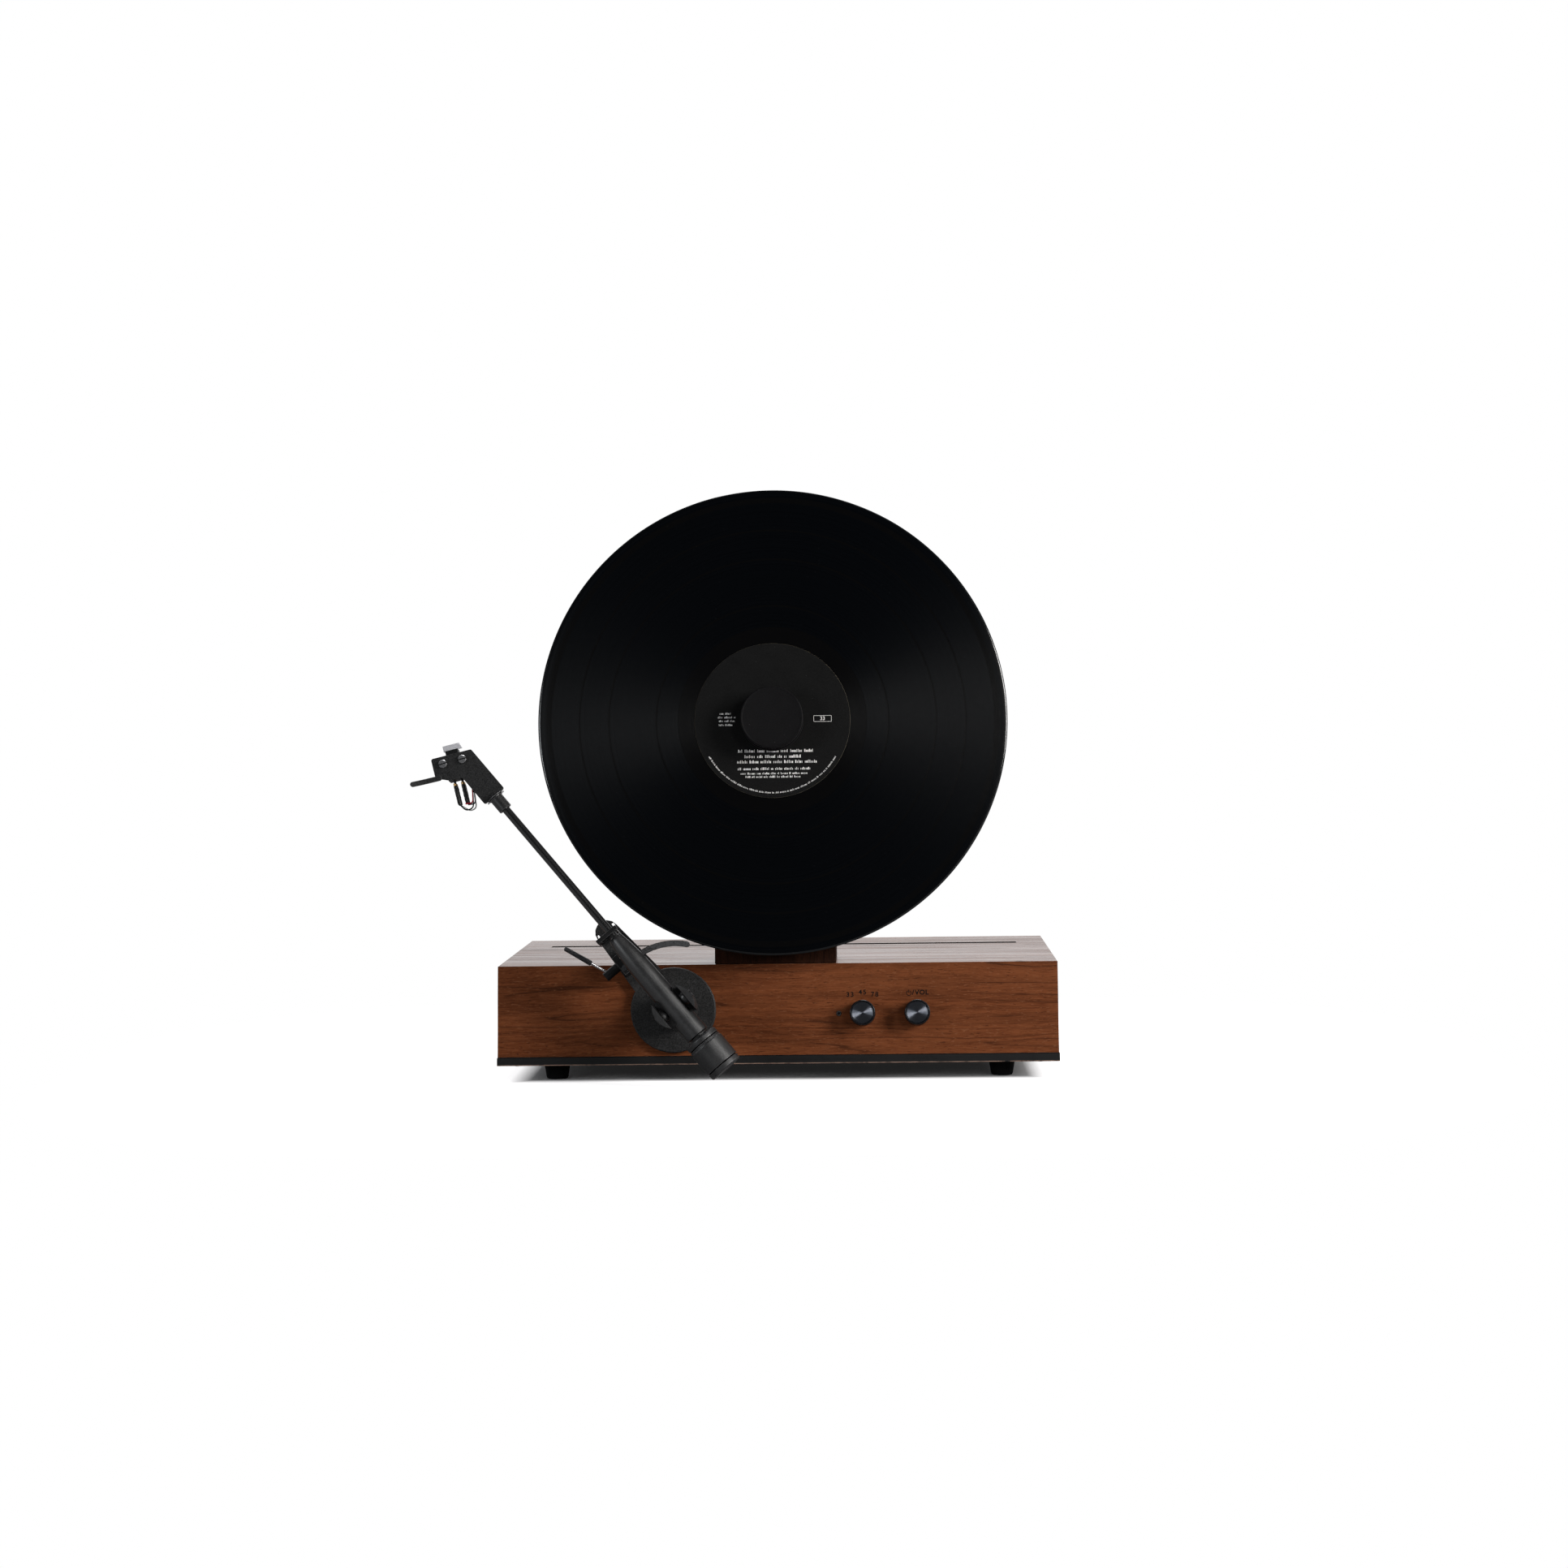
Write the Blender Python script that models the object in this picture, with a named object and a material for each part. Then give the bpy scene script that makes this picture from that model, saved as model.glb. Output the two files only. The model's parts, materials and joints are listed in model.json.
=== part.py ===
"""Vertical record player: a wooden base, a post that holds the record upright, and a tonearm.

Lengths are in metres and angles in radians. +X runs to the right seen from the front,
+Y runs to the back and +Z runs up. The front of the base leans back, and the record,
the knobs and the tonearm all stand square to that leaning deck.
"""
import math

import bmesh
import bpy
from mathutils import Matrix, Vector

# Driving dimensions
CASE_WIDTH = 0.3600
CASE_DEPTH = 0.2030
CASE_TOP = 0.0750
GROUND_CLEARANCE = 0.0117
LEAN = math.radians(8.6)
RECORD_RADIUS = 0.1508
RECORD_THICKNESS = 0.0020
RECORD_LEVEL = 0.0210
RECORD_CLEARANCE = 0.0040
SPINDLE_RISE = RECORD_RADIUS + RECORD_CLEARANCE
SPINDLE_SIDE = -0.0009
ARM_LEVEL = 0.0420
ARM_PARK_ANGLE = math.radians(40.1)
ARM_SIDE = -0.0634
ARM_DROP = 0.0290
GAP = 0.0003
OVERRUN = 0.0020

# Sides of turned pieces
RECORD_SIDES = 64
LARGE_SIDES = 36
MEDIUM_SIDES = 24
SMALL_SIDES = 14
TINY_SIDES = 8

# Case panels
PLATE_THICKNESS = 0.0053
PLATE_OVERHANG = 0.0005
FRONT_THICKNESS = 0.0150
TOP_THICKNESS = 0.0120
SIDE_THICKNESS = 0.0120
REAR_THICKNESS = 0.0030

# Rubber feet
FOOT_TOP_RADIUS = 0.0086
FOOT_BOTTOM_RADIUS = 0.0071
FOOT_EDGE = 0.0008
FOOT_RECESS_RADIUS = 0.0046
FOOT_RECESS_DEPTH = 0.0025
FOOT_STEM_RADIUS = 0.0032
FOOT_INSET_SIDE = 0.0355
FOOT_INSET_FRONT = 0.0290
FOOT_INSET_REAR = 0.0290

# Sleeve slot in the top panel, and the trough under it
SLOT_SIDE_MARGIN = 0.0200
SLOT_REAR_MARGIN = 0.0550
SLOT_LENGTH = CASE_WIDTH - SLOT_SIDE_MARGIN * 2
SLOT_WIDTH = 0.0080
SLOT_SETBACK = CASE_DEPTH - SLOT_REAR_MARGIN
TROUGH_WALL = 0.0016
TROUGH_DEPTH = 0.0400
TROUGH_FLANGE = 0.0090

# Post behind the record
POST_WIDTH = 0.0780
POST_DEPTH = 0.0500
POST_WALL = 0.0080
POST_BASE_WALL = 0.0120
POST_COVER_THICKNESS = 0.0030
POST_CROWN_SIDES = 20
POST_BOLT_SPACING = 0.0440
POST_BOLT_RADIUS = 0.0030
POST_BOLT_GRIP = 0.0080
POST_BOLT_HEAD_RADIUS = 0.0050
POST_BOLT_HEAD_HEIGHT = 0.0035
WIRE_HOLE_RADIUS = 0.0060

# Spindle, bearing, platter and record
BEARING_RADIUS = 0.0120
BEARING_FLANGE_RADIUS = 0.0180
BEARING_FLANGE_THICKNESS = 0.0035
BEARING_LENGTH = 0.0300
SPINDLE_SHAFT_RADIUS = 0.0040
SPINDLE_COLLAR_RADIUS = 0.0075
SPINDLE_TIP_RADIUS = 0.00355
SPINDLE_TIP_LENGTH = 0.0105
SPINDLE_CHAMFER = 0.0012
PLATTER_RADIUS = 0.0520
PLATTER_THICKNESS = 0.0080
PLATTER_BEVEL = 0.0010
MAT_THICKNESS = 0.0010
LABEL_RADIUS = 0.0500
LABEL_THICKNESS = 0.0002
LABEL_SINK = 0.0004
GROOVE_DEPTH = 0.0002
BEAD_WIDTH = 0.0045
BEAD_EDGE = 0.0007
CLAMP_RADIUS = 0.0200
CLAMP_HEIGHT = 0.0150
CLAMP_RIM = 0.0012
CLAMP_DISH = 0.0004
CLAMP_BEVEL = 0.0006
CLAMP_GRIP_DEPTH = 0.0010
CLAMP_GRIP_MARGIN = 0.0020

# Belt drive inside the post
PULLEY_RADIUS = 0.0280
PULLEY_WIDTH = 0.0090
PULLEY_LIP = 0.0012
PULLEY_LIP_WIDTH = 0.0015
MOTOR_RISE = 0.0580
MOTOR_RADIUS = 0.0170
MOTOR_LENGTH = 0.0200
MOTOR_BOSS_RADIUS = 0.0050
MOTOR_BOSS_LENGTH = 0.0015
MOTOR_SHAFT_RADIUS = 0.0012
MOTOR_PULLEY_RADIUS = 0.0055
BELT_THICKNESS = 0.0008
BELT_WIDTH = 0.0045
BELT_ARC_STEP = math.radians(12)

# Knobs, their controls and the lamp on the front panel
KNOB_DROP = 0.0322
SPEED_KNOB_SIDE = 0.0547
VOLUME_KNOB_SIDE = 0.0897
KNOB_RADIUS = 0.0083
KNOB_HEIGHT = 0.0105
KNOB_TAPER = 0.0002
KNOB_RIM = 0.0011
KNOB_DISH = 0.0006
KNOB_SHAFT_RADIUS = 0.0030
CONTROL_BUSH_RADIUS = 0.0045
CONTROL_BODY_WIDTH = 0.0170
CONTROL_BODY_DEPTH = 0.0090
SWITCH_BODY_WIDTH = 0.0200
KNOB_SHAFT_LENGTH = 0.0190
LAMP_SIDE = 0.0395
LAMP_RADIUS = 0.0015
LAMP_DOME = 0.0003
LAMP_SHOULDER_SHARES = (0.7, 0.6)
LAMP_TAIL = 0.0030

# Circuit board
BOARD_LENGTH = 0.1100
BOARD_WIDTH = 0.0650
BOARD_THICKNESS = 0.0016
BOARD_LEG_RADIUS = 0.0030
BOARD_LEG_HEIGHT = 0.0060
BOARD_SIDE = 0.0600
BOARD_SLOT_MARGIN = 0.0230
BOARD_SETBACK = SLOT_SETBACK - BOARD_SLOT_MARGIN - BOARD_WIDTH
HEAT_SINK_LENGTH = 0.0300
HEAT_SINK_WIDTH = 0.0120
HEAT_SINK_HEIGHT = 0.0180
CAPACITOR_RADIUS = 0.0050
CAPACITOR_HEIGHT = 0.0130

# Sockets on the rear panel
REAR_ROW_RISE = 0.0400
JACK_RADIUS = 0.0042
JACK_BORE_RADIUS = 0.0017
JACK_BORE_DEPTH = 0.0070
JACK_REACH = 0.0080
JACK_FLANGE_RADIUS = 0.0060
JACK_FLANGE_THICKNESS = 0.0012
JACK_TAIL = 0.0080
JACK_SPACING = 0.0150
JACK_PLATE_WIDTH = 0.0140
JACK_SIDE = -0.0300
POWER_SIDE = -0.1150
POWER_RADIUS = 0.0055
POWER_FLANGE_RADIUS = 0.0075
POWER_FLANGE_THICKNESS = 0.0020
POWER_BORE_RADIUS = 0.0032
POWER_BORE_DEPTH = 0.0090
POWER_PIN_RADIUS = 0.0010
POWER_TAIL = 0.0120
TERMINAL_SIDE = 0.0500
TERMINAL_SPACING = 0.0190
TERMINAL_RADIUS = 0.0052
TERMINAL_LENGTH = 0.0130
TERMINAL_COLLAR_THICKNESS = 0.0030
TERMINAL_PLATE_WIDTH = 0.0150
TERMINAL_COUNT = 4
TERMINAL_STUD_RADIUS = 0.0022
TERMINAL_TAIL = 0.0070

# Tonearm base and arm rest
DISC_RADIUS = 0.0274
DISC_THICKNESS = 0.0040
DISC_BEVEL = 0.0006
REST_ROOT_START = 0.0100
REST_ROOT_HALF_WIDTH = 0.0112
REST_ROOT_END = 0.0235
REST_TIP_HALF_WIDTH = 0.0078
REST_TIP_START = 0.0677
BASE_SIDE = -0.0025
BASE_ADVANCE = 0.0020
REST_WINDOW_WIDTH = 0.0016
REST_WINDOW_HEIGHT = 0.0026
REST_WINDOW_SIDE = 0.0062
CLIP_PLACE = 0.0616
CLIP_WIDTH = 0.0028
CLIP_POST_HALF_WIDTH = 0.0040
CLIP_WEB = 0.0045
CLIP_BACK = 0.0106
CLIP_BACK_WIDTH = 0.0026
CLIP_TIP = 0.0052
CLIP_BAR = 0.0024
CLIP_HEADROOM = 0.0045

# Tonearm pillar, nut and yoke
PILLAR_RADIUS = 0.0130
PILLAR_TOP = 0.0200
PILLAR_STEM_RADIUS = 0.0100
NUT_RADIUS = 0.0155
NUT_THICKNESS = 0.0060
YOKE_RADIUS = 0.0136
YOKE_BASE = 0.0060
YOKE_EAR_INNER = 0.0098
YOKE_HEAD = 0.0080
YOKE_PIN_RADIUS = 0.0040
YOKE_PIN_LENGTH = 0.0260
PIVOT_SCREW_RADIUS = 0.0024
PIVOT_CUP_RADIUS = 0.0041
PIVOT_POINT_RADIUS = 0.0010
PIVOT_POINT_LENGTH = 0.0016
PIVOT_CONE_SHARE = 0.7
PIVOT_PROUD = 0.0006

# Tonearm wand
HOUSING_FRONT = 0.0582
HOUSING_REAR = 0.0230
HOUSING_NOSE = 0.0385
HOUSING_FRONT_RADIUS = 0.00435
HOUSING_FULL_RADIUS = 0.00725
HOUSING_REAR_RADIUS = 0.00787
HOUSING_NOSE_POWER = 2.54
HOUSING_FLAT = 0.0059
HOUSING_FLAT_REACH = 0.0098
HOUSING_BORE_DEPTH = 0.0290
TUBE_RADIUS = 0.0026
COLLAR_START = 0.1653
COLLAR_LENGTH = 0.0101
COLLAR_RADIUS = 0.00435
COLLAR_LIP = 0.0005
COLLAR_LIP_WIDTH = 0.0008
TUBE_IN_COLLAR = 0.0055

# Headshell, finger lift and cartridge
SHELL_COLLAR_GAP = 0.0008
SHELL_START = COLLAR_START + COLLAR_LENGTH + SHELL_COLLAR_GAP
SHELL_NECK_LENGTH = 0.0329
SHELL_RIGHT = 0.0078
SHELL_LEFT = 0.0081
SHELL_CORNER = SHELL_START + SHELL_NECK_LENGTH
SHELL_OFFSET_ANGLE = math.radians(26.4)
SHELL_FACE_WIDTH = 0.0263
SHELL_FACE_DEPTH = 0.0162
SHELL_CHAMFER_DEPTH = 0.0036
SHELL_CHAMFER_WIDTH = 0.0090
SHELL_THICKNESS = 0.0024
SHELL_CORNER_RADIUS = 0.0012
SHELL_BOSS_RADIUS = 0.0040
SHELL_BOSS_LENGTH = 0.0036
CARTRIDGE_SCREW_SPACING = 0.0127
CARTRIDGE_SCREW_SETBACK = 0.0049
CARTRIDGE_SCREW_RADIUS = 0.0012
CARTRIDGE_SCREW_HEAD_RADIUS = 0.00265
CARTRIDGE_SCREW_HEAD_HEIGHT = 0.0016
CARTRIDGE_SCREW_SLOT = 0.0006
CARTRIDGE_FLANGE_HALF_WIDTH = 0.0083
CARTRIDGE_FLANGE_HALF_DEPTH = 0.0042
CARTRIDGE_FLANGE_THICKNESS = 0.0028
CARTRIDGE_HALF_WIDTH = 0.0056
CARTRIDGE_REAR = 0.0112
CARTRIDGE_FRONT = 0.0050
CARTRIDGE_HEIGHT = 0.0105
CARTRIDGE_PIN_RADIUS = 0.0006
CARTRIDGE_PIN_LENGTH = 0.0032
CARTRIDGE_PIN_SIDE = 0.0025
CARTRIDGE_PIN_PITCH = 0.0046
CARTRIDGE_PIN_SINK = 0.0032
STYLUS_HALF_WIDTH = 0.00405
STYLUS_FRONT = 0.0088
STYLUS_LIP = 0.0033
STYLUS_REAR = 0.0060
STYLUS_HEIGHT = 0.0042
STYLUS_LIP_RISE = 0.0060
STYLUS_TIP_PLACE = 0.0082
STYLUS_TIP_CLEARANCE = 0.0003
CANTILEVER_RADIUS = 0.0004
FINGER_WIDTH = 0.0033
FINGER_THICKNESS = 0.0011
FINGER_ROOT = 0.0030
FINGER_LENGTH = 0.0192
FINGER_SETBACK = 0.0133
FINGER_RISE = 0.0030

# Cartridge leads: their common route from the sleeves to the headshell's boss. The second
# value of each point runs along the arm from the headshell's rear edge.
LEAD_SLEEVE_RADIUS = 0.0013
LEAD_WIRE_RADIUS = 0.0005
LEAD_SLEEVE_LENGTH = 0.0125
LEAD_BUNDLE_RADIUS = 0.0011
LEAD_BUNDLE_LENGTH = 0.0045
LEAD_SIDES = 6
LEAD_STEPS = 3
LEAD_NECK_SHARE = 0.2
LEAD_GATHER_SHARE = 0.2
LEAD_ROUTE = (
    (-0.0182, 0.0070, -0.0062),
    (-0.0142, 0.0056, -0.0062),
    (-0.0108, 0.0094, -0.0058),
    (-0.0076, 0.0133, -0.0052),
    (-0.0030, 0.0140, -0.0046),
)
LEAD_SPREAD = (
    (-0.0012, -0.0010, 0.0008),
    (0.0004, -0.0024, -0.0010),
    (0.0010, 0.0022, 0.0012),
    (0.0022, 0.0008, -0.0006),
)

# Counterweight
STUB_PLUG_RADIUS = 0.0040
STUB_PLUG_LENGTH = 0.0110
STUB_NECK_RADIUS = 0.0061
STUB_NECK_LENGTH = 0.0016
STUB_THREAD_RADIUS = 0.0047
STUB_THREAD_LENGTH = 0.0195
BUSH_WALL = 0.0015
BUSH_LENGTH = 0.0155
BUSH_SETBACK = 0.0024
WEIGHT_RADIUS = 0.0117
WEIGHT_RING_RADIUS = 0.0112
WEIGHT_GROOVE_RADIUS = 0.0106
WEIGHT_LENGTH = 0.0256
WEIGHT_FRONT_RING = 0.0034
WEIGHT_GROOVE = 0.0007
WEIGHT_SECOND_RING = 0.0016
WEIGHT_REAR_RING = 0.0036
WEIGHT_BEVEL = 0.0010
WEIGHT_END_WALL = 0.0040

# Cueing: lever, housing and lift bar
CUE_PLACE = 0.0449
CUE_LEVEL = 0.0160
CUE_BLOCK_FRONT = 0.0060
CUE_BLOCK_REAR = 0.0080
CUE_BLOCK_LEFT = 0.0108
CUE_BLOCK_RIGHT = 0.0030
CUE_BLOCK_TOP = 0.0240
CUE_SHAFT_RADIUS = 0.0030
CUE_SHAFT_END = 0.0216
CUE_STEM_RADIUS = 0.0015
CUE_STEM_LENGTH = 0.0060
CUE_ROD_RADIUS = 0.0009
CUE_ROD_SIDE = 0.0182
CUE_ROD_LENGTH = 0.0328
CUE_ROD_SWAY = math.radians(20)
CUE_ROD_RISE = math.radians(24)
CUE_HANDLE_RADIUS = 0.0017
CUE_HANDLE_TIP_RADIUS = 0.0014
CUE_HANDLE_LENGTH = 0.0189
LIFT_RADIUS = 0.0408
LIFT_HALF_WIDTH = 0.0018
LIFT_THICKNESS = 0.0032
LIFT_START = math.radians(12)
LIFT_END = math.radians(51)
LIFT_PLUNGER_ANGLE = math.radians(9)
LIFT_PLUNGER_RADIUS = 0.0018
LIFT_PLUNGER_FOOT = 0.0080
LIFT_CLEARANCE = 0.0010
LIFT_BAR_SIDES = 14

# Places worked out from the sizes above
plate_low = GROUND_CLEARANCE
plate_top = plate_low + PLATE_THICKNESS
wood_low = plate_top + GAP
top_low = CASE_TOP - TOP_THICKNESS
half_width = CASE_WIDTH / 2
rear_inner = CASE_DEPTH - REAR_THICKNESS
record_front = RECORD_LEVEL + RECORD_THICKNESS
platter_top = RECORD_LEVEL - GAP - MAT_THICKNESS - GAP
platter_low = platter_top - PLATTER_THICKNESS
label_low = record_front - LABEL_SINK + GAP
label_top = label_low + LABEL_THICKNESS
clamp_low = label_top + GAP
spindle_tip = clamp_low + SPINDLE_TIP_LENGTH
bearing_front = GAP + BEARING_FLANGE_THICKNESS
pulley_top = bearing_front - BEARING_LENGTH - POST_WALL / 2
shell_low = ARM_LEVEL - SHELL_THICKNESS / 2 - GAP
shell_top = shell_low + SHELL_THICKNESS
yoke_low = PILLAR_TOP + GAP
yoke_floor = yoke_low + YOKE_BASE
deck_front = GAP


def clear_scene():
    """Remove every object that the file opened with."""
    for item in list(bpy.data.objects):
        bpy.data.objects.remove(item, do_unlink=True)


def make_material(name, colour, roughness, metallic=0.0):
    """Return a Principled material of one colour."""
    look = bpy.data.materials.new(name)
    look.use_nodes = True
    shader = look.node_tree.nodes["Principled BSDF"]
    shader.inputs["Base Color"].default_value = (*colour, 1.0)
    shader.inputs["Roughness"].default_value = roughness
    shader.inputs["Metallic"].default_value = metallic
    look.diffuse_color = (*colour, 1.0)
    return look


def make_frame(name, parent=None, location=(0, 0, 0), rotation=(0, 0, 0)):
    """Return an empty that carries pieces."""
    empty = bpy.data.objects.new(name, None)
    bpy.context.collection.objects.link(empty)
    empty.parent = parent
    empty.location = location
    empty.rotation_euler = rotation
    return empty


def make_piece(name, mesh_builder, parent, look=None, location=(0, 0, 0), rotation=(0, 0, 0)):
    """Turn a bmesh into a named object under its parent."""
    bmesh.ops.recalc_face_normals(mesh_builder, faces=mesh_builder.faces)
    mesh = bpy.data.meshes.new(name)
    mesh_builder.to_mesh(mesh)
    mesh_builder.free()
    piece = bpy.data.objects.new(name, mesh)
    bpy.context.collection.objects.link(piece)
    piece.parent = parent
    piece.location = location
    piece.rotation_euler = rotation
    if look:
        mesh.materials.append(look)
    return piece


def shape_with(target, tools, operation="DIFFERENCE"):
    """Cut the tools out of the target, or join them to it, and take them away."""
    for tool in tools:
        change = target.modifiers.new(tool.name, "BOOLEAN")
        change.operation = operation
        change.object = tool
        change.solver = "EXACT"
    bpy.context.view_layer.update()
    graph = bpy.context.evaluated_depsgraph_get()
    shaped = bpy.data.meshes.new_from_object(target.evaluated_get(graph))
    shaped.name = target.name
    target.modifiers.clear()
    target.data = shaped
    for tool in tools:
        bpy.data.objects.remove(tool, do_unlink=True)
    return target


def place_on_axis(axis, across, along, up):
    """Return a point whose second value runs along the named axis."""
    if axis == "X":
        return (along, across, up)
    if axis == "Y":
        return (across, along, up)
    return (across, up, along)


def prism(outline, low, high, axis="Z"):
    """Extrude a flat outline between two levels along an axis."""
    shape = bmesh.new()
    rings = []
    for level in (low, high):
        points = [place_on_axis(axis, across, level, up) for across, up in outline]
        rings.append([shape.verts.new(point) for point in points])
    count = len(outline)
    shape.faces.new(rings[0])
    shape.faces.new(rings[1])
    for index in range(count):
        after = (index + 1) % count
        shape.faces.new((rings[0][index], rings[0][after], rings[1][after], rings[1][index]))
    return shape


def loft(low_outline, high_outline):
    """Join two outlines of equal count, given as 3-D points, into a closed solid."""
    shape = bmesh.new()
    low = [shape.verts.new(point) for point in low_outline]
    high = [shape.verts.new(point) for point in high_outline]
    shape.faces.new(low)
    shape.faces.new(high)
    for index in range(len(low)):
        after = (index + 1) % len(low)
        shape.faces.new((low[index], low[after], high[after], high[index]))
    return shape


def box(x_range, y_range, z_range):
    """Return a box between three pairs of levels."""
    outline = [
        (x_range[0], y_range[0]),
        (x_range[1], y_range[0]),
        (x_range[1], y_range[1]),
        (x_range[0], y_range[1]),
    ]
    return prism(outline, z_range[0], z_range[1])


def turned(profile, sides, axis="Z"):
    """Turn a profile of (radius, height) points round an axis.

    A profile that starts and ends on the axis makes a solid body, and one that
    keeps clear of the axis makes a ring.
    """
    shape = bmesh.new()
    rings = []
    for radius, height in profile:
        if radius == 0:
            rings.append([shape.verts.new(place_on_axis(axis, 0, height, 0))])
            continue
        ring = []
        for index in range(sides):
            angle = math.tau * index / sides
            across = radius * math.cos(angle)
            up = radius * math.sin(angle)
            ring.append(shape.verts.new(place_on_axis(axis, across, height, up)))
        rings.append(ring)
    pairs = list(zip(rings, rings[1:]))
    if profile[0][0] > 0:
        pairs.append((rings[-1], rings[0]))
    for first, second in pairs:
        bridge_rings(shape, first, second, sides)
    return shape


def bridge_rings(shape, first, second, sides):
    """Fill the band between two rings, either of which may be a single point."""
    for index in range(sides):
        after = (index + 1) % sides
        if len(first) == 1:
            shape.faces.new((first[0], second[index], second[after]))
        elif len(second) == 1:
            shape.faces.new((first[index], first[after], second[0]))
        else:
            shape.faces.new((first[index], first[after], second[after], second[index]))


def rod(radius, low, high, sides, axis="Z"):
    """Return a plain cylinder."""
    return turned([(0, low), (radius, low), (radius, high), (0, high)], sides, axis)


def swept(points, radii, sides):
    """Sweep a circle of changing radius along a line of points."""
    shape = bmesh.new()
    rings = []
    across = Vector((0, 0, 1))
    for index, point in enumerate(points):
        before = points[max(index - 1, 0)]
        after = points[min(index + 1, len(points) - 1)]
        along = (after - before).normalized()
        across = (across - along * across.dot(along)).normalized()
        over = along.cross(across)
        ring = []
        for side in range(sides):
            angle = math.tau * side / sides
            offset = across * math.cos(angle) + over * math.sin(angle)
            ring.append(shape.verts.new(point + offset * radii[index]))
        rings.append(ring)
    shape.faces.new(rings[0])
    shape.faces.new(rings[-1])
    for first, second in zip(rings, rings[1:]):
        bridge_rings(shape, first, second, sides)
    return shape


def placed(shape, matrix):
    """Turn and move a bmesh."""
    bmesh.ops.transform(shape, matrix=matrix, verts=shape.verts)
    return shape


def moved(shape, location):
    """Move a bmesh."""
    return placed(shape, Matrix.Translation(location))


def arc_points(centre, radius, start, end, steps):
    """Return points along an arc, both ends included."""
    points = []
    for index in range(steps + 1):
        angle = start + (end - start) * index / steps
        points.append((centre[0] + radius * math.cos(angle), centre[1] + radius * math.sin(angle)))
    return points


def rounded(outline, radius, steps=3):
    """Round every corner of an outline with short arcs."""
    points = []
    count = len(outline)
    for index in range(count):
        corner = Vector(outline[index])
        before = (Vector(outline[index - 1]) - corner).normalized()
        after = (Vector(outline[(index + 1) % count]) - corner).normalized()
        half = before.angle(after) / 2
        reach = radius / math.tan(half)
        centre = corner + (before + after).normalized() * (radius / math.sin(half))
        first = corner + before * reach - centre
        last = corner + after * reach - centre
        for step in range(steps + 1):
            blend = first.lerp(last, step / steps).normalized() * radius
            points.append(tuple(centre + blend))
    return points


def front_line(height):
    """Return how far back the leaning front lies at a height."""
    return (height - plate_low) * math.tan(LEAN)


def make_looks():
    """Return the materials by name."""
    table = {
        "walnut": ((0.270, 0.118, 0.062), 0.45, 0.0),
        "walnut_top": ((0.420, 0.300, 0.250), 0.35, 0.0),
        "dark_wood": ((0.060, 0.030, 0.020), 0.50, 0.0),
        "black_board": ((0.010, 0.010, 0.011), 0.60, 0.0),
        "black_plastic": ((0.012, 0.012, 0.013), 0.45, 0.0),
        "black_rubber": ((0.015, 0.015, 0.017), 0.80, 0.0),
        "vinyl": ((0.008, 0.008, 0.010), 0.22, 0.0),
        "label_paper": ((0.030, 0.030, 0.031), 0.60, 0.0),
        "black_metal": ((0.014, 0.014, 0.015), 0.35, 0.6),
        "gloss_black": ((0.010, 0.010, 0.011), 0.12, 0.4),
        "steel": ((0.620, 0.620, 0.630), 0.25, 1.0),
        "brass": ((0.700, 0.480, 0.200), 0.30, 1.0),
        "zinc": ((0.400, 0.400, 0.410), 0.45, 1.0),
        "grey_rubber": ((0.120, 0.120, 0.120), 0.75, 0.0),
        "knob_metal": ((0.110, 0.115, 0.125), 0.28, 1.0),
        "board_green": ((0.020, 0.090, 0.040), 0.50, 0.0),
        "lamp": ((0.030, 0.030, 0.032), 0.20, 0.0),
        "lead": ((0.020, 0.020, 0.020), 0.50, 0.0),
        "nylon": ((0.060, 0.060, 0.062), 0.50, 0.0),
    }
    return {name: make_material(name, *values) for name, values in table.items()}


def deck_matrix():
    """Return the leaning deck's frame, whose origin is the top front edge's middle."""
    turn = Matrix.Rotation(math.pi / 2 - LEAN, 4, "X")
    return Matrix.Translation((0, front_line(CASE_TOP), CASE_TOP)) @ turn


def foot_places():
    """Return the centres of the four feet."""
    side = half_width - FOOT_INSET_SIDE
    return [
        (-side, FOOT_INSET_FRONT),
        (side, FOOT_INSET_FRONT),
        (-side, CASE_DEPTH - FOOT_INSET_REAR),
        (side, CASE_DEPTH - FOOT_INSET_REAR),
    ]


def build_front_and_top(root, looks):
    """The front and top panels meet in a mitre along the top front edge."""
    inner = front_line(top_low) + FRONT_THICKNESS / math.cos(LEAN)
    mitre = math.hypot(inner - front_line(CASE_TOP), TOP_THICKNESS)
    slip = GAP * mitre / TOP_THICKNESS
    front = [
        (front_line(wood_low), wood_low),
        (front_line(CASE_TOP), CASE_TOP),
        (inner, top_low),
        (front_line(wood_low) + FRONT_THICKNESS / math.cos(LEAN), wood_low),
    ]
    front_shape = prism(front, -half_width, half_width, "X")
    panel = make_piece("front_panel", front_shape, root, looks["walnut"])
    top = [
        (front_line(CASE_TOP) + slip, CASE_TOP),
        (CASE_DEPTH, CASE_TOP),
        (CASE_DEPTH, top_low),
        (inner + slip, top_low),
    ]
    top_shape = prism(top, -half_width, half_width, "X")
    lid = make_piece("top_panel", top_shape, root, looks["walnut_top"])
    return panel, lid


def build_sides(root, looks):
    """The side panels stand behind the front panel and under the top panel."""
    high = top_low - GAP
    behind = FRONT_THICKNESS / math.cos(LEAN) + GAP
    outline = [
        (front_line(wood_low) + behind, wood_low),
        (front_line(high) + behind, high),
        (rear_inner - GAP, high),
        (rear_inner - GAP, wood_low),
    ]
    starts = {"side_panel_left": -half_width, "side_panel_right": half_width - SIDE_THICKNESS}
    for name, start in starts.items():
        shape = prism(outline, start, start + SIDE_THICKNESS, "X")
        make_piece(name, shape, root, looks["walnut"])


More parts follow.
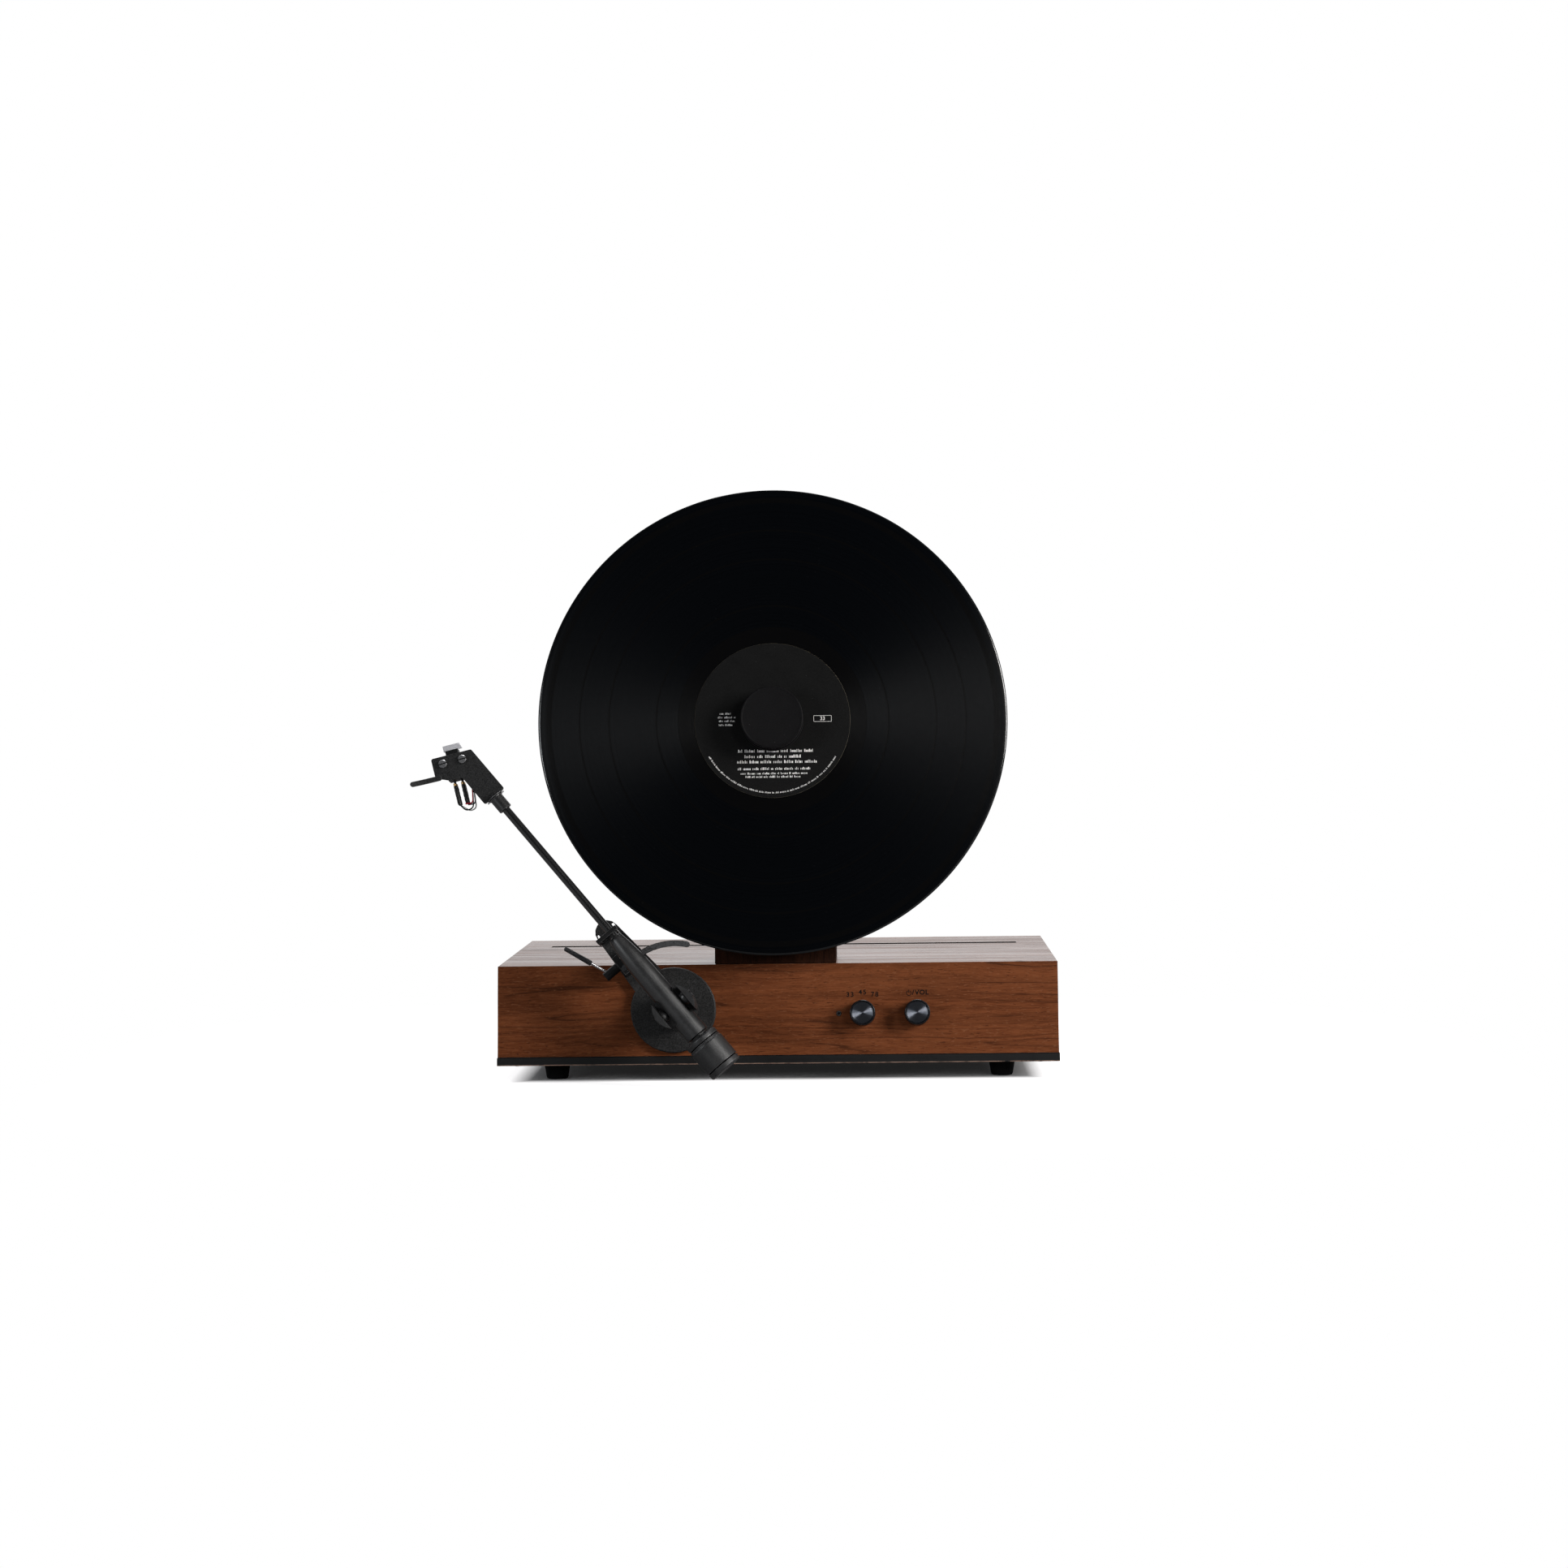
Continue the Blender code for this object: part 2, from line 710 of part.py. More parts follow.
def build_bottom(root, looks):
    """The black bottom plate stands out a little past the wood at both sides."""
    outline = [
        (front_line(plate_low), plate_low),
        (front_line(plate_top), plate_top),
        (CASE_DEPTH, plate_top),
        (CASE_DEPTH, plate_low),
    ]
    reach = half_width + PLATE_OVERHANG
    shape = prism(outline, -reach, reach, "X")
    return make_piece("bottom_plate", shape, root, looks["black_board"])


def build_rear(root, looks):
    """The rear panel closes the back between the top panel and the bottom plate."""
    height = (wood_low, top_low - GAP)
    shape = box((-half_width, half_width), (rear_inner, CASE_DEPTH), height)
    return make_piece("rear_panel", shape, root, looks["black_board"])


def build_trough(root, looks):
    """A folded channel under the slot holds the record's sleeve."""
    half = SLOT_LENGTH / 2
    high = top_low - GAP
    low = high - TROUGH_DEPTH
    front = SLOT_SETBACK
    back = SLOT_SETBACK + SLOT_WIDTH
    wall = TROUGH_WALL
    trough = make_piece(
        "sleeve_trough",
        box((-half - wall, half + wall), (front - wall, back + wall), (low, high)),
        root,
        looks["black_plastic"],
    )
    flange_reach = wall + TROUGH_FLANGE
    flange_depth = (front - flange_reach, back + flange_reach)
    flange = make_piece(
        "flange",
        box((-half - wall, half + wall), flange_depth, (high - wall, high)),
        root,
    )
    shape_with(trough, [flange], "UNION")
    hollow = make_piece(
        "hollow",
        box((-half, half), (front, back), (low + wall, high + OVERRUN)),
        root,
    )
    return shape_with(trough, [hollow])


def build_feet(root, looks):
    """Four tapered rubber feet, each held by the stem that is pressed into the bottom plate."""
    names = ("foot_front_left", "foot_front_right", "foot_rear_left", "foot_rear_right")
    top = plate_low - GAP
    profile = [
        (0, FOOT_RECESS_DEPTH),
        (FOOT_RECESS_RADIUS, FOOT_RECESS_DEPTH),
        (FOOT_RECESS_RADIUS, 0),
        (FOOT_BOTTOM_RADIUS - FOOT_EDGE, 0),
        (FOOT_BOTTOM_RADIUS, FOOT_EDGE),
        (FOOT_TOP_RADIUS, top),
        (FOOT_STEM_RADIUS, top),
        (FOOT_STEM_RADIUS, plate_top),
        (0, plate_top),
    ]
    holes = []
    for name, (x, y) in zip(names, foot_places()):
        make_piece(name, turned(profile, SMALL_SIDES), root, looks["black_rubber"], (x, y, 0))
        hole = rod(FOOT_STEM_RADIUS + GAP, plate_low - OVERRUN, plate_top + OVERRUN, SMALL_SIDES)
        holes.append(make_piece("stem_hole", hole, root, None, (x, y, 0)))
    return holes


def post_outline(half, low, inset=0.0):
    """Return the post's arched outline in the deck's plane, from its foot up."""
    crown = arc_points((0, SPINDLE_RISE), half - inset, 0, math.pi, POST_CROWN_SIDES)
    return [(-(half - inset), low), (half - inset, low)] + crown


def foot_of_post(level):
    """Return the rise, in the deck's plane, where the post meets the top panel."""
    return (GAP - level * math.sin(LEAN)) / math.cos(LEAN)


def post_section(front, back, half):
    """Return a slice of the post between two levels, its foot flat on the top panel."""
    loops = []
    for level in (back, front):
        outline = post_outline(half, foot_of_post(level))
        loops.append([(SPINDLE_SIDE + x, y, level) for x, y in outline])
    return loft(loops[0], loops[1])


def build_post(deck, looks):
    """The post: a hollow wooden upright with a cover at its back."""
    half = POST_WIDTH / 2
    block = post_section(0, -POST_DEPTH, half)
    shell = make_piece("post_shell", block, deck, looks["dark_wood"])
    floor = foot_of_post(-POST_DEPTH) + POST_BASE_WALL
    pocket_outline = [(SPINDLE_SIDE + x, y) for x, y in post_outline(half, floor, POST_WALL)]
    pocket_shape = prism_deck(pocket_outline, -POST_DEPTH - OVERRUN, -POST_WALL)
    pocket = make_piece("pocket", pocket_shape, deck)
    bearing_hole = rod(BEARING_RADIUS + GAP, -POST_WALL - OVERRUN, OVERRUN, MEDIUM_SIDES)
    bore = make_piece("bore", bearing_hole, deck, None, (SPINDLE_SIDE, SPINDLE_RISE, 0))
    shape_with(shell, [pocket, bore])
    cover_front = -POST_DEPTH - GAP
    cover_back = cover_front - POST_COVER_THICKNESS
    cover = post_section(cover_front, cover_back, half)
    make_piece("post_cover", cover, deck, looks["black_plastic"])
    return shell


def prism_deck(outline, low, high):
    """Extrude an outline in the deck's plane along the deck's normal."""
    return loft([(x, y, low) for x, y in outline], [(x, y, high) for x, y in outline])


def build_post_bolts(root, looks):
    """Two bolts hold the post from inside the case, through the top panel."""
    centre_y = front_line(CASE_TOP) + POST_DEPTH / 2 + FRONT_THICKNESS / 4
    seat = top_low - GAP
    reach = TOP_THICKNESS + GAP + POST_BOLT_GRIP
    holes = []
    half = POST_BOLT_SPACING / 2
    for name, side in (("post_bolt_left", -half), ("post_bolt_right", half)):
        place = Vector((SPINDLE_SIDE + side, centre_y, seat))
        bolt = turned(
            [
                (0, -POST_BOLT_HEAD_HEIGHT),
                (POST_BOLT_HEAD_RADIUS, -POST_BOLT_HEAD_HEIGHT),
                (POST_BOLT_HEAD_RADIUS, 0),
                (POST_BOLT_RADIUS, 0),
                (POST_BOLT_RADIUS, reach),
                (0, reach),
            ],
            TINY_SIDES,
        )
        make_piece(name, bolt, root, looks["steel"], place)
        hole = rod(POST_BOLT_RADIUS + GAP, -OVERRUN, reach + GAP, TINY_SIDES)
        holes.append(moved(hole, place))
    wire_hole = rod(WIRE_HOLE_RADIUS, -OVERRUN, TOP_THICKNESS + POST_BASE_WALL * 2, SMALL_SIDES)
    holes.append(moved(wire_hole, Vector((SPINDLE_SIDE, centre_y, seat))))
    return [make_piece("bolt_hole", hole, root) for hole in holes]


def build_bearing(spindle, looks):
    """A flanged bush in the post's front wall carries the spindle."""
    back = bearing_front - BEARING_LENGTH
    bore = SPINDLE_SHAFT_RADIUS + GAP
    profile = [
        (bore, bearing_front),
        (BEARING_FLANGE_RADIUS, bearing_front),
        (BEARING_FLANGE_RADIUS, GAP),
        (BEARING_RADIUS, GAP),
        (BEARING_RADIUS, back),
        (bore, back),
    ]
    make_piece("bearing_housing", turned(profile, MEDIUM_SIDES), spindle, looks["black_metal"])


def build_spindle(spindle, looks):
    """The spindle runs from the driven pulley, through the bearing, to the record's hole."""
    back = pulley_top - PULLEY_WIDTH - GAP
    collar = bearing_front + GAP
    collar_top = platter_low - GAP
    tip = SPINDLE_TIP_RADIUS
    profile = [
        (0, spindle_tip),
        (tip - SPINDLE_CHAMFER, spindle_tip),
        (tip, spindle_tip - SPINDLE_CHAMFER),
        (tip, collar_top),
        (SPINDLE_COLLAR_RADIUS, collar_top),
        (SPINDLE_COLLAR_RADIUS, collar),
        (SPINDLE_SHAFT_RADIUS, collar),
        (SPINDLE_SHAFT_RADIUS, back),
        (0, back),
    ]
    make_piece("spindle", turned(profile, SMALL_SIDES), spindle, looks["steel"])


def build_platter(spindle, looks):
    """A small platter, no wider than the label, with its rubber mat."""
    bore = SPINDLE_TIP_RADIUS + GAP
    bevel = PLATTER_BEVEL
    platter = [
        (bore, platter_top),
        (PLATTER_RADIUS - bevel, platter_top),
        (PLATTER_RADIUS, platter_top - bevel),
        (PLATTER_RADIUS, platter_low),
        (bore, platter_low),
    ]
    make_piece("platter", turned(platter, LARGE_SIDES), spindle, looks["black_metal"])
    mat_low = platter_top + GAP
    mat_top = mat_low + MAT_THICKNESS
    mat_edge = PLATTER_RADIUS - bevel
    mat = [(bore, mat_top), (mat_edge, mat_top), (mat_edge, mat_low), (bore, mat_low)]
    make_piece("platter_mat", turned(mat, LARGE_SIDES), spindle, looks["black_rubber"])


def build_record(spindle, looks):
    """A 12-inch record with a sunk seat for its label and a raised outer bead."""
    bore = SPINDLE_TIP_RADIUS + GAP
    seat = LABEL_RADIUS + GAP
    bead = RECORD_RADIUS - BEAD_WIDTH
    profile = [
        (bore, record_front - LABEL_SINK),
        (seat, record_front - LABEL_SINK),
        (seat, record_front - GROOVE_DEPTH),
        (bead, record_front - GROOVE_DEPTH),
        (RECORD_RADIUS - BEAD_EDGE * 2, record_front),
        (RECORD_RADIUS, record_front - RECORD_THICKNESS / 2),
        (RECORD_RADIUS - BEAD_EDGE * 2, RECORD_LEVEL),
        (bore, RECORD_LEVEL),
    ]
    make_piece("vinyl_record", turned(profile, RECORD_SIDES), spindle, looks["vinyl"])
    label = [
        (bore, label_top),
        (LABEL_RADIUS, label_top),
        (LABEL_RADIUS, label_low),
        (bore, label_low),
    ]
    make_piece("record_label", turned(label, LARGE_SIDES), spindle, looks["label_paper"])


def build_clamp(spindle, looks):
    """The clamp: a rubber-lined puck that grips the end of the spindle."""
    top = clamp_low + CLAMP_HEIGHT
    bore = SPINDLE_TIP_RADIUS + GAP
    inner = CLAMP_RADIUS - CLAMP_RIM
    waist = CLAMP_RADIUS - CLAMP_GRIP_DEPTH
    margin = CLAMP_GRIP_MARGIN
    profile = [
        (0, top - CLAMP_DISH),
        (inner - CLAMP_DISH, top - CLAMP_DISH),
        (inner, top),
        (CLAMP_RADIUS - CLAMP_BEVEL, top),
        (CLAMP_RADIUS, top - CLAMP_BEVEL),
        (CLAMP_RADIUS, top - margin),
        (waist, top - margin - CLAMP_GRIP_DEPTH),
        (waist, clamp_low + margin + CLAMP_GRIP_DEPTH),
        (CLAMP_RADIUS, clamp_low + margin),
        (CLAMP_RADIUS, clamp_low),
        (bore, clamp_low),
        (bore, spindle_tip + GAP),
        (0, spindle_tip + GAP),
    ]
    make_piece("record_clamp", turned(profile, LARGE_SIDES), spindle, looks["black_rubber"])


def pulley_profile(belt_radius, bore, top, low):
    """Return a flanged pulley's profile, with the belt's seat between its lips."""
    lip = belt_radius + PULLEY_LIP
    width = PULLEY_LIP_WIDTH
    return [
        (bore, top),
        (lip, top),
        (lip, top - width),
        (belt_radius, top - width),
        (belt_radius, low + width),
        (lip, low + width),
        (lip, low),
        (bore, low),
    ]


def build_drive(deck, spindle, looks):
    """Motor, its pulley, the driven pulley and the flat belt between them."""
    low = pulley_top - PULLEY_WIDTH
    driven = pulley_profile(PULLEY_RADIUS, SPINDLE_SHAFT_RADIUS + GAP, pulley_top, low)
    make_piece("driven_pulley", turned(driven, LARGE_SIDES), spindle, looks["nylon"])
    motor_frame = make_frame("motor_axis", deck, (SPINDLE_SIDE, MOTOR_RISE, 0))
    front = -POST_WALL - GAP
    back = front - MOTOR_LENGTH
    boss = back - MOTOR_BOSS_LENGTH
    motor = [
        (0, front),
        (MOTOR_RADIUS, front),
        (MOTOR_RADIUS, back),
        (MOTOR_BOSS_RADIUS, back),
        (MOTOR_BOSS_RADIUS, boss),
        (MOTOR_SHAFT_RADIUS, boss),
        (MOTOR_SHAFT_RADIUS, low),
        (0, low),
    ]
    make_piece("drive_motor", turned(motor, SMALL_SIDES), motor_frame, looks["zinc"])
    small = pulley_profile(MOTOR_PULLEY_RADIUS, MOTOR_SHAFT_RADIUS + GAP, pulley_top, low)
    make_piece("motor_pulley", turned(small, SMALL_SIDES), motor_frame, looks["brass"])
    build_belt(deck, low, looks)


def belt_loop(extra):
    """Return the belt's path round both pulleys, set off from their seats."""
    distance = SPINDLE_RISE - MOTOR_RISE
    large = PULLEY_RADIUS + extra
    small = MOTOR_PULLEY_RADIUS + extra
    slope = math.asin((large - small) / distance)
    large_steps = math.ceil((math.pi + 2 * slope) / BELT_ARC_STEP)
    small_steps = math.ceil((math.pi - 2 * slope) / BELT_ARC_STEP)
    driven = (SPINDLE_SIDE, SPINDLE_RISE)
    motor = (SPINDLE_SIDE, MOTOR_RISE)
    upper = arc_points(driven, large, -slope, math.pi + slope, large_steps)
    lower = arc_points(motor, small, math.pi + slope, math.tau - slope, small_steps)
    return upper + lower


def build_belt(deck, low, looks):
    """A flat rubber belt, drawn as the space between two loops."""
    middle = low + PULLEY_WIDTH / 2
    start = middle - BELT_WIDTH / 2
    end = middle + BELT_WIDTH / 2
    inner = belt_loop(GAP)
    outer = belt_loop(GAP + BELT_THICKNESS)
    shape = bmesh.new()
    loops = []
    for points, level in ((inner, start), (inner, end), (outer, end), (outer, start)):
        loops.append([shape.verts.new((x, y, level)) for x, y in points])
    for first, second in zip(loops, loops[1:] + loops[:1]):
        bridge_rings(shape, first, second, len(inner))
    make_piece("drive_belt", shape, deck, looks["black_rubber"])


def knob_profile():
    """Return a knob's profile, its shaft included, from the face's centre round to the shaft's end."""
    face = deck_front + KNOB_HEIGHT
    rim = KNOB_RADIUS - KNOB_TAPER
    dish = rim - KNOB_RIM
    return [
        (0, face - KNOB_DISH),
        (dish - KNOB_DISH, face - KNOB_DISH),
        (dish, face),
        (rim - KNOB_DISH, face),
        (rim, face - KNOB_DISH),
        (KNOB_RADIUS, deck_front),
        (KNOB_SHAFT_RADIUS, deck_front),
        (KNOB_SHAFT_RADIUS, deck_front - KNOB_SHAFT_LENGTH),
        (0, deck_front - KNOB_SHAFT_LENGTH),
    ]


def build_controls(deck, looks):
    """Speed and volume knobs, the parts they turn, and the lamp."""
    sets = (
        ("speed_knob", "speed_switch", SPEED_KNOB_SIDE, SWITCH_BODY_WIDTH),
        ("volume_knob", "volume_control", VOLUME_KNOB_SIDE, CONTROL_BODY_WIDTH),
    )
    cutters = []
    behind = -FRONT_THICKNESS - GAP
    for knob_name, body_name, side, width in sets:
        axis = make_frame(knob_name + "_axis", deck, (side, -KNOB_DROP, 0))
        make_piece(knob_name, turned(knob_profile(), MEDIUM_SIDES), axis, looks["knob_metal"])
        half = width / 2
        block = box((-half, half), (-half, half), (behind - CONTROL_BODY_DEPTH, behind))
        body = make_piece(body_name, block, axis, looks["zinc"])
        bush_shape = rod(CONTROL_BUSH_RADIUS, behind - OVERRUN, -GAP, SMALL_SIDES)
        shape_with(body, [make_piece("bush", bush_shape, axis)], "UNION")
        bore_end = deck_front - KNOB_SHAFT_LENGTH - GAP
        bore_shape = rod(KNOB_SHAFT_RADIUS + GAP, bore_end, OVERRUN, MEDIUM_SIDES)
        shape_with(body, [make_piece("bore", bore_shape, axis)])
        hole = rod(CONTROL_BUSH_RADIUS + GAP, behind - OVERRUN, OVERRUN, SMALL_SIDES)
        cutters.append(make_piece("control_hole", hole, axis))
    lamp_axis = make_frame("lamp_axis", deck, (LAMP_SIDE, -KNOB_DROP, 0))
    shoulder, rise = LAMP_SHOULDER_SHARES
    lamp = [
        (0, LAMP_DOME),
        (LAMP_RADIUS * shoulder, LAMP_DOME * rise),
        (LAMP_RADIUS, 0),
        (LAMP_RADIUS, behind - LAMP_TAIL),
        (0, behind - LAMP_TAIL),
    ]
    make_piece("status_lamp", turned(lamp, SMALL_SIDES), lamp_axis, looks["lamp"])
    hole = rod(LAMP_RADIUS + GAP, behind - OVERRUN, OVERRUN, SMALL_SIDES)
    cutters.append(make_piece("lamp_hole", hole, lamp_axis))
    return cutters


def build_board(root, looks):
    """The amplifier board stands on four legs on the bottom plate."""
    low = plate_top + GAP
    board_low = low + BOARD_LEG_HEIGHT
    board_top = board_low + BOARD_THICKNESS
    x_range = (BOARD_SIDE - BOARD_LENGTH / 2, BOARD_SIDE + BOARD_LENGTH / 2)
    y_range = (BOARD_SETBACK, BOARD_SETBACK + BOARD_WIDTH)
    board_shape = box(x_range, y_range, (board_low, board_top))
    board = make_piece("amplifier_board", board_shape, root, looks["board_green"])
    inset = BOARD_LEG_RADIUS * 2
    sunk = board_low + BOARD_THICKNESS / 2
    tools = []
    for x in (x_range[0] + inset, x_range[1] - inset):
        for y in (y_range[0] + inset, y_range[1] - inset):
            leg = rod(BOARD_LEG_RADIUS, low, sunk, TINY_SIDES)
            tools.append(make_piece("leg", leg, root, None, (x, y, 0)))
    middle = (y_range[0] + y_range[1]) / 2
    sink_x = (BOARD_SIDE - HEAT_SINK_LENGTH / 2, BOARD_SIDE + HEAT_SINK_LENGTH / 2)
    sink = box(sink_x, (middle, middle + HEAT_SINK_WIDTH), (sunk, board_top + HEAT_SINK_HEIGHT))
    tools.append(make_piece("heat_sink", sink, root))
    for side in (-1, 1):
        place = (BOARD_SIDE + side * HEAT_SINK_LENGTH, middle, 0)
        can = rod(CAPACITOR_RADIUS, sunk, board_top + CAPACITOR_HEIGHT, SMALL_SIDES)
        tools.append(make_piece("capacitor", can, root, None, place))
    return shape_with(board, tools, "UNION")


def socket_frame(root, side):
    """Return a frame on the rear panel whose +Z points to the back."""
    return make_frame("socket", root, (side, CASE_DEPTH, REAR_ROW_RISE), (-math.pi / 2, 0, 0))


def build_sockets(root, looks):
    """Line output jacks, power inlet and speaker terminals on the rear panel."""
    inner = -REAR_THICKNESS
    cutters = []
    jack = [
        (0, JACK_REACH),
        (JACK_RADIUS, JACK_REACH),
        (JACK_RADIUS, GAP + JACK_FLANGE_THICKNESS),
        (JACK_FLANGE_RADIUS, GAP + JACK_FLANGE_THICKNESS),
        (JACK_FLANGE_RADIUS, GAP),
        (JACK_RADIUS, GAP),
        (JACK_RADIUS, inner - JACK_TAIL),
        (0, inner - JACK_TAIL),
    ]
    centre = socket_frame(root, JACK_SIDE)
    half = JACK_PLATE_WIDTH / 2
    reach = half + JACK_SPACING / 2
    plate = box((-reach, reach), (-half, half), (GAP, GAP + JACK_FLANGE_THICKNESS))
    pair = make_piece("line_jacks", plate, centre, looks["brass"])
    jacks = []
    bores = []
    for side in (-JACK_SPACING / 2, JACK_SPACING / 2):
        jacks.append(make_piece("jack", turned(jack, SMALL_SIDES), centre, None, (side, 0, 0)))
        bore = rod(JACK_BORE_RADIUS, JACK_REACH - JACK_BORE_DEPTH, JACK_REACH + OVERRUN, SMALL_SIDES)
        bores.append(make_piece("bore", bore, centre, None, (side, 0, 0)))
        hole = rod(JACK_RADIUS + GAP, inner - OVERRUN, OVERRUN, SMALL_SIDES)
        cutters.append(make_piece("jack_hole", hole, centre, None, (side, 0, 0)))
    shape_with(pair, jacks, "UNION")
    shape_with(pair, bores)
    build_power_inlet(root, looks, cutters)
    build_terminals(root, looks, cutters)
    return cutters


def build_power_inlet(root, looks, cutters):
    """A round low-voltage inlet with its centre pin."""
    inner = -REAR_THICKNESS
    top = GAP + POWER_FLANGE_THICKNESS
    floor = top - POWER_BORE_DEPTH
    inlet = [
        (0, top - OVERRUN / 2),
        (POWER_PIN_RADIUS, top - OVERRUN / 2),
        (POWER_PIN_RADIUS, floor),
        (POWER_BORE_RADIUS, floor),
        (POWER_BORE_RADIUS, top),
        (POWER_FLANGE_RADIUS, top),
        (POWER_FLANGE_RADIUS, GAP),
        (POWER_RADIUS, GAP),
        (POWER_RADIUS, inner - POWER_TAIL),
        (0, inner - POWER_TAIL),
    ]
    centre = socket_frame(root, POWER_SIDE)
    make_piece("power_inlet", turned(inlet, SMALL_SIDES), centre, looks["black_plastic"])
    hole = rod(POWER_RADIUS + GAP, inner - OVERRUN, OVERRUN, SMALL_SIDES)
    cutters.append(make_piece("power_hole", hole, centre))


def build_terminals(root, looks, cutters):
    """Two pairs of screw terminals for the loudspeakers."""
    inner = -REAR_THICKNESS
    collar = GAP + TERMINAL_COLLAR_THICKNESS
    nut_low = collar + GAP * 2
    top = nut_low + TERMINAL_LENGTH
    terminal = [
        (0, top),
        (TERMINAL_RADIUS - GAP, top),
        (TERMINAL_RADIUS, top - GAP),
        (TERMINAL_RADIUS, nut_low),
        (TERMINAL_STUD_RADIUS, nut_low),
        (TERMINAL_STUD_RADIUS, inner - TERMINAL_TAIL),
        (0, inner - TERMINAL_TAIL),
    ]
    centre = socket_frame(root, TERMINAL_SIDE)
    half = TERMINAL_PLATE_WIDTH / 2
    span = TERMINAL_SPACING * (TERMINAL_COUNT - 1)
    plate = box((-half, span + half), (-half, half), (GAP, collar))
    block = make_piece("speaker_terminals", plate, centre, looks["black_plastic"])
    posts = []
    for place in range(TERMINAL_COUNT):
        side = (TERMINAL_SPACING * place, 0, 0)
        posts.append(make_piece("post", turned(terminal, SMALL_SIDES), centre, None, side))
        hole = rod(TERMINAL_STUD_RADIUS + GAP, inner - OVERRUN, OVERRUN, TINY_SIDES)
        cutters.append(make_piece("terminal_hole", hole, centre, None, side))
    shape_with(block, posts, "UNION")


def rest_outline():
    """Return the arm rest's tapered outline with its round tip, in the arm's frame."""
    shift = BASE_SIDE
    tip = arc_points((shift, REST_TIP_START), REST_TIP_HALF_WIDTH, 0, math.pi, SMALL_SIDES // 2)
    root = REST_ROOT_HALF_WIDTH
    return (
        [(shift - root, REST_ROOT_START), (shift + root, REST_ROOT_START), (shift + root, REST_ROOT_END)]
        + tip
        + [(shift - root, REST_ROOT_END)]
    )


def build_arm_base(arm, looks):
    """The mounting disc and the arm rest that grows out of it are one moulding."""
    low = GAP
    top = low + DISC_THICKNESS
    edge = DISC_RADIUS - DISC_BEVEL
    profile = [(0, top), (edge, top), (DISC_RADIUS, top - DISC_BEVEL), (DISC_RADIUS, low), (0, low)]
    disc = turned(profile, LARGE_SIDES)
    moved(disc, Vector((BASE_SIDE, BASE_ADVANCE, 0)))
    base = make_piece("arm_base", disc, arm, looks["black_plastic"])
    plate = make_piece("rest", prism_deck(rest_outline(), low, top), arm)
    shape_with(base, [plate], "UNION")
    stem = rod(PILLAR_STEM_RADIUS + GAP, low - OVERRUN, top + OVERRUN, SMALL_SIDES)
    cutters = [make_piece("stem", stem, arm)]
    half = REST_WINDOW_WIDTH / 2
    for side in (-REST_WINDOW_SIDE, REST_WINDOW_SIDE):
        x = BASE_SIDE + side
        y_range = (REST_TIP_START, REST_TIP_START + REST_WINDOW_HEIGHT)
        window = box((x - half, x + half), y_range, (low - OVERRUN, top + OVERRUN))
        cutters.append(make_piece("window", window, arm))
    return shape_with(base, cutters)


def build_arm_clip(arm, looks):
    """A hooked clip on the rest holds the wand; it is open on the record's side."""
    foot = GAP + DISC_THICKNESS + GAP
    seat = ARM_LEVEL - TUBE_RADIUS - GAP
    web = seat - CLIP_WEB
    bar_low = ARM_LEVEL + CLIP_HEADROOM + TUBE_RADIUS
    bar_top = bar_low + CLIP_BAR
    outline = [
        (-CLIP_POST_HALF_WIDTH, foot),
        (CLIP_POST_HALF_WIDTH, foot),
        (CLIP_POST_HALF_WIDTH, seat),
        (-CLIP_BACK + CLIP_BACK_WIDTH, seat),
        (-CLIP_BACK + CLIP_BACK_WIDTH, bar_low),
        (CLIP_TIP, bar_low),
        (CLIP_TIP, bar_top),
        (-CLIP_BACK, bar_top),
        (-CLIP_BACK, web),
        (-CLIP_POST_HALF_WIDTH, web),
    ]
    half = CLIP_WIDTH / 2
    shape = prism(outline, CLIP_PLACE - half, CLIP_PLACE + half, "Y")
    make_piece("arm_clip", shape, arm, looks["black_plastic"])


def build_pillar(arm, looks):
    """The pillar's stem goes through the front panel, and a nut holds it from inside."""
    foot = GAP + DISC_THICKNESS + GAP
    nut_top = -FRONT_THICKNESS - GAP
    nut_low = nut_top - NUT_THICKNESS
    bore = YOKE_PIN_RADIUS + GAP
    floor = yoke_low - YOKE_PIN_LENGTH - GAP
    pillar = [
        (bore, PILLAR_TOP),
        (PILLAR_RADIUS, PILLAR_TOP),
        (PILLAR_RADIUS, foot),
        (PILLAR_STEM_RADIUS, foot),
        (PILLAR_STEM_RADIUS, nut_low - GAP),
        (0, nut_low - GAP),
        (0, floor),
        (bore, floor),
    ]
    make_piece("arm_pillar", ring_with_floor(pillar), arm, looks["black_metal"])
    nut_bore = PILLAR_STEM_RADIUS + GAP
    hexagon = rod(NUT_RADIUS, nut_low, nut_top, 6)
    nut = make_piece("arm_nut", hexagon, arm, looks["steel"])
    hole = rod(nut_bore, nut_low - OVERRUN, nut_top + OVERRUN, SMALL_SIDES)
    shape_with(nut, [make_piece("nut_bore", hole, arm)])
    panel_hole = rod(PILLAR_STEM_RADIUS + GAP, nut_top - OVERRUN, OVERRUN, SMALL_SIDES)
    return make_piece("stem_hole", panel_hole, arm)


def ring_with_floor(profile):
    """Turn a blind-bored profile whose floor and underside both reach the axis."""
    split = [index for index, point in enumerate(profile) if point[0] == 0]
    ordered = profile[split[1]:] + profile[:split[1]]
    return turned(ordered, SMALL_SIDES)


def ear_outline(side):
    """Return one ear of the yoke: the part of a circle beyond a straight cut."""
    reach = math.acos(YOKE_EAR_INNER / YOKE_RADIUS)
    middle = 0 if side > 0 else math.pi
    return arc_points((0, 0), YOKE_RADIUS, middle - reach, middle + reach, TINY_SIDES)


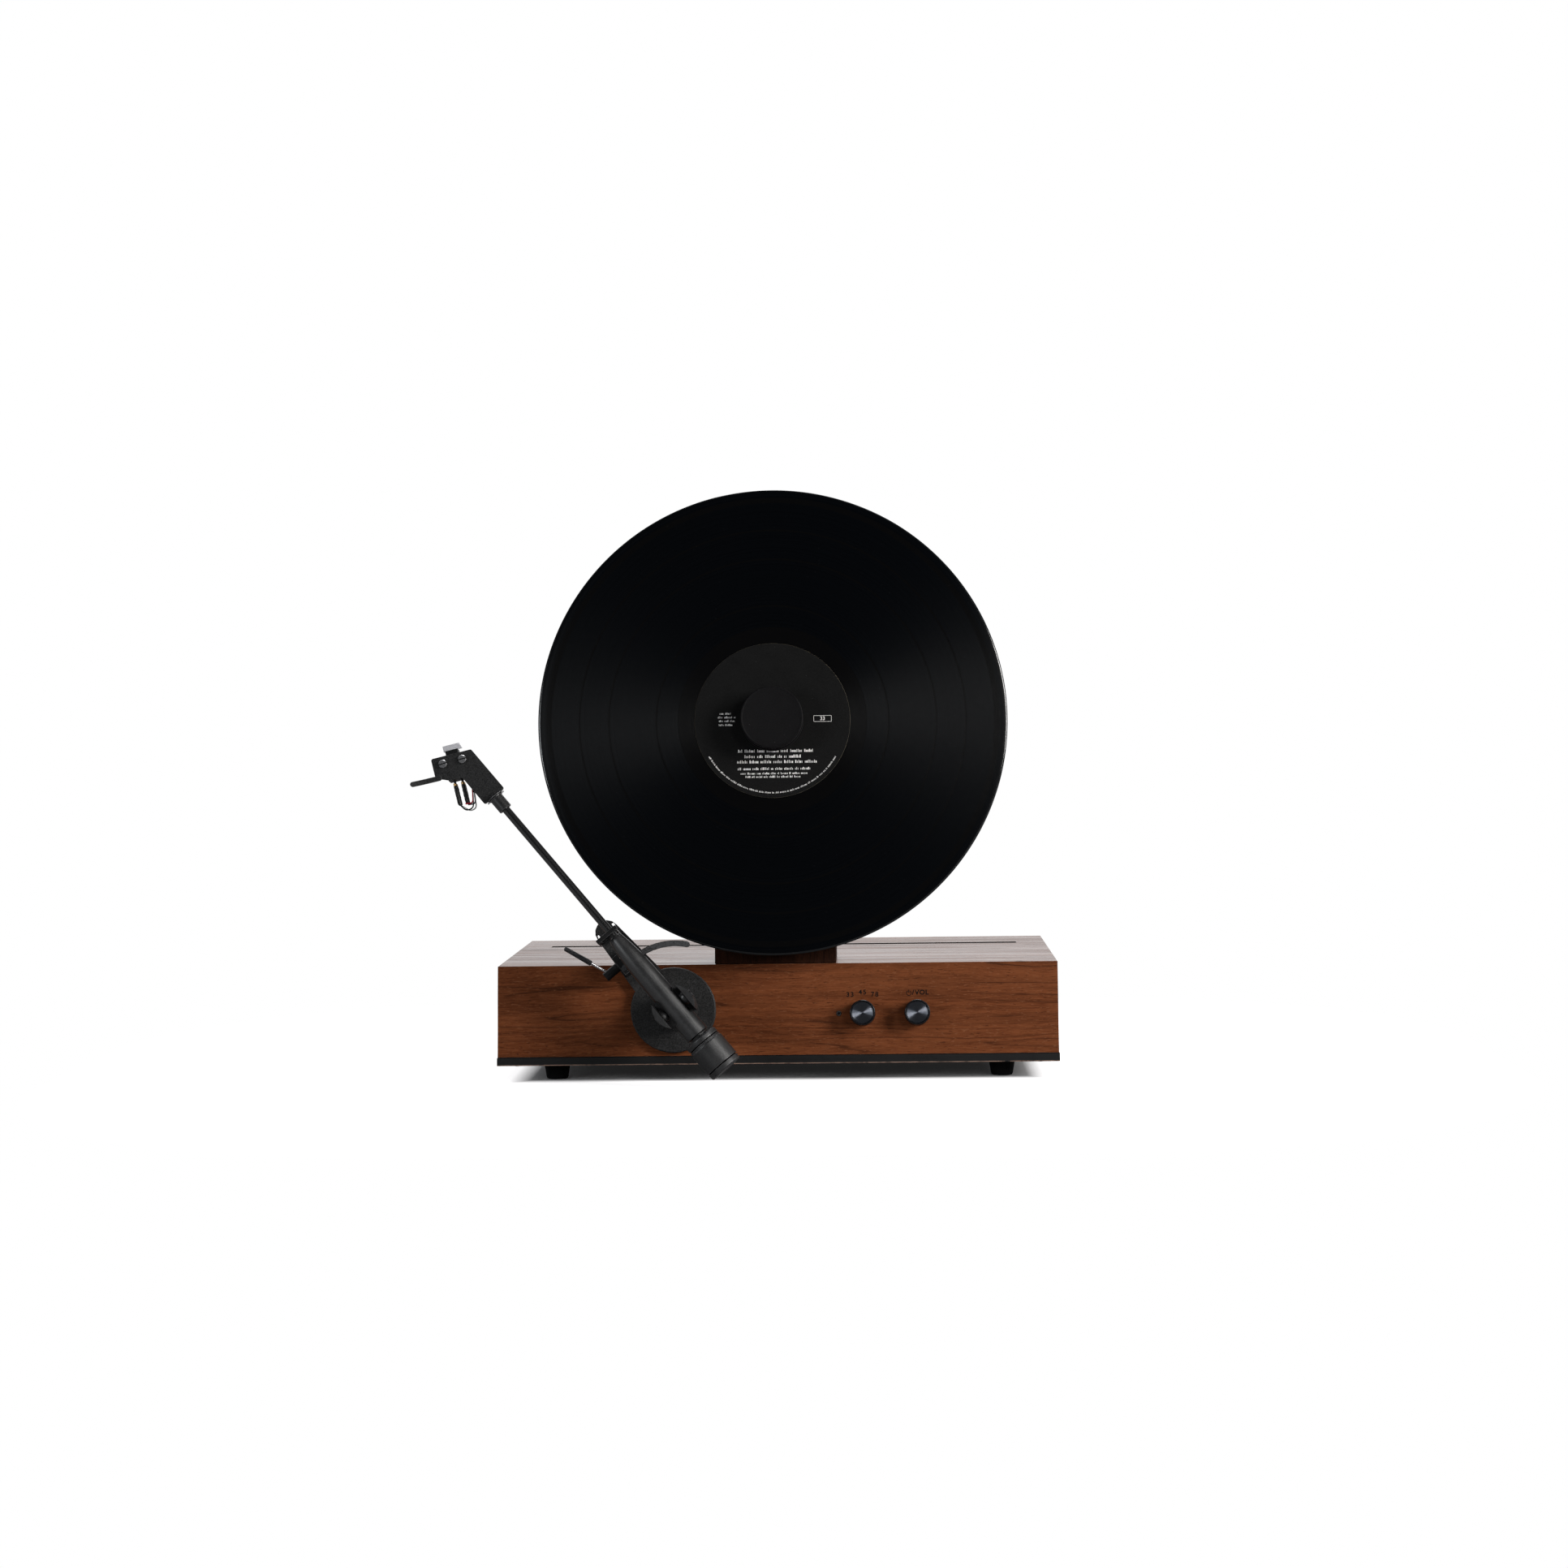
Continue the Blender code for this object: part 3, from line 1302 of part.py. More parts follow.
def build_yoke(swing, looks):
    """The yoke: a pin, a round base and two ears that hold the lift pivots."""
    base = [
        (0, yoke_floor),
        (YOKE_RADIUS, yoke_floor),
        (YOKE_RADIUS, yoke_low),
        (YOKE_PIN_RADIUS, yoke_low),
        (YOKE_PIN_RADIUS, yoke_low - YOKE_PIN_LENGTH),
        (0, yoke_low - YOKE_PIN_LENGTH),
    ]
    yoke = make_piece("gimbal_yoke", turned(base, MEDIUM_SIDES), swing, looks["black_metal"])
    top = ARM_LEVEL + YOKE_HEAD
    ears = []
    for side in (-1, 1):
        ear = prism_deck(ear_outline(side), yoke_floor - YOKE_BASE / 2, top)
        ears.append(make_piece("ear", ear, swing))
    shape_with(yoke, ears, "UNION")
    reach = YOKE_RADIUS + OVERRUN
    hole = rod(PIVOT_SCREW_RADIUS + GAP, -reach, reach, SMALL_SIDES, "X")
    shape_with(yoke, [make_piece("pivot_hole", hole, swing, None, (0, 0, ARM_LEVEL))])
    build_pivot_screws(swing, looks)


def build_pivot_screws(swing, looks):
    """Two pivot screws reach from the ears to the wand's flats."""
    flat = HOUSING_FLAT + GAP
    inner = YOKE_EAR_INNER - GAP
    outer = YOKE_RADIUS + PIVOT_PROUD
    profile = [
        (0, outer),
        (PIVOT_SCREW_RADIUS, outer),
        (PIVOT_SCREW_RADIUS, inner),
        (PIVOT_CUP_RADIUS, inner),
        (PIVOT_CUP_RADIUS, (inner + flat) / 2),
        (PIVOT_CUP_RADIUS * PIVOT_CONE_SHARE, flat),
        (PIVOT_POINT_RADIUS, flat),
        (PIVOT_POINT_RADIUS, flat - PIVOT_POINT_LENGTH),
        (0, flat - PIVOT_POINT_LENGTH),
    ]
    for name, side in (("pivot_screw_left", -1), ("pivot_screw_right", 1)):
        mirrored = [(radius, side * reach) for radius, reach in profile]
        screw = turned(mirrored, SMALL_SIDES, "X")
        make_piece(name, screw, swing, looks["steel"], (0, 0, ARM_LEVEL))


def housing_outer():
    """Return the wand housing's outer profile: a curved nose, then a slow taper to the rear."""
    steps = 8
    points = []
    for index in range(steps + 1):
        share = index / steps
        growth = 1 - (1 - share) ** HOUSING_NOSE_POWER
        radius = HOUSING_FRONT_RADIUS + (HOUSING_FULL_RADIUS - HOUSING_FRONT_RADIUS) * growth
        points.append((radius, HOUSING_FRONT - HOUSING_NOSE * share))
    points.append((HOUSING_REAR_RADIUS, -HOUSING_REAR))
    return points


def build_housing(lift, looks):
    """The wand's housing, bored at both ends, with flats for the pivots."""
    tube_bore = TUBE_RADIUS + GAP
    plug_bore = STUB_PLUG_RADIUS + GAP
    plug_floor = -HOUSING_REAR + STUB_PLUG_LENGTH + GAP
    tube_floor = HOUSING_FRONT - HOUSING_BORE_DEPTH
    profile = [(0, tube_floor), (tube_bore, tube_floor), (tube_bore, HOUSING_FRONT)]
    profile += housing_outer()
    profile += [(plug_bore, -HOUSING_REAR), (plug_bore, plug_floor), (0, plug_floor)]
    shape = turned(profile, MEDIUM_SIDES, "Y")
    housing = make_piece("arm_housing", shape, lift, looks["black_metal"])
    cutters = []
    reach = HOUSING_FLAT_REACH
    tall = HOUSING_REAR_RADIUS + OVERRUN
    for side in (-1, 1):
        x_range = sorted((side * HOUSING_FLAT, side * (HOUSING_REAR_RADIUS + OVERRUN)))
        cutters.append(make_piece("flat", box(x_range, (-reach, reach), (-tall, tall)), lift))
        floor = side * (HOUSING_FLAT - PIVOT_POINT_LENGTH)
        start, end = sorted((floor, side * (HOUSING_FLAT + OVERRUN / 2)))
        point = rod(PIVOT_POINT_RADIUS + GAP, start, end, TINY_SIDES, "X")
        cutters.append(make_piece("pivot_seat", point, lift))
    shape_with(housing, cutters)


def build_tube(lift, looks):
    """The straight wand tube and the collar that joins it to the headshell."""
    start = HOUSING_FRONT - HOUSING_BORE_DEPTH + GAP
    end = COLLAR_START + TUBE_IN_COLLAR
    tube = rod(TUBE_RADIUS, start, end, SMALL_SIDES, "Y")
    make_piece("arm_tube", tube, lift, looks["gloss_black"])
    collar_end = COLLAR_START + COLLAR_LENGTH
    bore = TUBE_RADIUS + GAP
    lip = COLLAR_RADIUS + COLLAR_LIP
    lip_start = collar_end - COLLAR_LIP_WIDTH
    profile = [
        (bore, COLLAR_START),
        (COLLAR_RADIUS, COLLAR_START),
        (COLLAR_RADIUS, lip_start),
        (lip, lip_start),
        (lip, collar_end),
        (bore, collar_end),
    ]
    make_piece("shell_collar", turned(profile, MEDIUM_SIDES, "Y"), lift, looks["black_metal"])


def shell_outline():
    """Return the headshell's outline: a straight neck, then a face turned by the offset angle."""
    side = math.cos(SHELL_OFFSET_ANGLE)
    fore = math.sin(SHELL_OFFSET_ANGLE)
    corner = Vector((SHELL_RIGHT, SHELL_CORNER))
    across = Vector((-side, fore))
    behind = Vector((-fore, -side))
    far = corner + across * SHELL_FACE_WIDTH
    far_rear = far + behind * (SHELL_FACE_DEPTH - SHELL_CHAMFER_DEPTH)
    chamfer = far + behind * SHELL_FACE_DEPTH - across * SHELL_CHAMFER_WIDTH
    line = corner + behind * SHELL_FACE_DEPTH
    notch = line + across * ((-SHELL_LEFT - line.x) / across.x)
    return [
        (-SHELL_LEFT, SHELL_START),
        (SHELL_RIGHT, SHELL_START),
        tuple(corner),
        tuple(far),
        tuple(far_rear),
        tuple(chamfer),
        tuple(notch),
    ]


def cartridge_place():
    """Return the point midway between the cartridge's screws, in the arm's frame."""
    side = math.cos(SHELL_OFFSET_ANGLE)
    fore = math.sin(SHELL_OFFSET_ANGLE)
    corner = Vector((SHELL_RIGHT, SHELL_CORNER))
    across = Vector((-side, fore))
    behind = Vector((-fore, -side))
    return corner + across * (SHELL_FACE_WIDTH / 2) + behind * CARTRIDGE_SCREW_SETBACK


def screw_sides():
    """Return where the two cartridge screws stand across the headshell."""
    return (-CARTRIDGE_SCREW_SPACING / 2, CARTRIDGE_SCREW_SPACING / 2)


def build_headshell(lift, cartridge, looks):
    """The flat headshell with its boss, the plug in the collar, and two screw holes."""
    low = shell_low - ARM_LEVEL
    top = shell_top - ARM_LEVEL
    outline = rounded(shell_outline(), SHELL_CORNER_RADIUS)
    shell = make_piece("headshell", prism_deck(outline, low, top), lift, looks["black_metal"])
    plug_start = COLLAR_START + TUBE_IN_COLLAR + GAP
    boss_end = SHELL_START + SHELL_BOSS_LENGTH
    brim = math.asin(top / SHELL_BOSS_RADIUS)
    under = arc_points((0, 0), SHELL_BOSS_RADIUS, brim, -math.pi - brim, SMALL_SIDES)
    boss = make_piece("boss", prism(under, SHELL_START, boss_end, "Y"), lift)
    plug = rod(TUBE_RADIUS, plug_start, SHELL_START + SHELL_BOSS_LENGTH / 2, MEDIUM_SIDES, "Y")
    shape_with(shell, [boss, make_piece("plug", plug, lift)], "UNION")
    holes = []
    for side in screw_sides():
        hole = rod(CARTRIDGE_SCREW_RADIUS + GAP, low - OVERRUN, top + OVERRUN, TINY_SIDES)
        holes.append(make_piece("screw_hole", hole, cartridge, None, (side, 0, 0)))
    shape_with(shell, holes)


def build_finger_lift(cartridge, looks):
    """A bar with round ends on the headshell's far corner, bent up a little at its tip."""
    low = shell_top + GAP - ARM_LEVEL
    half = FINGER_WIDTH / 2
    root = -SHELL_FACE_WIDTH / 2 + FINGER_ROOT
    steps = 6
    centre = -(FINGER_SETBACK - CARTRIDGE_SCREW_SETBACK)
    lower = []
    upper = []
    for index in range(steps + 1):
        share = index / steps
        x = root - FINGER_LENGTH * share
        rise = FINGER_RISE * share * share
        lower.append((x, low + rise))
        upper.append((x, low + rise + FINGER_THICKNESS))
    outline = lower + upper[::-1]
    shape = prism(outline, centre - half, centre + half, "Y")
    bar = make_piece("finger_lift", shape, cartridge, looks["black_metal"])
    trim_start = root - FINGER_LENGTH + half
    plan = arc_points((root - half, centre), half, -math.pi / 2, math.pi / 2, 6)
    plan += arc_points((trim_start, centre), half, math.pi / 2, math.pi * 1.5, 6)
    keep = prism_deck(plan, low - OVERRUN, low + FINGER_RISE + OVERRUN * 2)
    shape_with(bar, [make_piece("plan", keep, cartridge)], "INTERSECT")


def build_cartridge_screws(cartridge, looks):
    """Two slotted screws hold the cartridge under the headshell."""
    seat = shell_top + GAP - ARM_LEVEL
    head = seat + CARTRIDGE_SCREW_HEAD_HEIGHT
    end = shell_low - GAP - CARTRIDGE_FLANGE_THICKNESS / 2 - ARM_LEVEL
    shape = [
        (0, head),
        (CARTRIDGE_SCREW_HEAD_RADIUS, head),
        (CARTRIDGE_SCREW_HEAD_RADIUS, seat),
        (CARTRIDGE_SCREW_RADIUS, seat),
        (CARTRIDGE_SCREW_RADIUS, end),
        (0, end),
    ]
    half = CARTRIDGE_SCREW_SLOT / 2
    reach = CARTRIDGE_SCREW_HEAD_RADIUS + OVERRUN / 2
    slot_floor = head - CARTRIDGE_SCREW_HEAD_HEIGHT / 2
    names = ("cartridge_screw_left", "cartridge_screw_right")
    for name, side in zip(names, screw_sides()):
        place = (side, 0, 0)
        screw = make_piece(name, turned(shape, SMALL_SIDES), cartridge, looks["steel"], place)
        slot = box((-reach, reach), (-half, half), (slot_floor, head + OVERRUN))
        shape_with(screw, [make_piece("slot", slot, cartridge, None, place)])


def build_cartridge(cartridge, looks):
    """The cartridge body: mounting flange, block and four pins at its rear."""
    top = shell_low - GAP - ARM_LEVEL
    wide = CARTRIDGE_FLANGE_HALF_WIDTH
    deep = CARTRIDGE_FLANGE_HALF_DEPTH
    flange = box((-wide, wide), (-deep, deep), (top - CARTRIDGE_FLANGE_THICKNESS, top))
    body = make_piece("cartridge_body", flange, cartridge, looks["black_plastic"])
    half = CARTRIDGE_HALF_WIDTH
    low = top - CARTRIDGE_HEIGHT
    block = box((-half, half), (-CARTRIDGE_REAR, CARTRIDGE_FRONT), (low, top))
    tools = [make_piece("block", block, cartridge)]
    pin_end = -CARTRIDGE_REAR - CARTRIDGE_PIN_LENGTH
    pin_root = -CARTRIDGE_REAR + CARTRIDGE_PIN_LENGTH / 2
    for x, z in pin_places():
        pin = rod(CARTRIDGE_PIN_RADIUS, pin_end, pin_root, TINY_SIDES, "Y")
        tools.append(make_piece("pin", pin, cartridge, None, (x, 0, z)))
    shape_with(body, tools, "UNION")
    holes = []
    hole_low = top - CARTRIDGE_FLANGE_THICKNESS - OVERRUN
    for side in screw_sides():
        hole = rod(CARTRIDGE_SCREW_RADIUS + GAP, hole_low, top + OVERRUN, TINY_SIDES)
        holes.append(make_piece("hole", hole, cartridge, None, (side, 0, 0)))
    shape_with(body, holes)


def pin_places():
    """Return (side, level) of the cartridge's four pins."""
    top = shell_low - GAP - ARM_LEVEL - CARTRIDGE_PIN_SINK
    places = []
    for side in (-CARTRIDGE_PIN_SIDE, CARTRIDGE_PIN_SIDE):
        for row in (0, CARTRIDGE_PIN_PITCH):
            places.append((side, top - row))
    return places


def build_stylus(cartridge, looks):
    """The stylus holder, its front lip and the thin cantilever down to the tip."""
    top = shell_low - GAP - CARTRIDGE_HEIGHT - GAP - ARM_LEVEL
    low = top - STYLUS_HEIGHT
    half = STYLUS_HALF_WIDTH
    shape = box((-half, half), (-STYLUS_REAR, STYLUS_FRONT), (low, top))
    holder = make_piece("stylus_holder", shape, cartridge, looks["black_plastic"])
    lip_start = STYLUS_FRONT - STYLUS_LIP
    lip_height = (top - STYLUS_HEIGHT / 2, top + STYLUS_LIP_RISE)
    lip = box((-half, half), (lip_start, STYLUS_FRONT), lip_height)
    lip_piece = make_piece("lip", lip, cartridge)
    tip_level = record_front + STYLUS_TIP_CLEARANCE - ARM_LEVEL
    points = [
        Vector((0, STYLUS_TIP_PLACE / 2, low + CANTILEVER_RADIUS)),
        Vector((0, STYLUS_TIP_PLACE, tip_level + CANTILEVER_RADIUS * 2)),
    ]
    wand = make_piece("cantilever", swept(points, [CANTILEVER_RADIUS] * 2, TINY_SIDES), cartridge)
    tip_profile = [
        (0, tip_level),
        (CANTILEVER_RADIUS / 2, tip_level + CANTILEVER_RADIUS * 2),
        (0, tip_level + CANTILEVER_RADIUS * 3),
    ]
    place = (0, STYLUS_TIP_PLACE - CANTILEVER_RADIUS, 0)
    tip_piece = make_piece("tip", turned(tip_profile, TINY_SIDES), cartridge, None, place)
    shape_with(holder, [lip_piece, wand, tip_piece], "UNION")


def lead_route(index, side, level):
    """Return one lead's route from its pin to the bundle, in the cartridge's frame."""
    start = -CARTRIDGE_REAR - CARTRIDGE_PIN_LENGTH - GAP
    sleeve_end = start - LEAD_SLEEVE_LENGTH
    knots = [Vector((side, start, level)), Vector((side, sleeve_end, level))]
    spread = Vector(LEAD_SPREAD[index])
    for number, point in enumerate(LEAD_ROUTE):
        keep = 1 - number / len(LEAD_ROUTE)
        along_arm = Vector(point) + Vector((0, SHELL_START, 0))
        knots.append(in_cartridge_frame(along_arm + spread * keep))
    inside = bundle_start() - Vector((0, LEAD_BUNDLE_LENGTH / 2, 0))
    knots.append(in_cartridge_frame(inside + spread * LEAD_GATHER_SHARE))
    return knots


def bundle_start():
    """Return the open end of the bundle that runs back to the headshell's boss."""
    level = shell_low - GAP - LEAD_BUNDLE_RADIUS - ARM_LEVEL
    return Vector((0, SHELL_START + SHELL_BOSS_LENGTH + GAP + LEAD_BUNDLE_LENGTH, level))


def in_cartridge_frame(point):
    """Turn a point of the arm's frame into the cartridge's frame."""
    place = cartridge_place()
    turn = Matrix.Rotation(SHELL_OFFSET_ANGLE, 3, "Z")
    return turn @ (point - Vector((place.x, place.y, 0)))


def smooth_line(knots, steps):
    """Return points on a Catmull-Rom curve through the knots."""
    padded = [knots[0] * 2 - knots[1]] + knots + [knots[-1] * 2 - knots[-2]]
    points = []
    for first, second, third, fourth in zip(padded, padded[1:], padded[2:], padded[3:]):
        for step in range(steps):
            share = step / steps
            points.append(
                0.5
                * (
                    second * 2
                    + (third - first) * share
                    + (first * 2 - second * 5 + third * 4 - fourth) * share**2
                    + (second * 3 - first - third * 3 + fourth) * share**3
                )
            )
    points.append(knots[-1])
    return points


def build_leads(cartridge, looks):
    """Four leads: a sleeve on each pin, a thin wire, and the bundle that they meet in."""
    begin = in_cartridge_frame(bundle_start())
    end = in_cartridge_frame(bundle_start() - Vector((0, LEAD_BUNDLE_LENGTH, 0)))
    bundle = swept([begin, end], [LEAD_BUNDLE_RADIUS] * 2, TINY_SIDES)
    leads = make_piece("cartridge_leads", bundle, cartridge, looks["lead"])
    wires = []
    for index, (side, level) in enumerate(pin_places()):
        knots = lead_route(index, side, level)
        wire = smooth_line(knots[1:], LEAD_STEPS)
        neck = wire[0].lerp(wire[1], LEAD_NECK_SHARE)
        points = [knots[0], wire[0], neck] + wire[1:]
        radii = [LEAD_SLEEVE_RADIUS, LEAD_SLEEVE_RADIUS] + [LEAD_WIRE_RADIUS] * (len(points) - 2)
        wires.append(make_piece("wire", swept(points, radii, LEAD_SIDES), cartridge))
    shape_with(leads, wires, "UNION")


def build_counterweight(lift, weight, looks):
    """Stub behind the housing, the bush that slides on it, and the counterweight."""
    rear = -HOUSING_REAR - GAP
    neck_end = rear - STUB_NECK_LENGTH
    thread_end = neck_end - STUB_THREAD_LENGTH
    stub = [
        (0, rear + STUB_PLUG_LENGTH),
        (STUB_PLUG_RADIUS, rear + STUB_PLUG_LENGTH),
        (STUB_PLUG_RADIUS, rear),
        (STUB_NECK_RADIUS, rear),
        (STUB_NECK_RADIUS, neck_end),
        (STUB_THREAD_RADIUS, neck_end),
        (STUB_THREAD_RADIUS, thread_end),
        (0, thread_end),
    ]
    make_piece("rear_stub", turned(stub, MEDIUM_SIDES, "Y"), lift, looks["black_metal"])
    front = neck_end - GAP
    bush_inner = STUB_THREAD_RADIUS + GAP
    bush_outer = bush_inner + BUSH_WALL
    bush_front = front - BUSH_SETBACK
    bush_end = bush_front - BUSH_LENGTH
    bush = [
        (bush_inner, bush_front),
        (bush_outer, bush_front),
        (bush_outer, bush_end),
        (bush_inner, bush_end),
    ]
    make_piece("weight_bush", turned(bush, MEDIUM_SIDES, "Y"), weight, looks["nylon"])
    end = front - WEIGHT_LENGTH
    bore = bush_outer + GAP
    groove_one = front - WEIGHT_FRONT_RING
    second_ring = groove_one - WEIGHT_GROOVE
    body = second_ring - WEIGHT_SECOND_RING
    rear_ring = end + WEIGHT_REAR_RING
    weight_profile = [
        (bore, front),
        (WEIGHT_RING_RADIUS - WEIGHT_BEVEL, front),
        (WEIGHT_RING_RADIUS, front - WEIGHT_BEVEL),
        (WEIGHT_RING_RADIUS, groove_one),
        (WEIGHT_GROOVE_RADIUS, groove_one),
        (WEIGHT_GROOVE_RADIUS, second_ring),
        (WEIGHT_RING_RADIUS, second_ring),
        (WEIGHT_RING_RADIUS, body),
        (WEIGHT_RADIUS, body - WEIGHT_BEVEL / 2),
        (WEIGHT_RADIUS, rear_ring + WEIGHT_GROOVE),
        (WEIGHT_GROOVE_RADIUS, rear_ring + WEIGHT_GROOVE),
        (WEIGHT_GROOVE_RADIUS, rear_ring),
        (WEIGHT_RING_RADIUS, rear_ring),
        (WEIGHT_RING_RADIUS, end + WEIGHT_BEVEL),
        (WEIGHT_RING_RADIUS - WEIGHT_BEVEL, end),
        (0, end),
        (0, end + WEIGHT_END_WALL),
        (bore, end + WEIGHT_END_WALL),
    ]
    split = [index for index, point in enumerate(weight_profile) if point[0] == 0]
    ordered = weight_profile[split[1]:] + weight_profile[:split[1]]
    shape = turned(ordered, MEDIUM_SIDES, "Y")
    make_piece("counterweight", shape, weight, looks["black_metal"])


def build_cue(arm, looks):
    """Cueing: a block on the rest, a lever at its left and the curved lift bar."""
    foot = GAP + DISC_THICKNESS + GAP
    y_range = (CUE_PLACE - CUE_BLOCK_REAR, CUE_PLACE + CUE_BLOCK_FRONT)
    shape = box((-CUE_BLOCK_LEFT, CUE_BLOCK_RIGHT), y_range, (foot, CUE_BLOCK_TOP))
    block = make_piece("cue_block", shape, arm, looks["black_plastic"])
    plunger = plunger_place()
    bore_end = CUE_BLOCK_TOP + OVERRUN
    bore = rod(LIFT_PLUNGER_RADIUS + GAP, LIFT_PLUNGER_FOOT - GAP, bore_end, SMALL_SIDES)
    cutters = [make_piece("plunger_bore", moved(bore, plunger), arm)]
    stem_end = -CUE_BLOCK_LEFT + CUE_STEM_LENGTH
    stem = rod(CUE_STEM_RADIUS + GAP, -CUE_BLOCK_LEFT - OVERRUN, stem_end + GAP, TINY_SIDES, "X")
    cutters.append(make_piece("stem_bore", moved(stem, Vector((0, CUE_PLACE, CUE_LEVEL))), arm))
    shape_with(block, cutters)
    build_cue_lever(arm, stem_end, looks)
    build_cue_lift(arm, plunger, looks)


def plunger_place():
    """Return where the lift bar's plunger stands."""
    angle = math.pi / 2 + LIFT_PLUNGER_ANGLE
    return Vector((LIFT_RADIUS * math.cos(angle), LIFT_RADIUS * math.sin(angle), 0))


def rod_direction():
    """Return the cue rod's direction in the arm's frame."""
    flat = math.cos(CUE_ROD_RISE)
    side = -flat * math.sin(CUE_ROD_SWAY)
    return Vector((side, flat * math.cos(CUE_ROD_SWAY), math.sin(CUE_ROD_RISE)))


def build_cue_lever(arm, stem_end, looks):
    """The lever: a cross shaft, a thin rod and the sleeve on its end."""
    axis = make_frame("cue_axis", arm, (0, CUE_PLACE, CUE_LEVEL))
    near = -CUE_BLOCK_LEFT - GAP
    profile = [
        (0, stem_end),
        (CUE_STEM_RADIUS, stem_end),
        (CUE_STEM_RADIUS, near),
        (CUE_SHAFT_RADIUS, near),
        (CUE_SHAFT_RADIUS, -CUE_SHAFT_END),
        (0, -CUE_SHAFT_END),
    ]
    lever = make_piece("cue_lever", turned(profile, SMALL_SIDES, "X"), axis, looks["steel"])
    start = Vector((-CUE_ROD_SIDE, 0, 0))
    direction = rod_direction()
    end = start + direction * CUE_ROD_LENGTH
    thin = make_piece("rod", swept([start, end], [CUE_ROD_RADIUS] * 2, SMALL_SIDES), axis)
    shape_with(lever, [thin], "UNION")
    sleeve_start = CUE_ROD_LENGTH + GAP * 2 - CUE_HANDLE_LENGTH
    spin = Vector((0, 0, 1)).rotation_difference(direction).to_matrix().to_4x4()
    bore = CUE_ROD_RADIUS + GAP
    tip = CUE_ROD_LENGTH + GAP + CUE_HANDLE_TIP_RADIUS
    sleeve = [
        (0, CUE_ROD_LENGTH + GAP),
        (bore, CUE_ROD_LENGTH + GAP),
        (bore, sleeve_start),
        (CUE_HANDLE_RADIUS, sleeve_start),
        (CUE_HANDLE_TIP_RADIUS, tip - GAP),
        (CUE_HANDLE_TIP_RADIUS - GAP, tip),
        (0, tip),
    ]
    shape = placed(turned(sleeve, SMALL_SIDES), Matrix.Translation(start) @ spin)
    make_piece("cue_handle", shape, axis, looks["black_rubber"])


def build_cue_lift(arm, plunger, looks):
    """The lift bar is an arc round the pivot, on a plunger in the block."""
    top = ARM_LEVEL - housing_radius(LIFT_RADIUS) - LIFT_CLEARANCE
    low = top - LIFT_THICKNESS
    start = math.pi / 2 + LIFT_START
    end = math.pi / 2 - LIFT_END
    outline = arc_points((0, 0), LIFT_RADIUS + LIFT_HALF_WIDTH, start, end, LIFT_BAR_SIDES)
    outline += round_end(end, end, end - math.pi)
    outline += arc_points((0, 0), LIFT_RADIUS - LIFT_HALF_WIDTH, end, start, LIFT_BAR_SIDES)
    outline += round_end(start, start + math.pi, start)
    bar = make_piece("cue_lift", prism_deck(outline, low, top), arm, looks["grey_rubber"])
    stem = rod(LIFT_PLUNGER_RADIUS, LIFT_PLUNGER_FOOT, low + LIFT_THICKNESS / 2, SMALL_SIDES)
    shape_with(bar, [make_piece("plunger", stem, arm, None, plunger)], "UNION")


def round_end(place, first, last):
    """Return the points of the lift bar's round end at an angle, without its two corners."""
    centre = (LIFT_RADIUS * math.cos(place), LIFT_RADIUS * math.sin(place))
    return arc_points(centre, LIFT_HALF_WIDTH, first, last, TINY_SIDES // 2)[1:-1]


def housing_radius(place):
    """Return the wand housing's radius at a place along it."""
    share = max((HOUSING_FRONT - place) / HOUSING_NOSE, 0)
    growth = 1 - (1 - share) ** HOUSING_NOSE_POWER
    return HOUSING_FRONT_RADIUS + (HOUSING_FULL_RADIUS - HOUSING_FRONT_RADIUS) * growth


def shade(pieces):
    """Shade round pieces smooth and keep their real edges sharp."""
    for piece in pieces:
        piece.data.shade_smooth()
        piece.data.set_sharp_from_angle(angle=math.radians(38))


def stand_on_origin(root, pieces):
    """Move the whole model so that its box stands on the origin."""
    bpy.context.view_layer.update()
    corners = []
    for piece in pieces:
        for vertex in piece.data.vertices:
            corners.append(piece.matrix_world @ vertex.co)
    middle_x = (min(point.x for point in corners) + max(point.x for point in corners)) / 2
    middle_y = (min(point.y for point in corners) + max(point.y for point in corners)) / 2
    root.location = (-middle_x, -middle_y, 0)
    bpy.context.view_layer.update()


def build_case(root, deck, looks):
    """Build the wooden case with everything that fastens to it."""
    front, lid = build_front_and_top(root, looks)
    build_sides(root, looks)
    bottom = build_bottom(root, looks)
    rear = build_rear(root, looks)
    build_trough(root, looks)
    foot_holes = build_feet(root, looks)
    shell = build_post(deck, looks)
    bolt_holes = build_post_bolts(root, looks)
    build_board(root, looks)
    socket_holes = build_sockets(root, looks)
    slot = box(
        (-SLOT_LENGTH / 2, SLOT_LENGTH / 2),
        (SLOT_SETBACK, SLOT_SETBACK + SLOT_WIDTH),
        (top_low - OVERRUN, CASE_TOP + OVERRUN),
    )
    shape_with(lid, [make_piece("slot", slot, root)])
    return {
        "front": front,
        "top": lid,
        "bottom": bottom,
        "rear": rear,
        "shell": shell,
        "foot_holes": foot_holes,
        "bolt_holes": bolt_holes,
        "socket_holes": socket_holes,
    }


def copy_of(piece):
    """Return a second cutter of the same shape and place."""
    twin = piece.copy()
    twin.data = piece.data.copy()
    bpy.context.collection.objects.link(twin)
    return twin


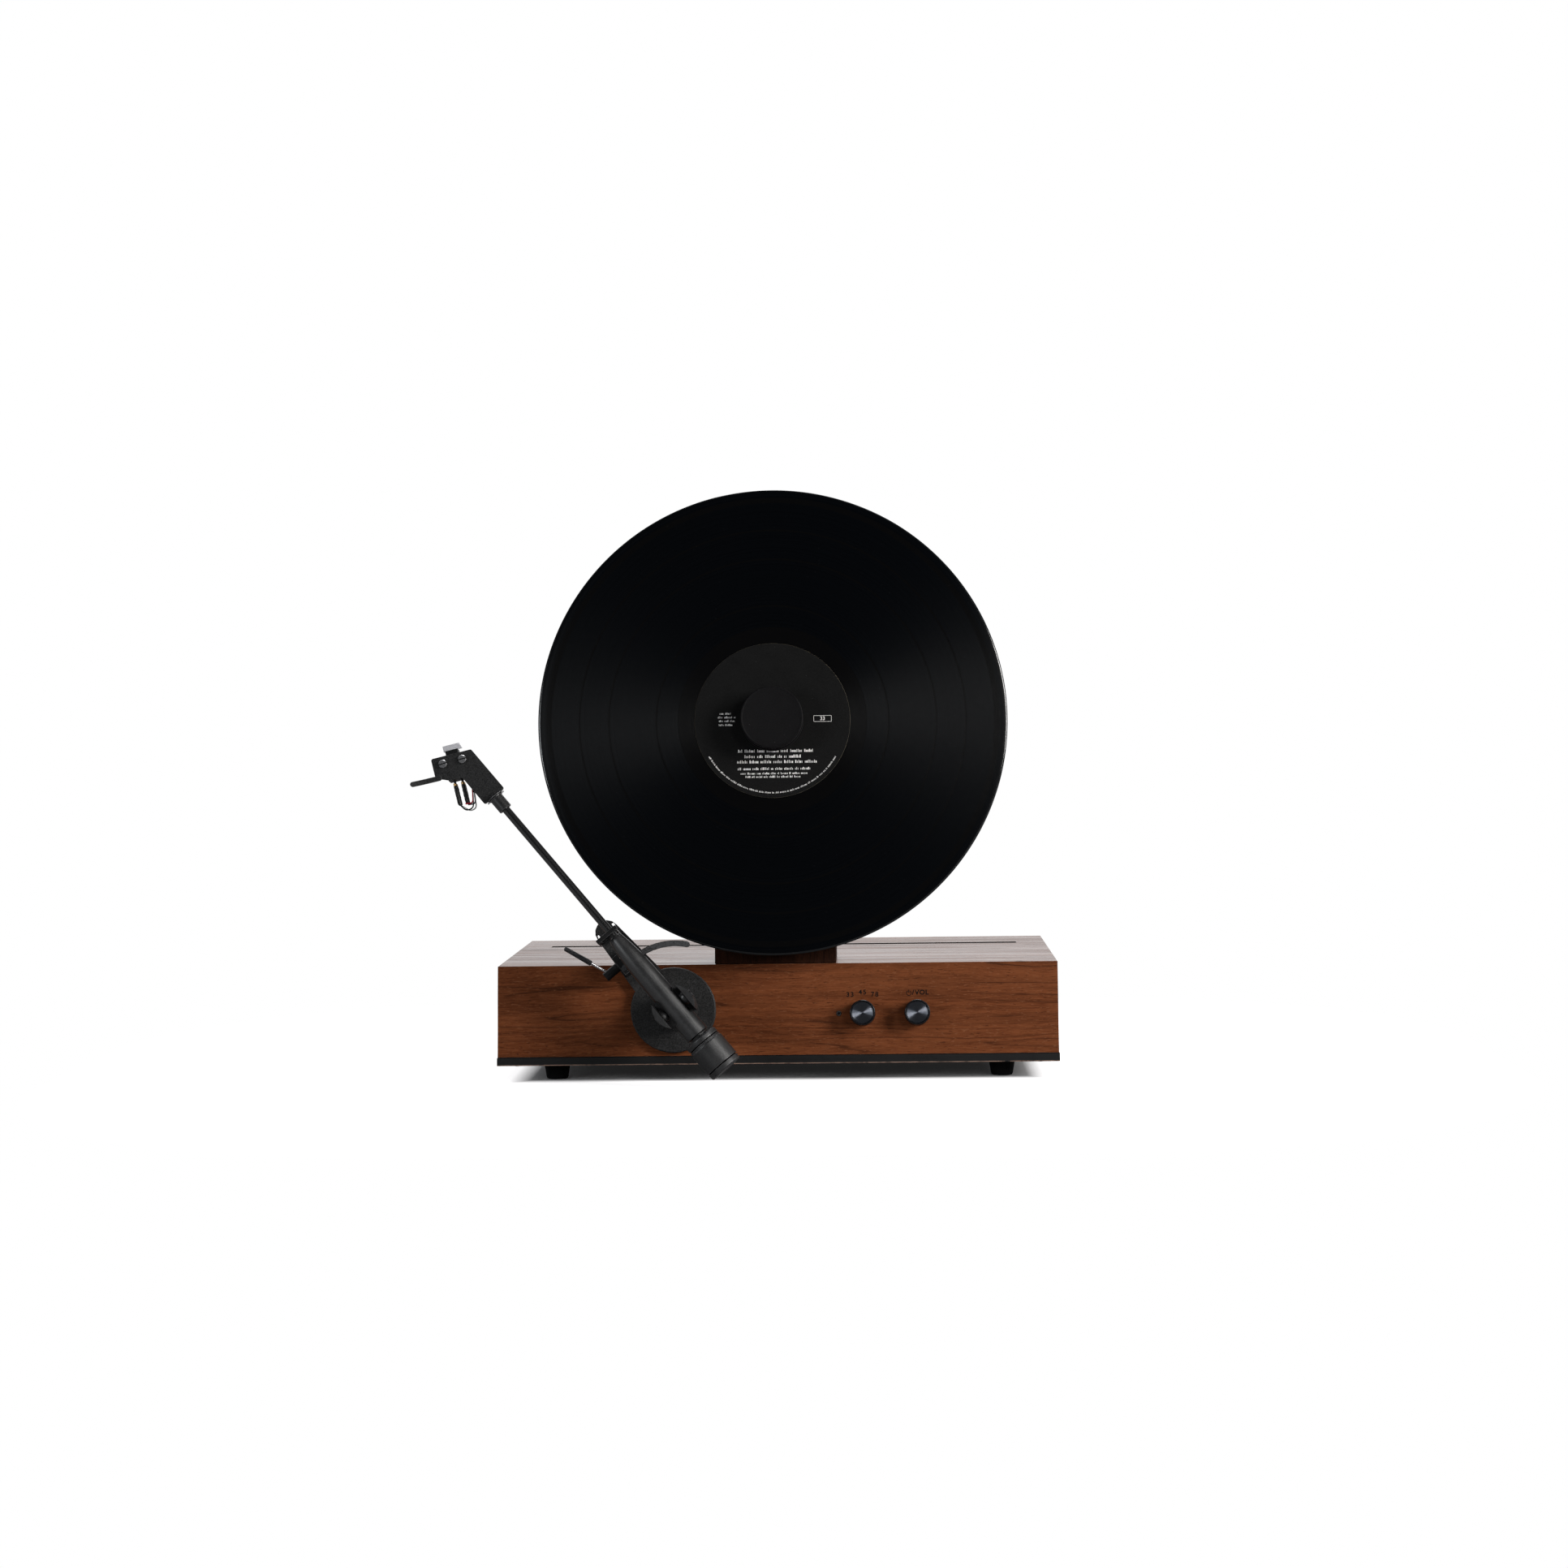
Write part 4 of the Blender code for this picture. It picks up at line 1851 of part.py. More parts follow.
def drill_case(root, case, front_cutters):
    """Drill every hole that a screw, bolt, bush or socket passes through."""
    shape_with(case["front"], front_cutters)
    shape_with(case["rear"], case["socket_holes"])
    bolt_holes = case["bolt_holes"]
    shape_with(case["shell"], [copy_of(hole) for hole in bolt_holes])
    shape_with(case["top"], bolt_holes)
    shape_with(case["bottom"], case["foot_holes"])


def build_tonearm(deck, looks):
    """Build the tonearm in its parked place, and return the hole its stem needs."""
    arm = make_frame("arm_frame", deck, (ARM_SIDE, -ARM_DROP, 0), (0, 0, ARM_PARK_ANGLE))
    swing = make_frame("tonearm_swing_axis", arm)
    lift = make_frame("tonearm_lift_axis", swing, (0, 0, ARM_LEVEL))
    place = cartridge_place()
    cartridge = make_frame("cartridge_frame", lift, (place.x, place.y, 0), (0, 0, -SHELL_OFFSET_ANGLE))
    weight = make_frame("weight_axis", lift)
    build_arm_base(arm, looks)
    build_arm_clip(arm, looks)
    stem_hole = build_pillar(arm, looks)
    build_cue(arm, looks)
    build_yoke(swing, looks)
    build_housing(lift, looks)
    build_tube(lift, looks)
    build_headshell(lift, cartridge, looks)
    build_finger_lift(cartridge, looks)
    build_cartridge_screws(cartridge, looks)
    build_cartridge(cartridge, looks)
    build_stylus(cartridge, looks)
    build_leads(cartridge, looks)
    build_counterweight(lift, weight, looks)
    return stem_hole


def main():
    clear_scene()
    looks = make_looks()
    root = make_frame("player_frame")
    deck = make_frame("deck_frame", root, deck_matrix().to_translation(), deck_matrix().to_euler())
    spindle = make_frame("spindle_axis", deck, (SPINDLE_SIDE, SPINDLE_RISE, 0))
    case = build_case(root, deck, looks)
    front_cutters = build_controls(deck, looks)
    build_bearing(spindle, looks)
    build_spindle(spindle, looks)
    build_platter(spindle, looks)
    build_record(spindle, looks)
    build_clamp(spindle, looks)
    build_drive(deck, spindle, looks)
    front_cutters.append(build_tonearm(deck, looks))
    drill_case(root, case, front_cutters)
    pieces = [item for item in bpy.data.objects if item.type == "MESH"]
    shade(pieces)
    stand_on_origin(root, pieces)


main()
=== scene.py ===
"""Vertical record player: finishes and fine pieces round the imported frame.

Lengths are in metres and angles in radians. +X runs to the right seen from the front,
+Y runs to the back and +Z runs up.
"""
import json
import math
import random

import bmesh
import bpy
from bpy.props import FloatProperty, FloatVectorProperty, IntProperty, PointerProperty
from mathutils import Matrix, Vector

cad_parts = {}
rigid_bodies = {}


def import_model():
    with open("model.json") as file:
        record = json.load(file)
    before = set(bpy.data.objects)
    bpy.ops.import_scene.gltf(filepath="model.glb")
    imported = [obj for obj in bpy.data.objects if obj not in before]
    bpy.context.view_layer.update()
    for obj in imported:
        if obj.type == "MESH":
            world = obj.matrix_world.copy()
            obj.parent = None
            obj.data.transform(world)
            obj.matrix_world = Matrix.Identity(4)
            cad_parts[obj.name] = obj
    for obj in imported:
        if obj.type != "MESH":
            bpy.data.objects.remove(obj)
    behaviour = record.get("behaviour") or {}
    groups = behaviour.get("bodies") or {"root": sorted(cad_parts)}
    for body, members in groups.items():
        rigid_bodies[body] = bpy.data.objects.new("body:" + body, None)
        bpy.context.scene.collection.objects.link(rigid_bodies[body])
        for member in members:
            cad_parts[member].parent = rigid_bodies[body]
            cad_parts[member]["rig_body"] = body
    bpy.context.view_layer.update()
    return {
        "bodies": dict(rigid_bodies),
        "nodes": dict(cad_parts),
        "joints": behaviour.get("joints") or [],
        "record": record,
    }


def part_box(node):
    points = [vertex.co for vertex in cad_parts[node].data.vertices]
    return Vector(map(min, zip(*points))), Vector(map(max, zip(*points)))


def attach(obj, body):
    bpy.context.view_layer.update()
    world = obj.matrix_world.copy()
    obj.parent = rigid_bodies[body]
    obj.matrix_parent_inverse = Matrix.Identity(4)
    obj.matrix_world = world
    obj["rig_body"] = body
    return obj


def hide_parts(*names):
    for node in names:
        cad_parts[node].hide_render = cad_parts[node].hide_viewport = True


bl_info = {
    "name": "Vertical Record Player",
    "version": (1, 0, 0),
    "blender": (4, 5, 0),
    "location": "3D View > Sidebar > Player",
    "description": "Builds the looks of a vertical record player round its packed frame",
    "category": "Object",
}

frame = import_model()
nodes = frame["nodes"]

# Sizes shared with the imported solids
LEAN = math.radians(8.6)
GAP = 0.0003
SLOT_WIDTH = 0.0080
SPINDLE_SIDE = -0.0009
SPINDLE_RISE = 0.1548
ARM_SIDE = -0.0634
ARM_DROP = 0.0290
ARM_LEVEL = 0.0420
ARM_PARK_ANGLE = math.radians(40.1)
RECORD_RADIUS = 0.1508
RECORD_LEVEL = 0.0210
RECORD_FRONT = 0.0230
LABEL_TOP = 0.0231
LABEL_RADIUS = 0.0500
CLAMP_LOW = 0.0234
CLAMP_HEIGHT = 0.0150
CLAMP_RADIUS = 0.0200
SPINDLE_TIP_RADIUS = 0.00355
KNOB_DROP = 0.0322
SPEED_KNOB_SIDE = 0.0547
VOLUME_KNOB_SIDE = 0.0897
KNOB_RADIUS = 0.0083
KNOB_HEIGHT = 0.0105
LAMP_SIDE = 0.0395
LAMP_RADIUS = 0.0015
TRACK_GAPS = ((0.0555, 0.0052), (0.0745, 0.0006), (0.1050, 0.0006), (0.1240, 0.0006), (0.1437, 0.0018))
TUBE_RADIUS = 0.0026
HOUSING_FRONT = 0.0582
HOUSING_REAR = 0.0230
HOUSING_NOSE = 0.0385
HOUSING_FRONT_RADIUS = 0.00435
HOUSING_FULL_RADIUS = 0.00725
HOUSING_REAR_RADIUS = 0.00787
HOUSING_NOSE_POWER = 2.54
HOUSING_FLAT = 0.0059
HOUSING_FLAT_REACH = 0.0098
COLLAR_START = 0.1653
COLLAR_END = 0.1754
COLLAR_RADIUS = 0.00435
SHELL_START = 0.1762
SHELL_CORNER = (0.0078, 0.2091)
SHELL_OFFSET_ANGLE = math.radians(26.4)
SHELL_FACE_WIDTH = 0.0263
FINGER_WIDTH = 0.0033
FINGER_THICKNESS = 0.0011
FINGER_ROOT = 0.0030
FINGER_LENGTH = 0.0191
FINGER_PLACE = -0.0084
FINGER_RISE = 0.0030
SHELL_LOW = -0.0015
SHELL_TOP = 0.0009
SCREW_SETBACK = 0.0049
SCREW_SPACING = 0.0127
PIN_REAR = 0.0144
PIN_SIDE = 0.0025
PIN_LEVELS = (-0.0050, -0.0096)
PILLAR_TOP = 0.0200
CUE_PLACE = 0.0449
CUE_LEVEL = 0.0160
FOOT_RADII = (0.0086, 0.0071)

front_low, front_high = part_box("front_panel")
CASE_CENTRE = (front_low.x + front_high.x) / 2
CASE_TOP = front_high.z
deck_y = front_low.y + (front_high.z - front_low.z) * math.tan(LEAN)

deck = Matrix.Translation((CASE_CENTRE, deck_y, CASE_TOP)) @ Matrix.Rotation(
    math.pi / 2 - LEAN, 4, "X"
)
spindle = deck @ Matrix.Translation((SPINDLE_SIDE, SPINDLE_RISE, 0))
arm = (
    deck
    @ Matrix.Translation((ARM_SIDE, -ARM_DROP, 0))
    @ Matrix.Rotation(ARM_PARK_ANGLE, 4, "Z")
)
lift = arm @ Matrix.Translation((0, 0, ARM_LEVEL))
ALONG_ARM = Matrix.Rotation(-math.pi / 2, 4, "X")

# Faces of a piece take its finish by number: the rest of it, then its corners, rubbed lighter in patches and painted
# lighter as a highlight
MAIN_FACE, EDGE_FACE = 0, 1
EDGE_WIDTH = 0.0004


def shell_middle():
    """Return the point midway between the cartridge screws, in the arm's frame."""
    side, fore = math.cos(SHELL_OFFSET_ANGLE), math.sin(SHELL_OFFSET_ANGLE)
    across, behind = Vector((-side, fore)), Vector((-fore, -side))
    return Vector(SHELL_CORNER) + across * (SHELL_FACE_WIDTH / 2) + behind * SCREW_SETBACK


cartridge = (
    lift
    @ Matrix.Translation((*shell_middle(), 0))
    @ Matrix.Rotation(-SHELL_OFFSET_ANGLE, 4, "Z")
)


# Mesh code


def turned(profile, sides):
    """Turn (radius, height) points round local Z; a radius may be a function of the angle.

    A profile that starts and ends on the axis makes a solid, and one that keeps clear
    of it makes a closed ring.
    """
    shape = bmesh.new()
    rings = []
    for radius, height in profile:
        if radius == 0:
            rings.append([shape.verts.new((0, 0, height))])
            continue
        ring = []
        for index in range(sides):
            angle = math.tau * index / sides
            reach = radius(angle) if callable(radius) else radius
            ring.append(shape.verts.new((reach * math.cos(angle), reach * math.sin(angle), height)))
        rings.append(ring)
    pairs = list(zip(rings, rings[1:]))
    if profile[0][0] != 0:
        pairs.append((rings[-1], rings[0]))
    for first, second in pairs:
        width = (first[0].co - second[0].co).length
        # Narrow bands take the lighter edge finish: partly wear, partly a painted highlight along the rim
        bridge(shape, first, second, EDGE_FACE if width < EDGE_WIDTH else MAIN_FACE)
    return shape


def bridge(shape, first, second, kind=0):
    """Fill the band between two rings, either of which may be a single point."""
    count = max(len(first), len(second))
    for index in range(count):
        after = (index + 1) % count
        if len(first) == 1:
            corners = (first[0], second[index], second[after])
        elif len(second) == 1:
            corners = (first[index], first[after], second[0])
        else:
            corners = (first[index], first[after], second[after], second[index])
        shape.faces.new(corners).material_index = kind


def eased(profile, radius, steps=3):
    """Round the inner corners of an open profile."""
    points = [profile[0]]
    for before, corner, after in zip(profile, profile[1:], profile[2:]):
        here = Vector(corner)
        back, ahead = Vector(before) - here, Vector(after) - here
        reach = min(radius, back.length * 0.45, ahead.length * 0.45)
        start, end = here + back.normalized() * reach, here + ahead.normalized() * reach
        for step in range(steps + 1):
            share = step / steps
            near, far = start.lerp(here, share), here.lerp(end, share)
            points.append(tuple(near.lerp(far, share)))
    points.append(profile[-1])
    return points


def swept(points, radii, sides=12, squash=1.0):
    """Sweep a round or oval section along a line of points."""
    shape = bmesh.new()
    rings = []
    across = Vector((0, 0, 1))
    for index, point in enumerate(points):
        along = points[min(index + 1, len(points) - 1)] - points[max(index - 1, 0)]
        along.normalize()
        across = (across - along * across.dot(along)).normalized()
        over = along.cross(across)
        ring = []
        for side in range(sides):
            angle = math.tau * side / sides
            offset = across * math.cos(angle) * squash + over * math.sin(angle)
            ring.append(shape.verts.new(point + offset * radii[index]))
        rings.append(ring)
    shape.faces.new(rings[0])
    shape.faces.new(rings[-1])
    for first, second in zip(rings, rings[1:]):
        bridge(shape, first, second)
    return shape


def slab(outline, low, high, edge=0.0, steps=2):
    """Extrude a flat outline between two levels, its upper and lower edges eased."""
    shape = bmesh.new()
    levels = [(low, edge), (low + edge, 0), (high - edge, 0), (high, edge)]
    if not edge:
        levels = [(low, 0), (high, 0)]
    rings = []
    for level, inset in levels:
        ring = inset_outline(outline, inset)
        rings.append([shape.verts.new((x, y, level)) for x, y in ring])
    shape.faces.new(rings[0])
    shape.faces.new(rings[-1])
    for first, second in zip(rings, rings[1:]):
        slanted = edge and abs(first[0].co.z - second[0].co.z) < edge * 1.01
        # Slanted bands take the lighter edge finish: partly wear, partly a painted highlight along the rim
        bridge(shape, first, second, EDGE_FACE if slanted else MAIN_FACE)
    if edge and steps > 1:
        sharp = [
            item for item in shape.edges
            if len(item.link_faces) == 2 and item.calc_face_angle(0) > math.radians(30)
            and abs(item.verts[0].co.z - item.verts[1].co.z) < 1e-9
        ]
        bmesh.ops.bevel(shape, geom=sharp, offset=edge * 0.3, segments=steps, affect="EDGES")
    return shape


def inset_outline(outline, inset):
    """Move every side of a counter-clockwise outline inwards."""
    if not inset:
        return outline
    points = []
    count = len(outline)
    for index, corner in enumerate(outline):
        here = Vector(corner)
        back = (here - Vector(outline[index - 1])).normalized()
        ahead = (Vector(outline[(index + 1) % count]) - here).normalized()
        inward = Vector((-back.y, back.x)) + Vector((-ahead.y, ahead.x))
        inward.normalize()
        spread = max(inward.dot(Vector((-back.y, back.x))), 0.3)
        points.append(tuple(here + inward * inset / spread))
    return points


def arc(centre, radius, start, end, steps):
    """Return points along an arc, both ends included."""
    spread = [start + (end - start) * index / steps for index in range(steps + 1)]
    return [(centre[0] + radius * math.cos(a), centre[1] + radius * math.sin(a)) for a in spread]


def rounded_box(width, height, radius, steps=4):
    """Return a rounded rectangle about the origin, counter-clockwise."""
    points = []
    x, y = width / 2 - radius, height / 2 - radius
    for number, (cx, cy) in enumerate(((x, y), (-x, y), (-x, -y), (x, -y))):
        start = number * math.pi / 2
        points += arc((cx, cy), radius, start, start + math.pi / 2, steps)
    return points


def joined(*shapes):
    """Put several shapes into one bmesh."""
    whole = bmesh.new()
    for shape in shapes:
        mesh = bpy.data.meshes.new("part")
        shape.to_mesh(mesh)
        shape.free()
        whole.from_mesh(mesh)
        bpy.data.meshes.remove(mesh)
    return whole


def moved(shape, matrix):
    """Place a bmesh by a matrix, or by a plain offset."""
    if not isinstance(matrix, Matrix):
        matrix = Matrix.Translation(matrix)
    bmesh.ops.transform(shape, matrix=matrix, verts=shape.verts)
    return shape


def make(name, shape, place, look, body, replaces=(), smooth=32, trims=()):
    """Turn a bmesh into a piece that rides on a body.

    Each trim is a second look and a test of a face's centre and normal that picks its faces.
    """
    bmesh.ops.recalc_face_normals(shape, faces=shape.faces)
    mesh = bpy.data.meshes.new(name)
    shape.to_mesh(mesh)
    shape.free()
    mesh.shade_smooth()
    mesh.set_sharp_from_angle(angle=math.radians(smooth))
    mesh.materials.append(finish(look))
    mesh.materials.append(finish(EDGE_WEAR_AND_HIGHLIGHT.get(look, look)))
    for number, (other, test) in enumerate(trims, 2):
        mesh.materials.append(finish(other))
        for face in mesh.polygons:
            if test(face.center, face.normal):
                face.material_index = number
    piece = bpy.data.objects.new(name, mesh)
    bpy.context.collection.objects.link(piece)
    piece.matrix_world = place
    shade = piece.modifiers.new("shade", "WEIGHTED_NORMAL")
    shade.keep_sharp = True
    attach(piece, body)
    if replaces:
        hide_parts(*([replaces] if isinstance(replaces, str) else replaces))
    return piece


def carve(piece, cutter_shape):
    """Cut a shape, given in the piece's own frame, out of a piece."""
    mesh = bpy.data.meshes.new("cutter")
    bmesh.ops.recalc_face_normals(cutter_shape, faces=cutter_shape.faces)
    cutter_shape.to_mesh(mesh)
    cutter_shape.free()
    cutter = bpy.data.objects.new("cutter", mesh)
    bpy.context.collection.objects.link(cutter)
    cutter.matrix_world = piece.matrix_world
    change = piece.modifiers.new("cut", "BOOLEAN")
    change.object, change.solver = cutter, "EXACT"
    bpy.context.view_layer.update()
    graph = bpy.context.evaluated_depsgraph_get()
    shaped = bpy.data.meshes.new_from_object(piece.evaluated_get(graph))
    shaped.name = piece.name
    piece.modifiers.clear()
    piece.data = shaped
    bpy.data.objects.remove(cutter, do_unlink=True)
    return piece


def dress(name, look, edge=0.0003, angle=40, segments=3, plain=None, trims=()):
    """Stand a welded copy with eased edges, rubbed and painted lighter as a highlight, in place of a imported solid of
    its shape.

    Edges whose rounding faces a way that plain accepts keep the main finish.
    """
    source = nodes[name]
    shape = bmesh.new()
    shape.from_mesh(source.data)
    for face in shape.faces:
        face.material_index = MAIN_FACE
    bmesh.ops.remove_doubles(shape, verts=shape.verts, dist=0.000001)
    bmesh.ops.dissolve_limit(
        shape, angle_limit=math.radians(0.5), verts=shape.verts, edges=shape.edges
    )
    if edge:
        sharp = [
            item for item in shape.edges
            if len(item.link_faces) == 2 and item.calc_face_angle(0) > math.radians(angle)
        ]
        made = bmesh.ops.bevel(shape, geom=sharp, offset=edge, segments=segments, profile=0.5,
                               affect="EDGES", clamp_overlap=True)
        shape.normal_update()
        # The rounded edges take the lighter edge finish: rubbed wear and a painted highlight
        for face in made["faces"]:
            if not (plain and plain(face.normal)):
                face.material_index = EDGE_FACE
    return make(name + "_dressed", shape, Matrix(), look, source["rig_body"], name, trims=trims)


def word(name, text, size, place, look, body, thickness=0.00004, align="CENTER", spread=1.0,
         bold=0.0):
    """Raise a few figures as a thin printed piece in the XY plane of a place."""
    curve = bpy.data.curves.new(name, "FONT")
    curve.body, curve.size, curve.extrude = text, size, thickness / 2
    curve.align_x, curve.align_y, curve.space_character = align, "CENTER", spread
    curve.offset = bold
    holder = bpy.data.objects.new(name, curve)
    bpy.context.collection.objects.link(holder)
    bpy.context.view_layer.update()
    mesh = bpy.data.meshes.new_from_object(holder)
    shape = bmesh.new()
    shape.from_mesh(mesh)
    bmesh.ops.remove_doubles(shape, verts=shape.verts, dist=0.000001)
    bpy.data.objects.remove(holder, do_unlink=True)
    bpy.data.curves.remove(curve)
    bpy.data.meshes.remove(mesh)
    moved(shape, (0, 0, thickness / 2))
    return make(name, shape, place, look, body)


# Shader code


def add(tree, kind, settings=None, *values, **named):
    """Add a node; values fill its inputs by order and names by name, linked where they are sockets."""
    node = tree.nodes.new("ShaderNode" + kind)
    for key, value in (settings or {}).items():
        setattr(node, key, value)
    pairs = list(zip(node.inputs, values))
    pairs += [(node.inputs[key.replace("_", " ")], value) for key, value in named.items()]
    for socket, value in pairs:
        if isinstance(value, bpy.types.NodeSocket):
            tree.links.new(value, socket)
        elif value is not None:
            socket.default_value = value
    return node


def maths(tree, operation, *values):
    """Add a Math node and return its output."""
    return add(tree, "Math", {"operation": operation}, *values).outputs[0]


def vectors(tree, operation, *values):
    """Add a Vector Math node and return its vector."""
    return add(tree, "VectorMath", {"operation": operation}, *values).outputs[0]


def ranged(tree, value, low, high, to_low=0.0, to_high=1.0):
    """Map a value from one range to another, clamped."""
    return add(tree, "MapRange", None, value, low, high, to_low, to_high).outputs[0]


def noise(tree, vector, scale, detail=2.0, roughness=0.5):
    """Add a Noise Texture and return its value."""
    node = add(tree, "TexNoise", None, Vector=vector, Scale=scale, Detail=detail, Roughness=roughness)
    return node.outputs[0]


def mixed(tree, share, first, second, blend="MIX"):
    """Mix two colours and return the result."""
    node = add(tree, "Mix", {"data_type": "RGBA", "blend_type": blend})
    for socket, value in zip((node.inputs[0], node.inputs[6], node.inputs[7]), (share, first, second)):
        if isinstance(value, bpy.types.NodeSocket):
            tree.links.new(value, socket)
        elif isinstance(value, (int, float)):
            socket.default_value = value
        else:
            socket.default_value = (*value[:3], 1.0)
    return node.outputs[2]


def group(name, inputs, outputs):
    """Start a shader node group with named sockets, and return its tree, inputs and outputs."""
    tree = bpy.data.node_groups.new(name, "ShaderNodeTree")
    kinds = {"f": "NodeSocketFloat", "c": "NodeSocketColor", "v": "NodeSocketVector"}
    for label, kind, value in inputs:
        socket = tree.interface.new_socket(name=label, in_out="INPUT", socket_type=kinds[kind])
        socket.default_value = (*value, 1.0) if kind == "c" else value
    for label, kind in outputs:
        tree.interface.new_socket(name=label, in_out="OUTPUT", socket_type=kinds[kind])
    return tree, tree.nodes.new("NodeGroupInput").outputs, tree.nodes.new("NodeGroupOutput").inputs


def place_group(tree, name, **named):
    """Put a node group into a material with its own values, and return its outputs."""
    node = tree.nodes.new("ShaderNodeGroup")
    node.node_tree = bpy.data.node_groups[name]
    for key, value in named.items():
        socket = node.inputs[key.replace("_", " ")]
        if isinstance(value, bpy.types.NodeSocket):
            tree.links.new(value, socket)
        else:
            socket.default_value = (*value, 1.0) if socket.type == "RGBA" else value
    return node.outputs


def make_fine_grain():
    """Blasted metal and moulded plastic: fine relief, speckle, uneven gloss and broad cloudiness."""
    tree, given, result = group(
        "Fine grain",
        [("Vector", "v", (0, 0, 0)), ("Colour", "c", (0.02,) * 3), ("Speckle", "f", 0.3),
         ("Clouds", "f", 0.1), ("Scale", "f", 1500), ("Depth", "f", 0.00002), ("Roughness", "f", 0.4),
         ("Gloss Spread", "f", 0.1)],
        [("Colour", "c"), ("Roughness", "f"), ("Normal", "v")],
    )
    fine = noise(tree, given["Vector"], given["Scale"], 3.0, 0.7)
    broad = noise(tree, given["Vector"], 90.0, 3.0)
    grain = maths(tree, "MULTIPLY", maths(tree, "SUBTRACT", fine, 0.5), 5.0)
    cloud = maths(tree, "MULTIPLY", maths(tree, "SUBTRACT", broad, 0.5), 5.0)
    shade = maths(tree, "ADD", 1.0, maths(tree, "MULTIPLY", grain, given["Speckle"]))
    shade = maths(tree, "ADD", shade, maths(tree, "MULTIPLY", cloud, given["Clouds"]))
    scaled = add(tree, "VectorMath", {"operation": "SCALE"}, given["Colour"],
                 Scale=maths(tree, "MAXIMUM", shade, 0.15))
    tree.links.new(scaled.outputs[0], result["Colour"])
    gloss = maths(tree, "MULTIPLY", maths(tree, "ADD", grain, cloud), given["Gloss Spread"])
    tree.links.new(maths(tree, "ADD", given["Roughness"], gloss), result["Roughness"])
    bump = add(tree, "Bump", None, Strength=1.0, Distance=given["Depth"], Height=fine)
    tree.links.new(bump.outputs[0], result["Normal"])


def make_edge_wear_and_highlight():
    """Corners lighter in patches: partly rubbed by handling, partly a painted highlight along the rims."""
    tree, given, result = group(
        "Edge wear and painted highlight",
        [("Vector", "v", (0, 0, 0)), ("Colour", "c", (0.02,) * 3), ("Worn Colour", "c", (0.2,) * 3),
         ("Roughness", "f", 0.4), ("Worn Roughness", "f", 0.3), ("Amount", "f", 0.5), ("Scale", "f", 420.0)],
        [("Colour", "c"), ("Roughness", "f"), ("Mask", "f")],
    )
    patch = ranged(tree, noise(tree, given["Vector"], given["Scale"], 4.0, 0.7), 0.36, 0.60)
    mask = maths(tree, "MULTIPLY", patch, given["Amount"])
    tree.links.new(mask, result["Mask"])
    # the lighter colour in the patches is partly wear and partly painted highlight
    tree.links.new(mixed(tree, mask, given["Colour"], given["Worn Colour"]), result["Colour"])
    change = maths(tree, "SUBTRACT", given["Worn Roughness"], given["Roughness"])
    rough = maths(tree, "ADD", given["Roughness"], maths(tree, "MULTIPLY", change, mask))
    tree.links.new(rough, result["Roughness"])


def make_dust():
    """A few pale specks of dust."""
    tree, given, result = group(
        "Dust specks",
        [("Vector", "v", (0, 0, 0)), ("Colour", "c", (0.02,) * 3), ("Dust Colour", "c", (0.3,) * 3),
         ("Scale", "f", 500.0), ("Amount", "f", 0.5)],
        [("Colour", "c"), ("Mask", "f")],
    )
    cell = add(tree, "TexVoronoi", None, Vector=given["Vector"], Scale=given["Scale"])
    near = ranged(tree, cell.outputs["Distance"], 0.10, 0.02)
    pick = add(tree, "SeparateColor", None, cell.outputs["Color"])
    chosen = ranged(tree, pick.outputs[0], 0.86, 0.90)
    mask = maths(tree, "MULTIPLY", maths(tree, "MULTIPLY", near, chosen), given["Amount"])
    tree.links.new(mask, result["Mask"])
    tree.links.new(mixed(tree, mask, given["Colour"], given["Dust Colour"]), result["Colour"])


def make_turned_rings():
    """Fine concentric tool marks round local Z."""
    tree, given, result = group(
        "Turned rings",
        [("Vector", "v", (0, 0, 0)), ("Pitch", "f", 0.0003), ("Depth", "f", 0.00001)],
        [("Radius", "f"), ("Height", "f"), ("Normal", "v")],
    )
    parts = add(tree, "SeparateXYZ", None, given["Vector"])
    flat = add(tree, "CombineXYZ", None, parts.outputs[0], parts.outputs[1], 0.0)
    radius = add(tree, "VectorMath", {"operation": "LENGTH"}, flat.outputs[0]).outputs["Value"]
    wave = maths(tree, "SINE", maths(tree, "DIVIDE", maths(tree, "MULTIPLY", radius, math.tau), given["Pitch"]))
    ring = add(tree, "CombineXYZ", None, maths(tree, "MULTIPLY", radius, 9000.0), 0.0, 0.0).outputs[0]
    rough = maths(tree, "SUBTRACT", noise(tree, ring, 1.0, 3.0), 0.5)
    height = maths(tree, "ADD", maths(tree, "MULTIPLY", wave, 0.5), maths(tree, "MULTIPLY", rough, 2.0))
    tree.links.new(radius, result["Radius"])
    tree.links.new(height, result["Height"])
    bump = add(tree, "Bump", None, Strength=1.0, Distance=given["Depth"], Height=height)
    tree.links.new(bump.outputs[0], result["Normal"])


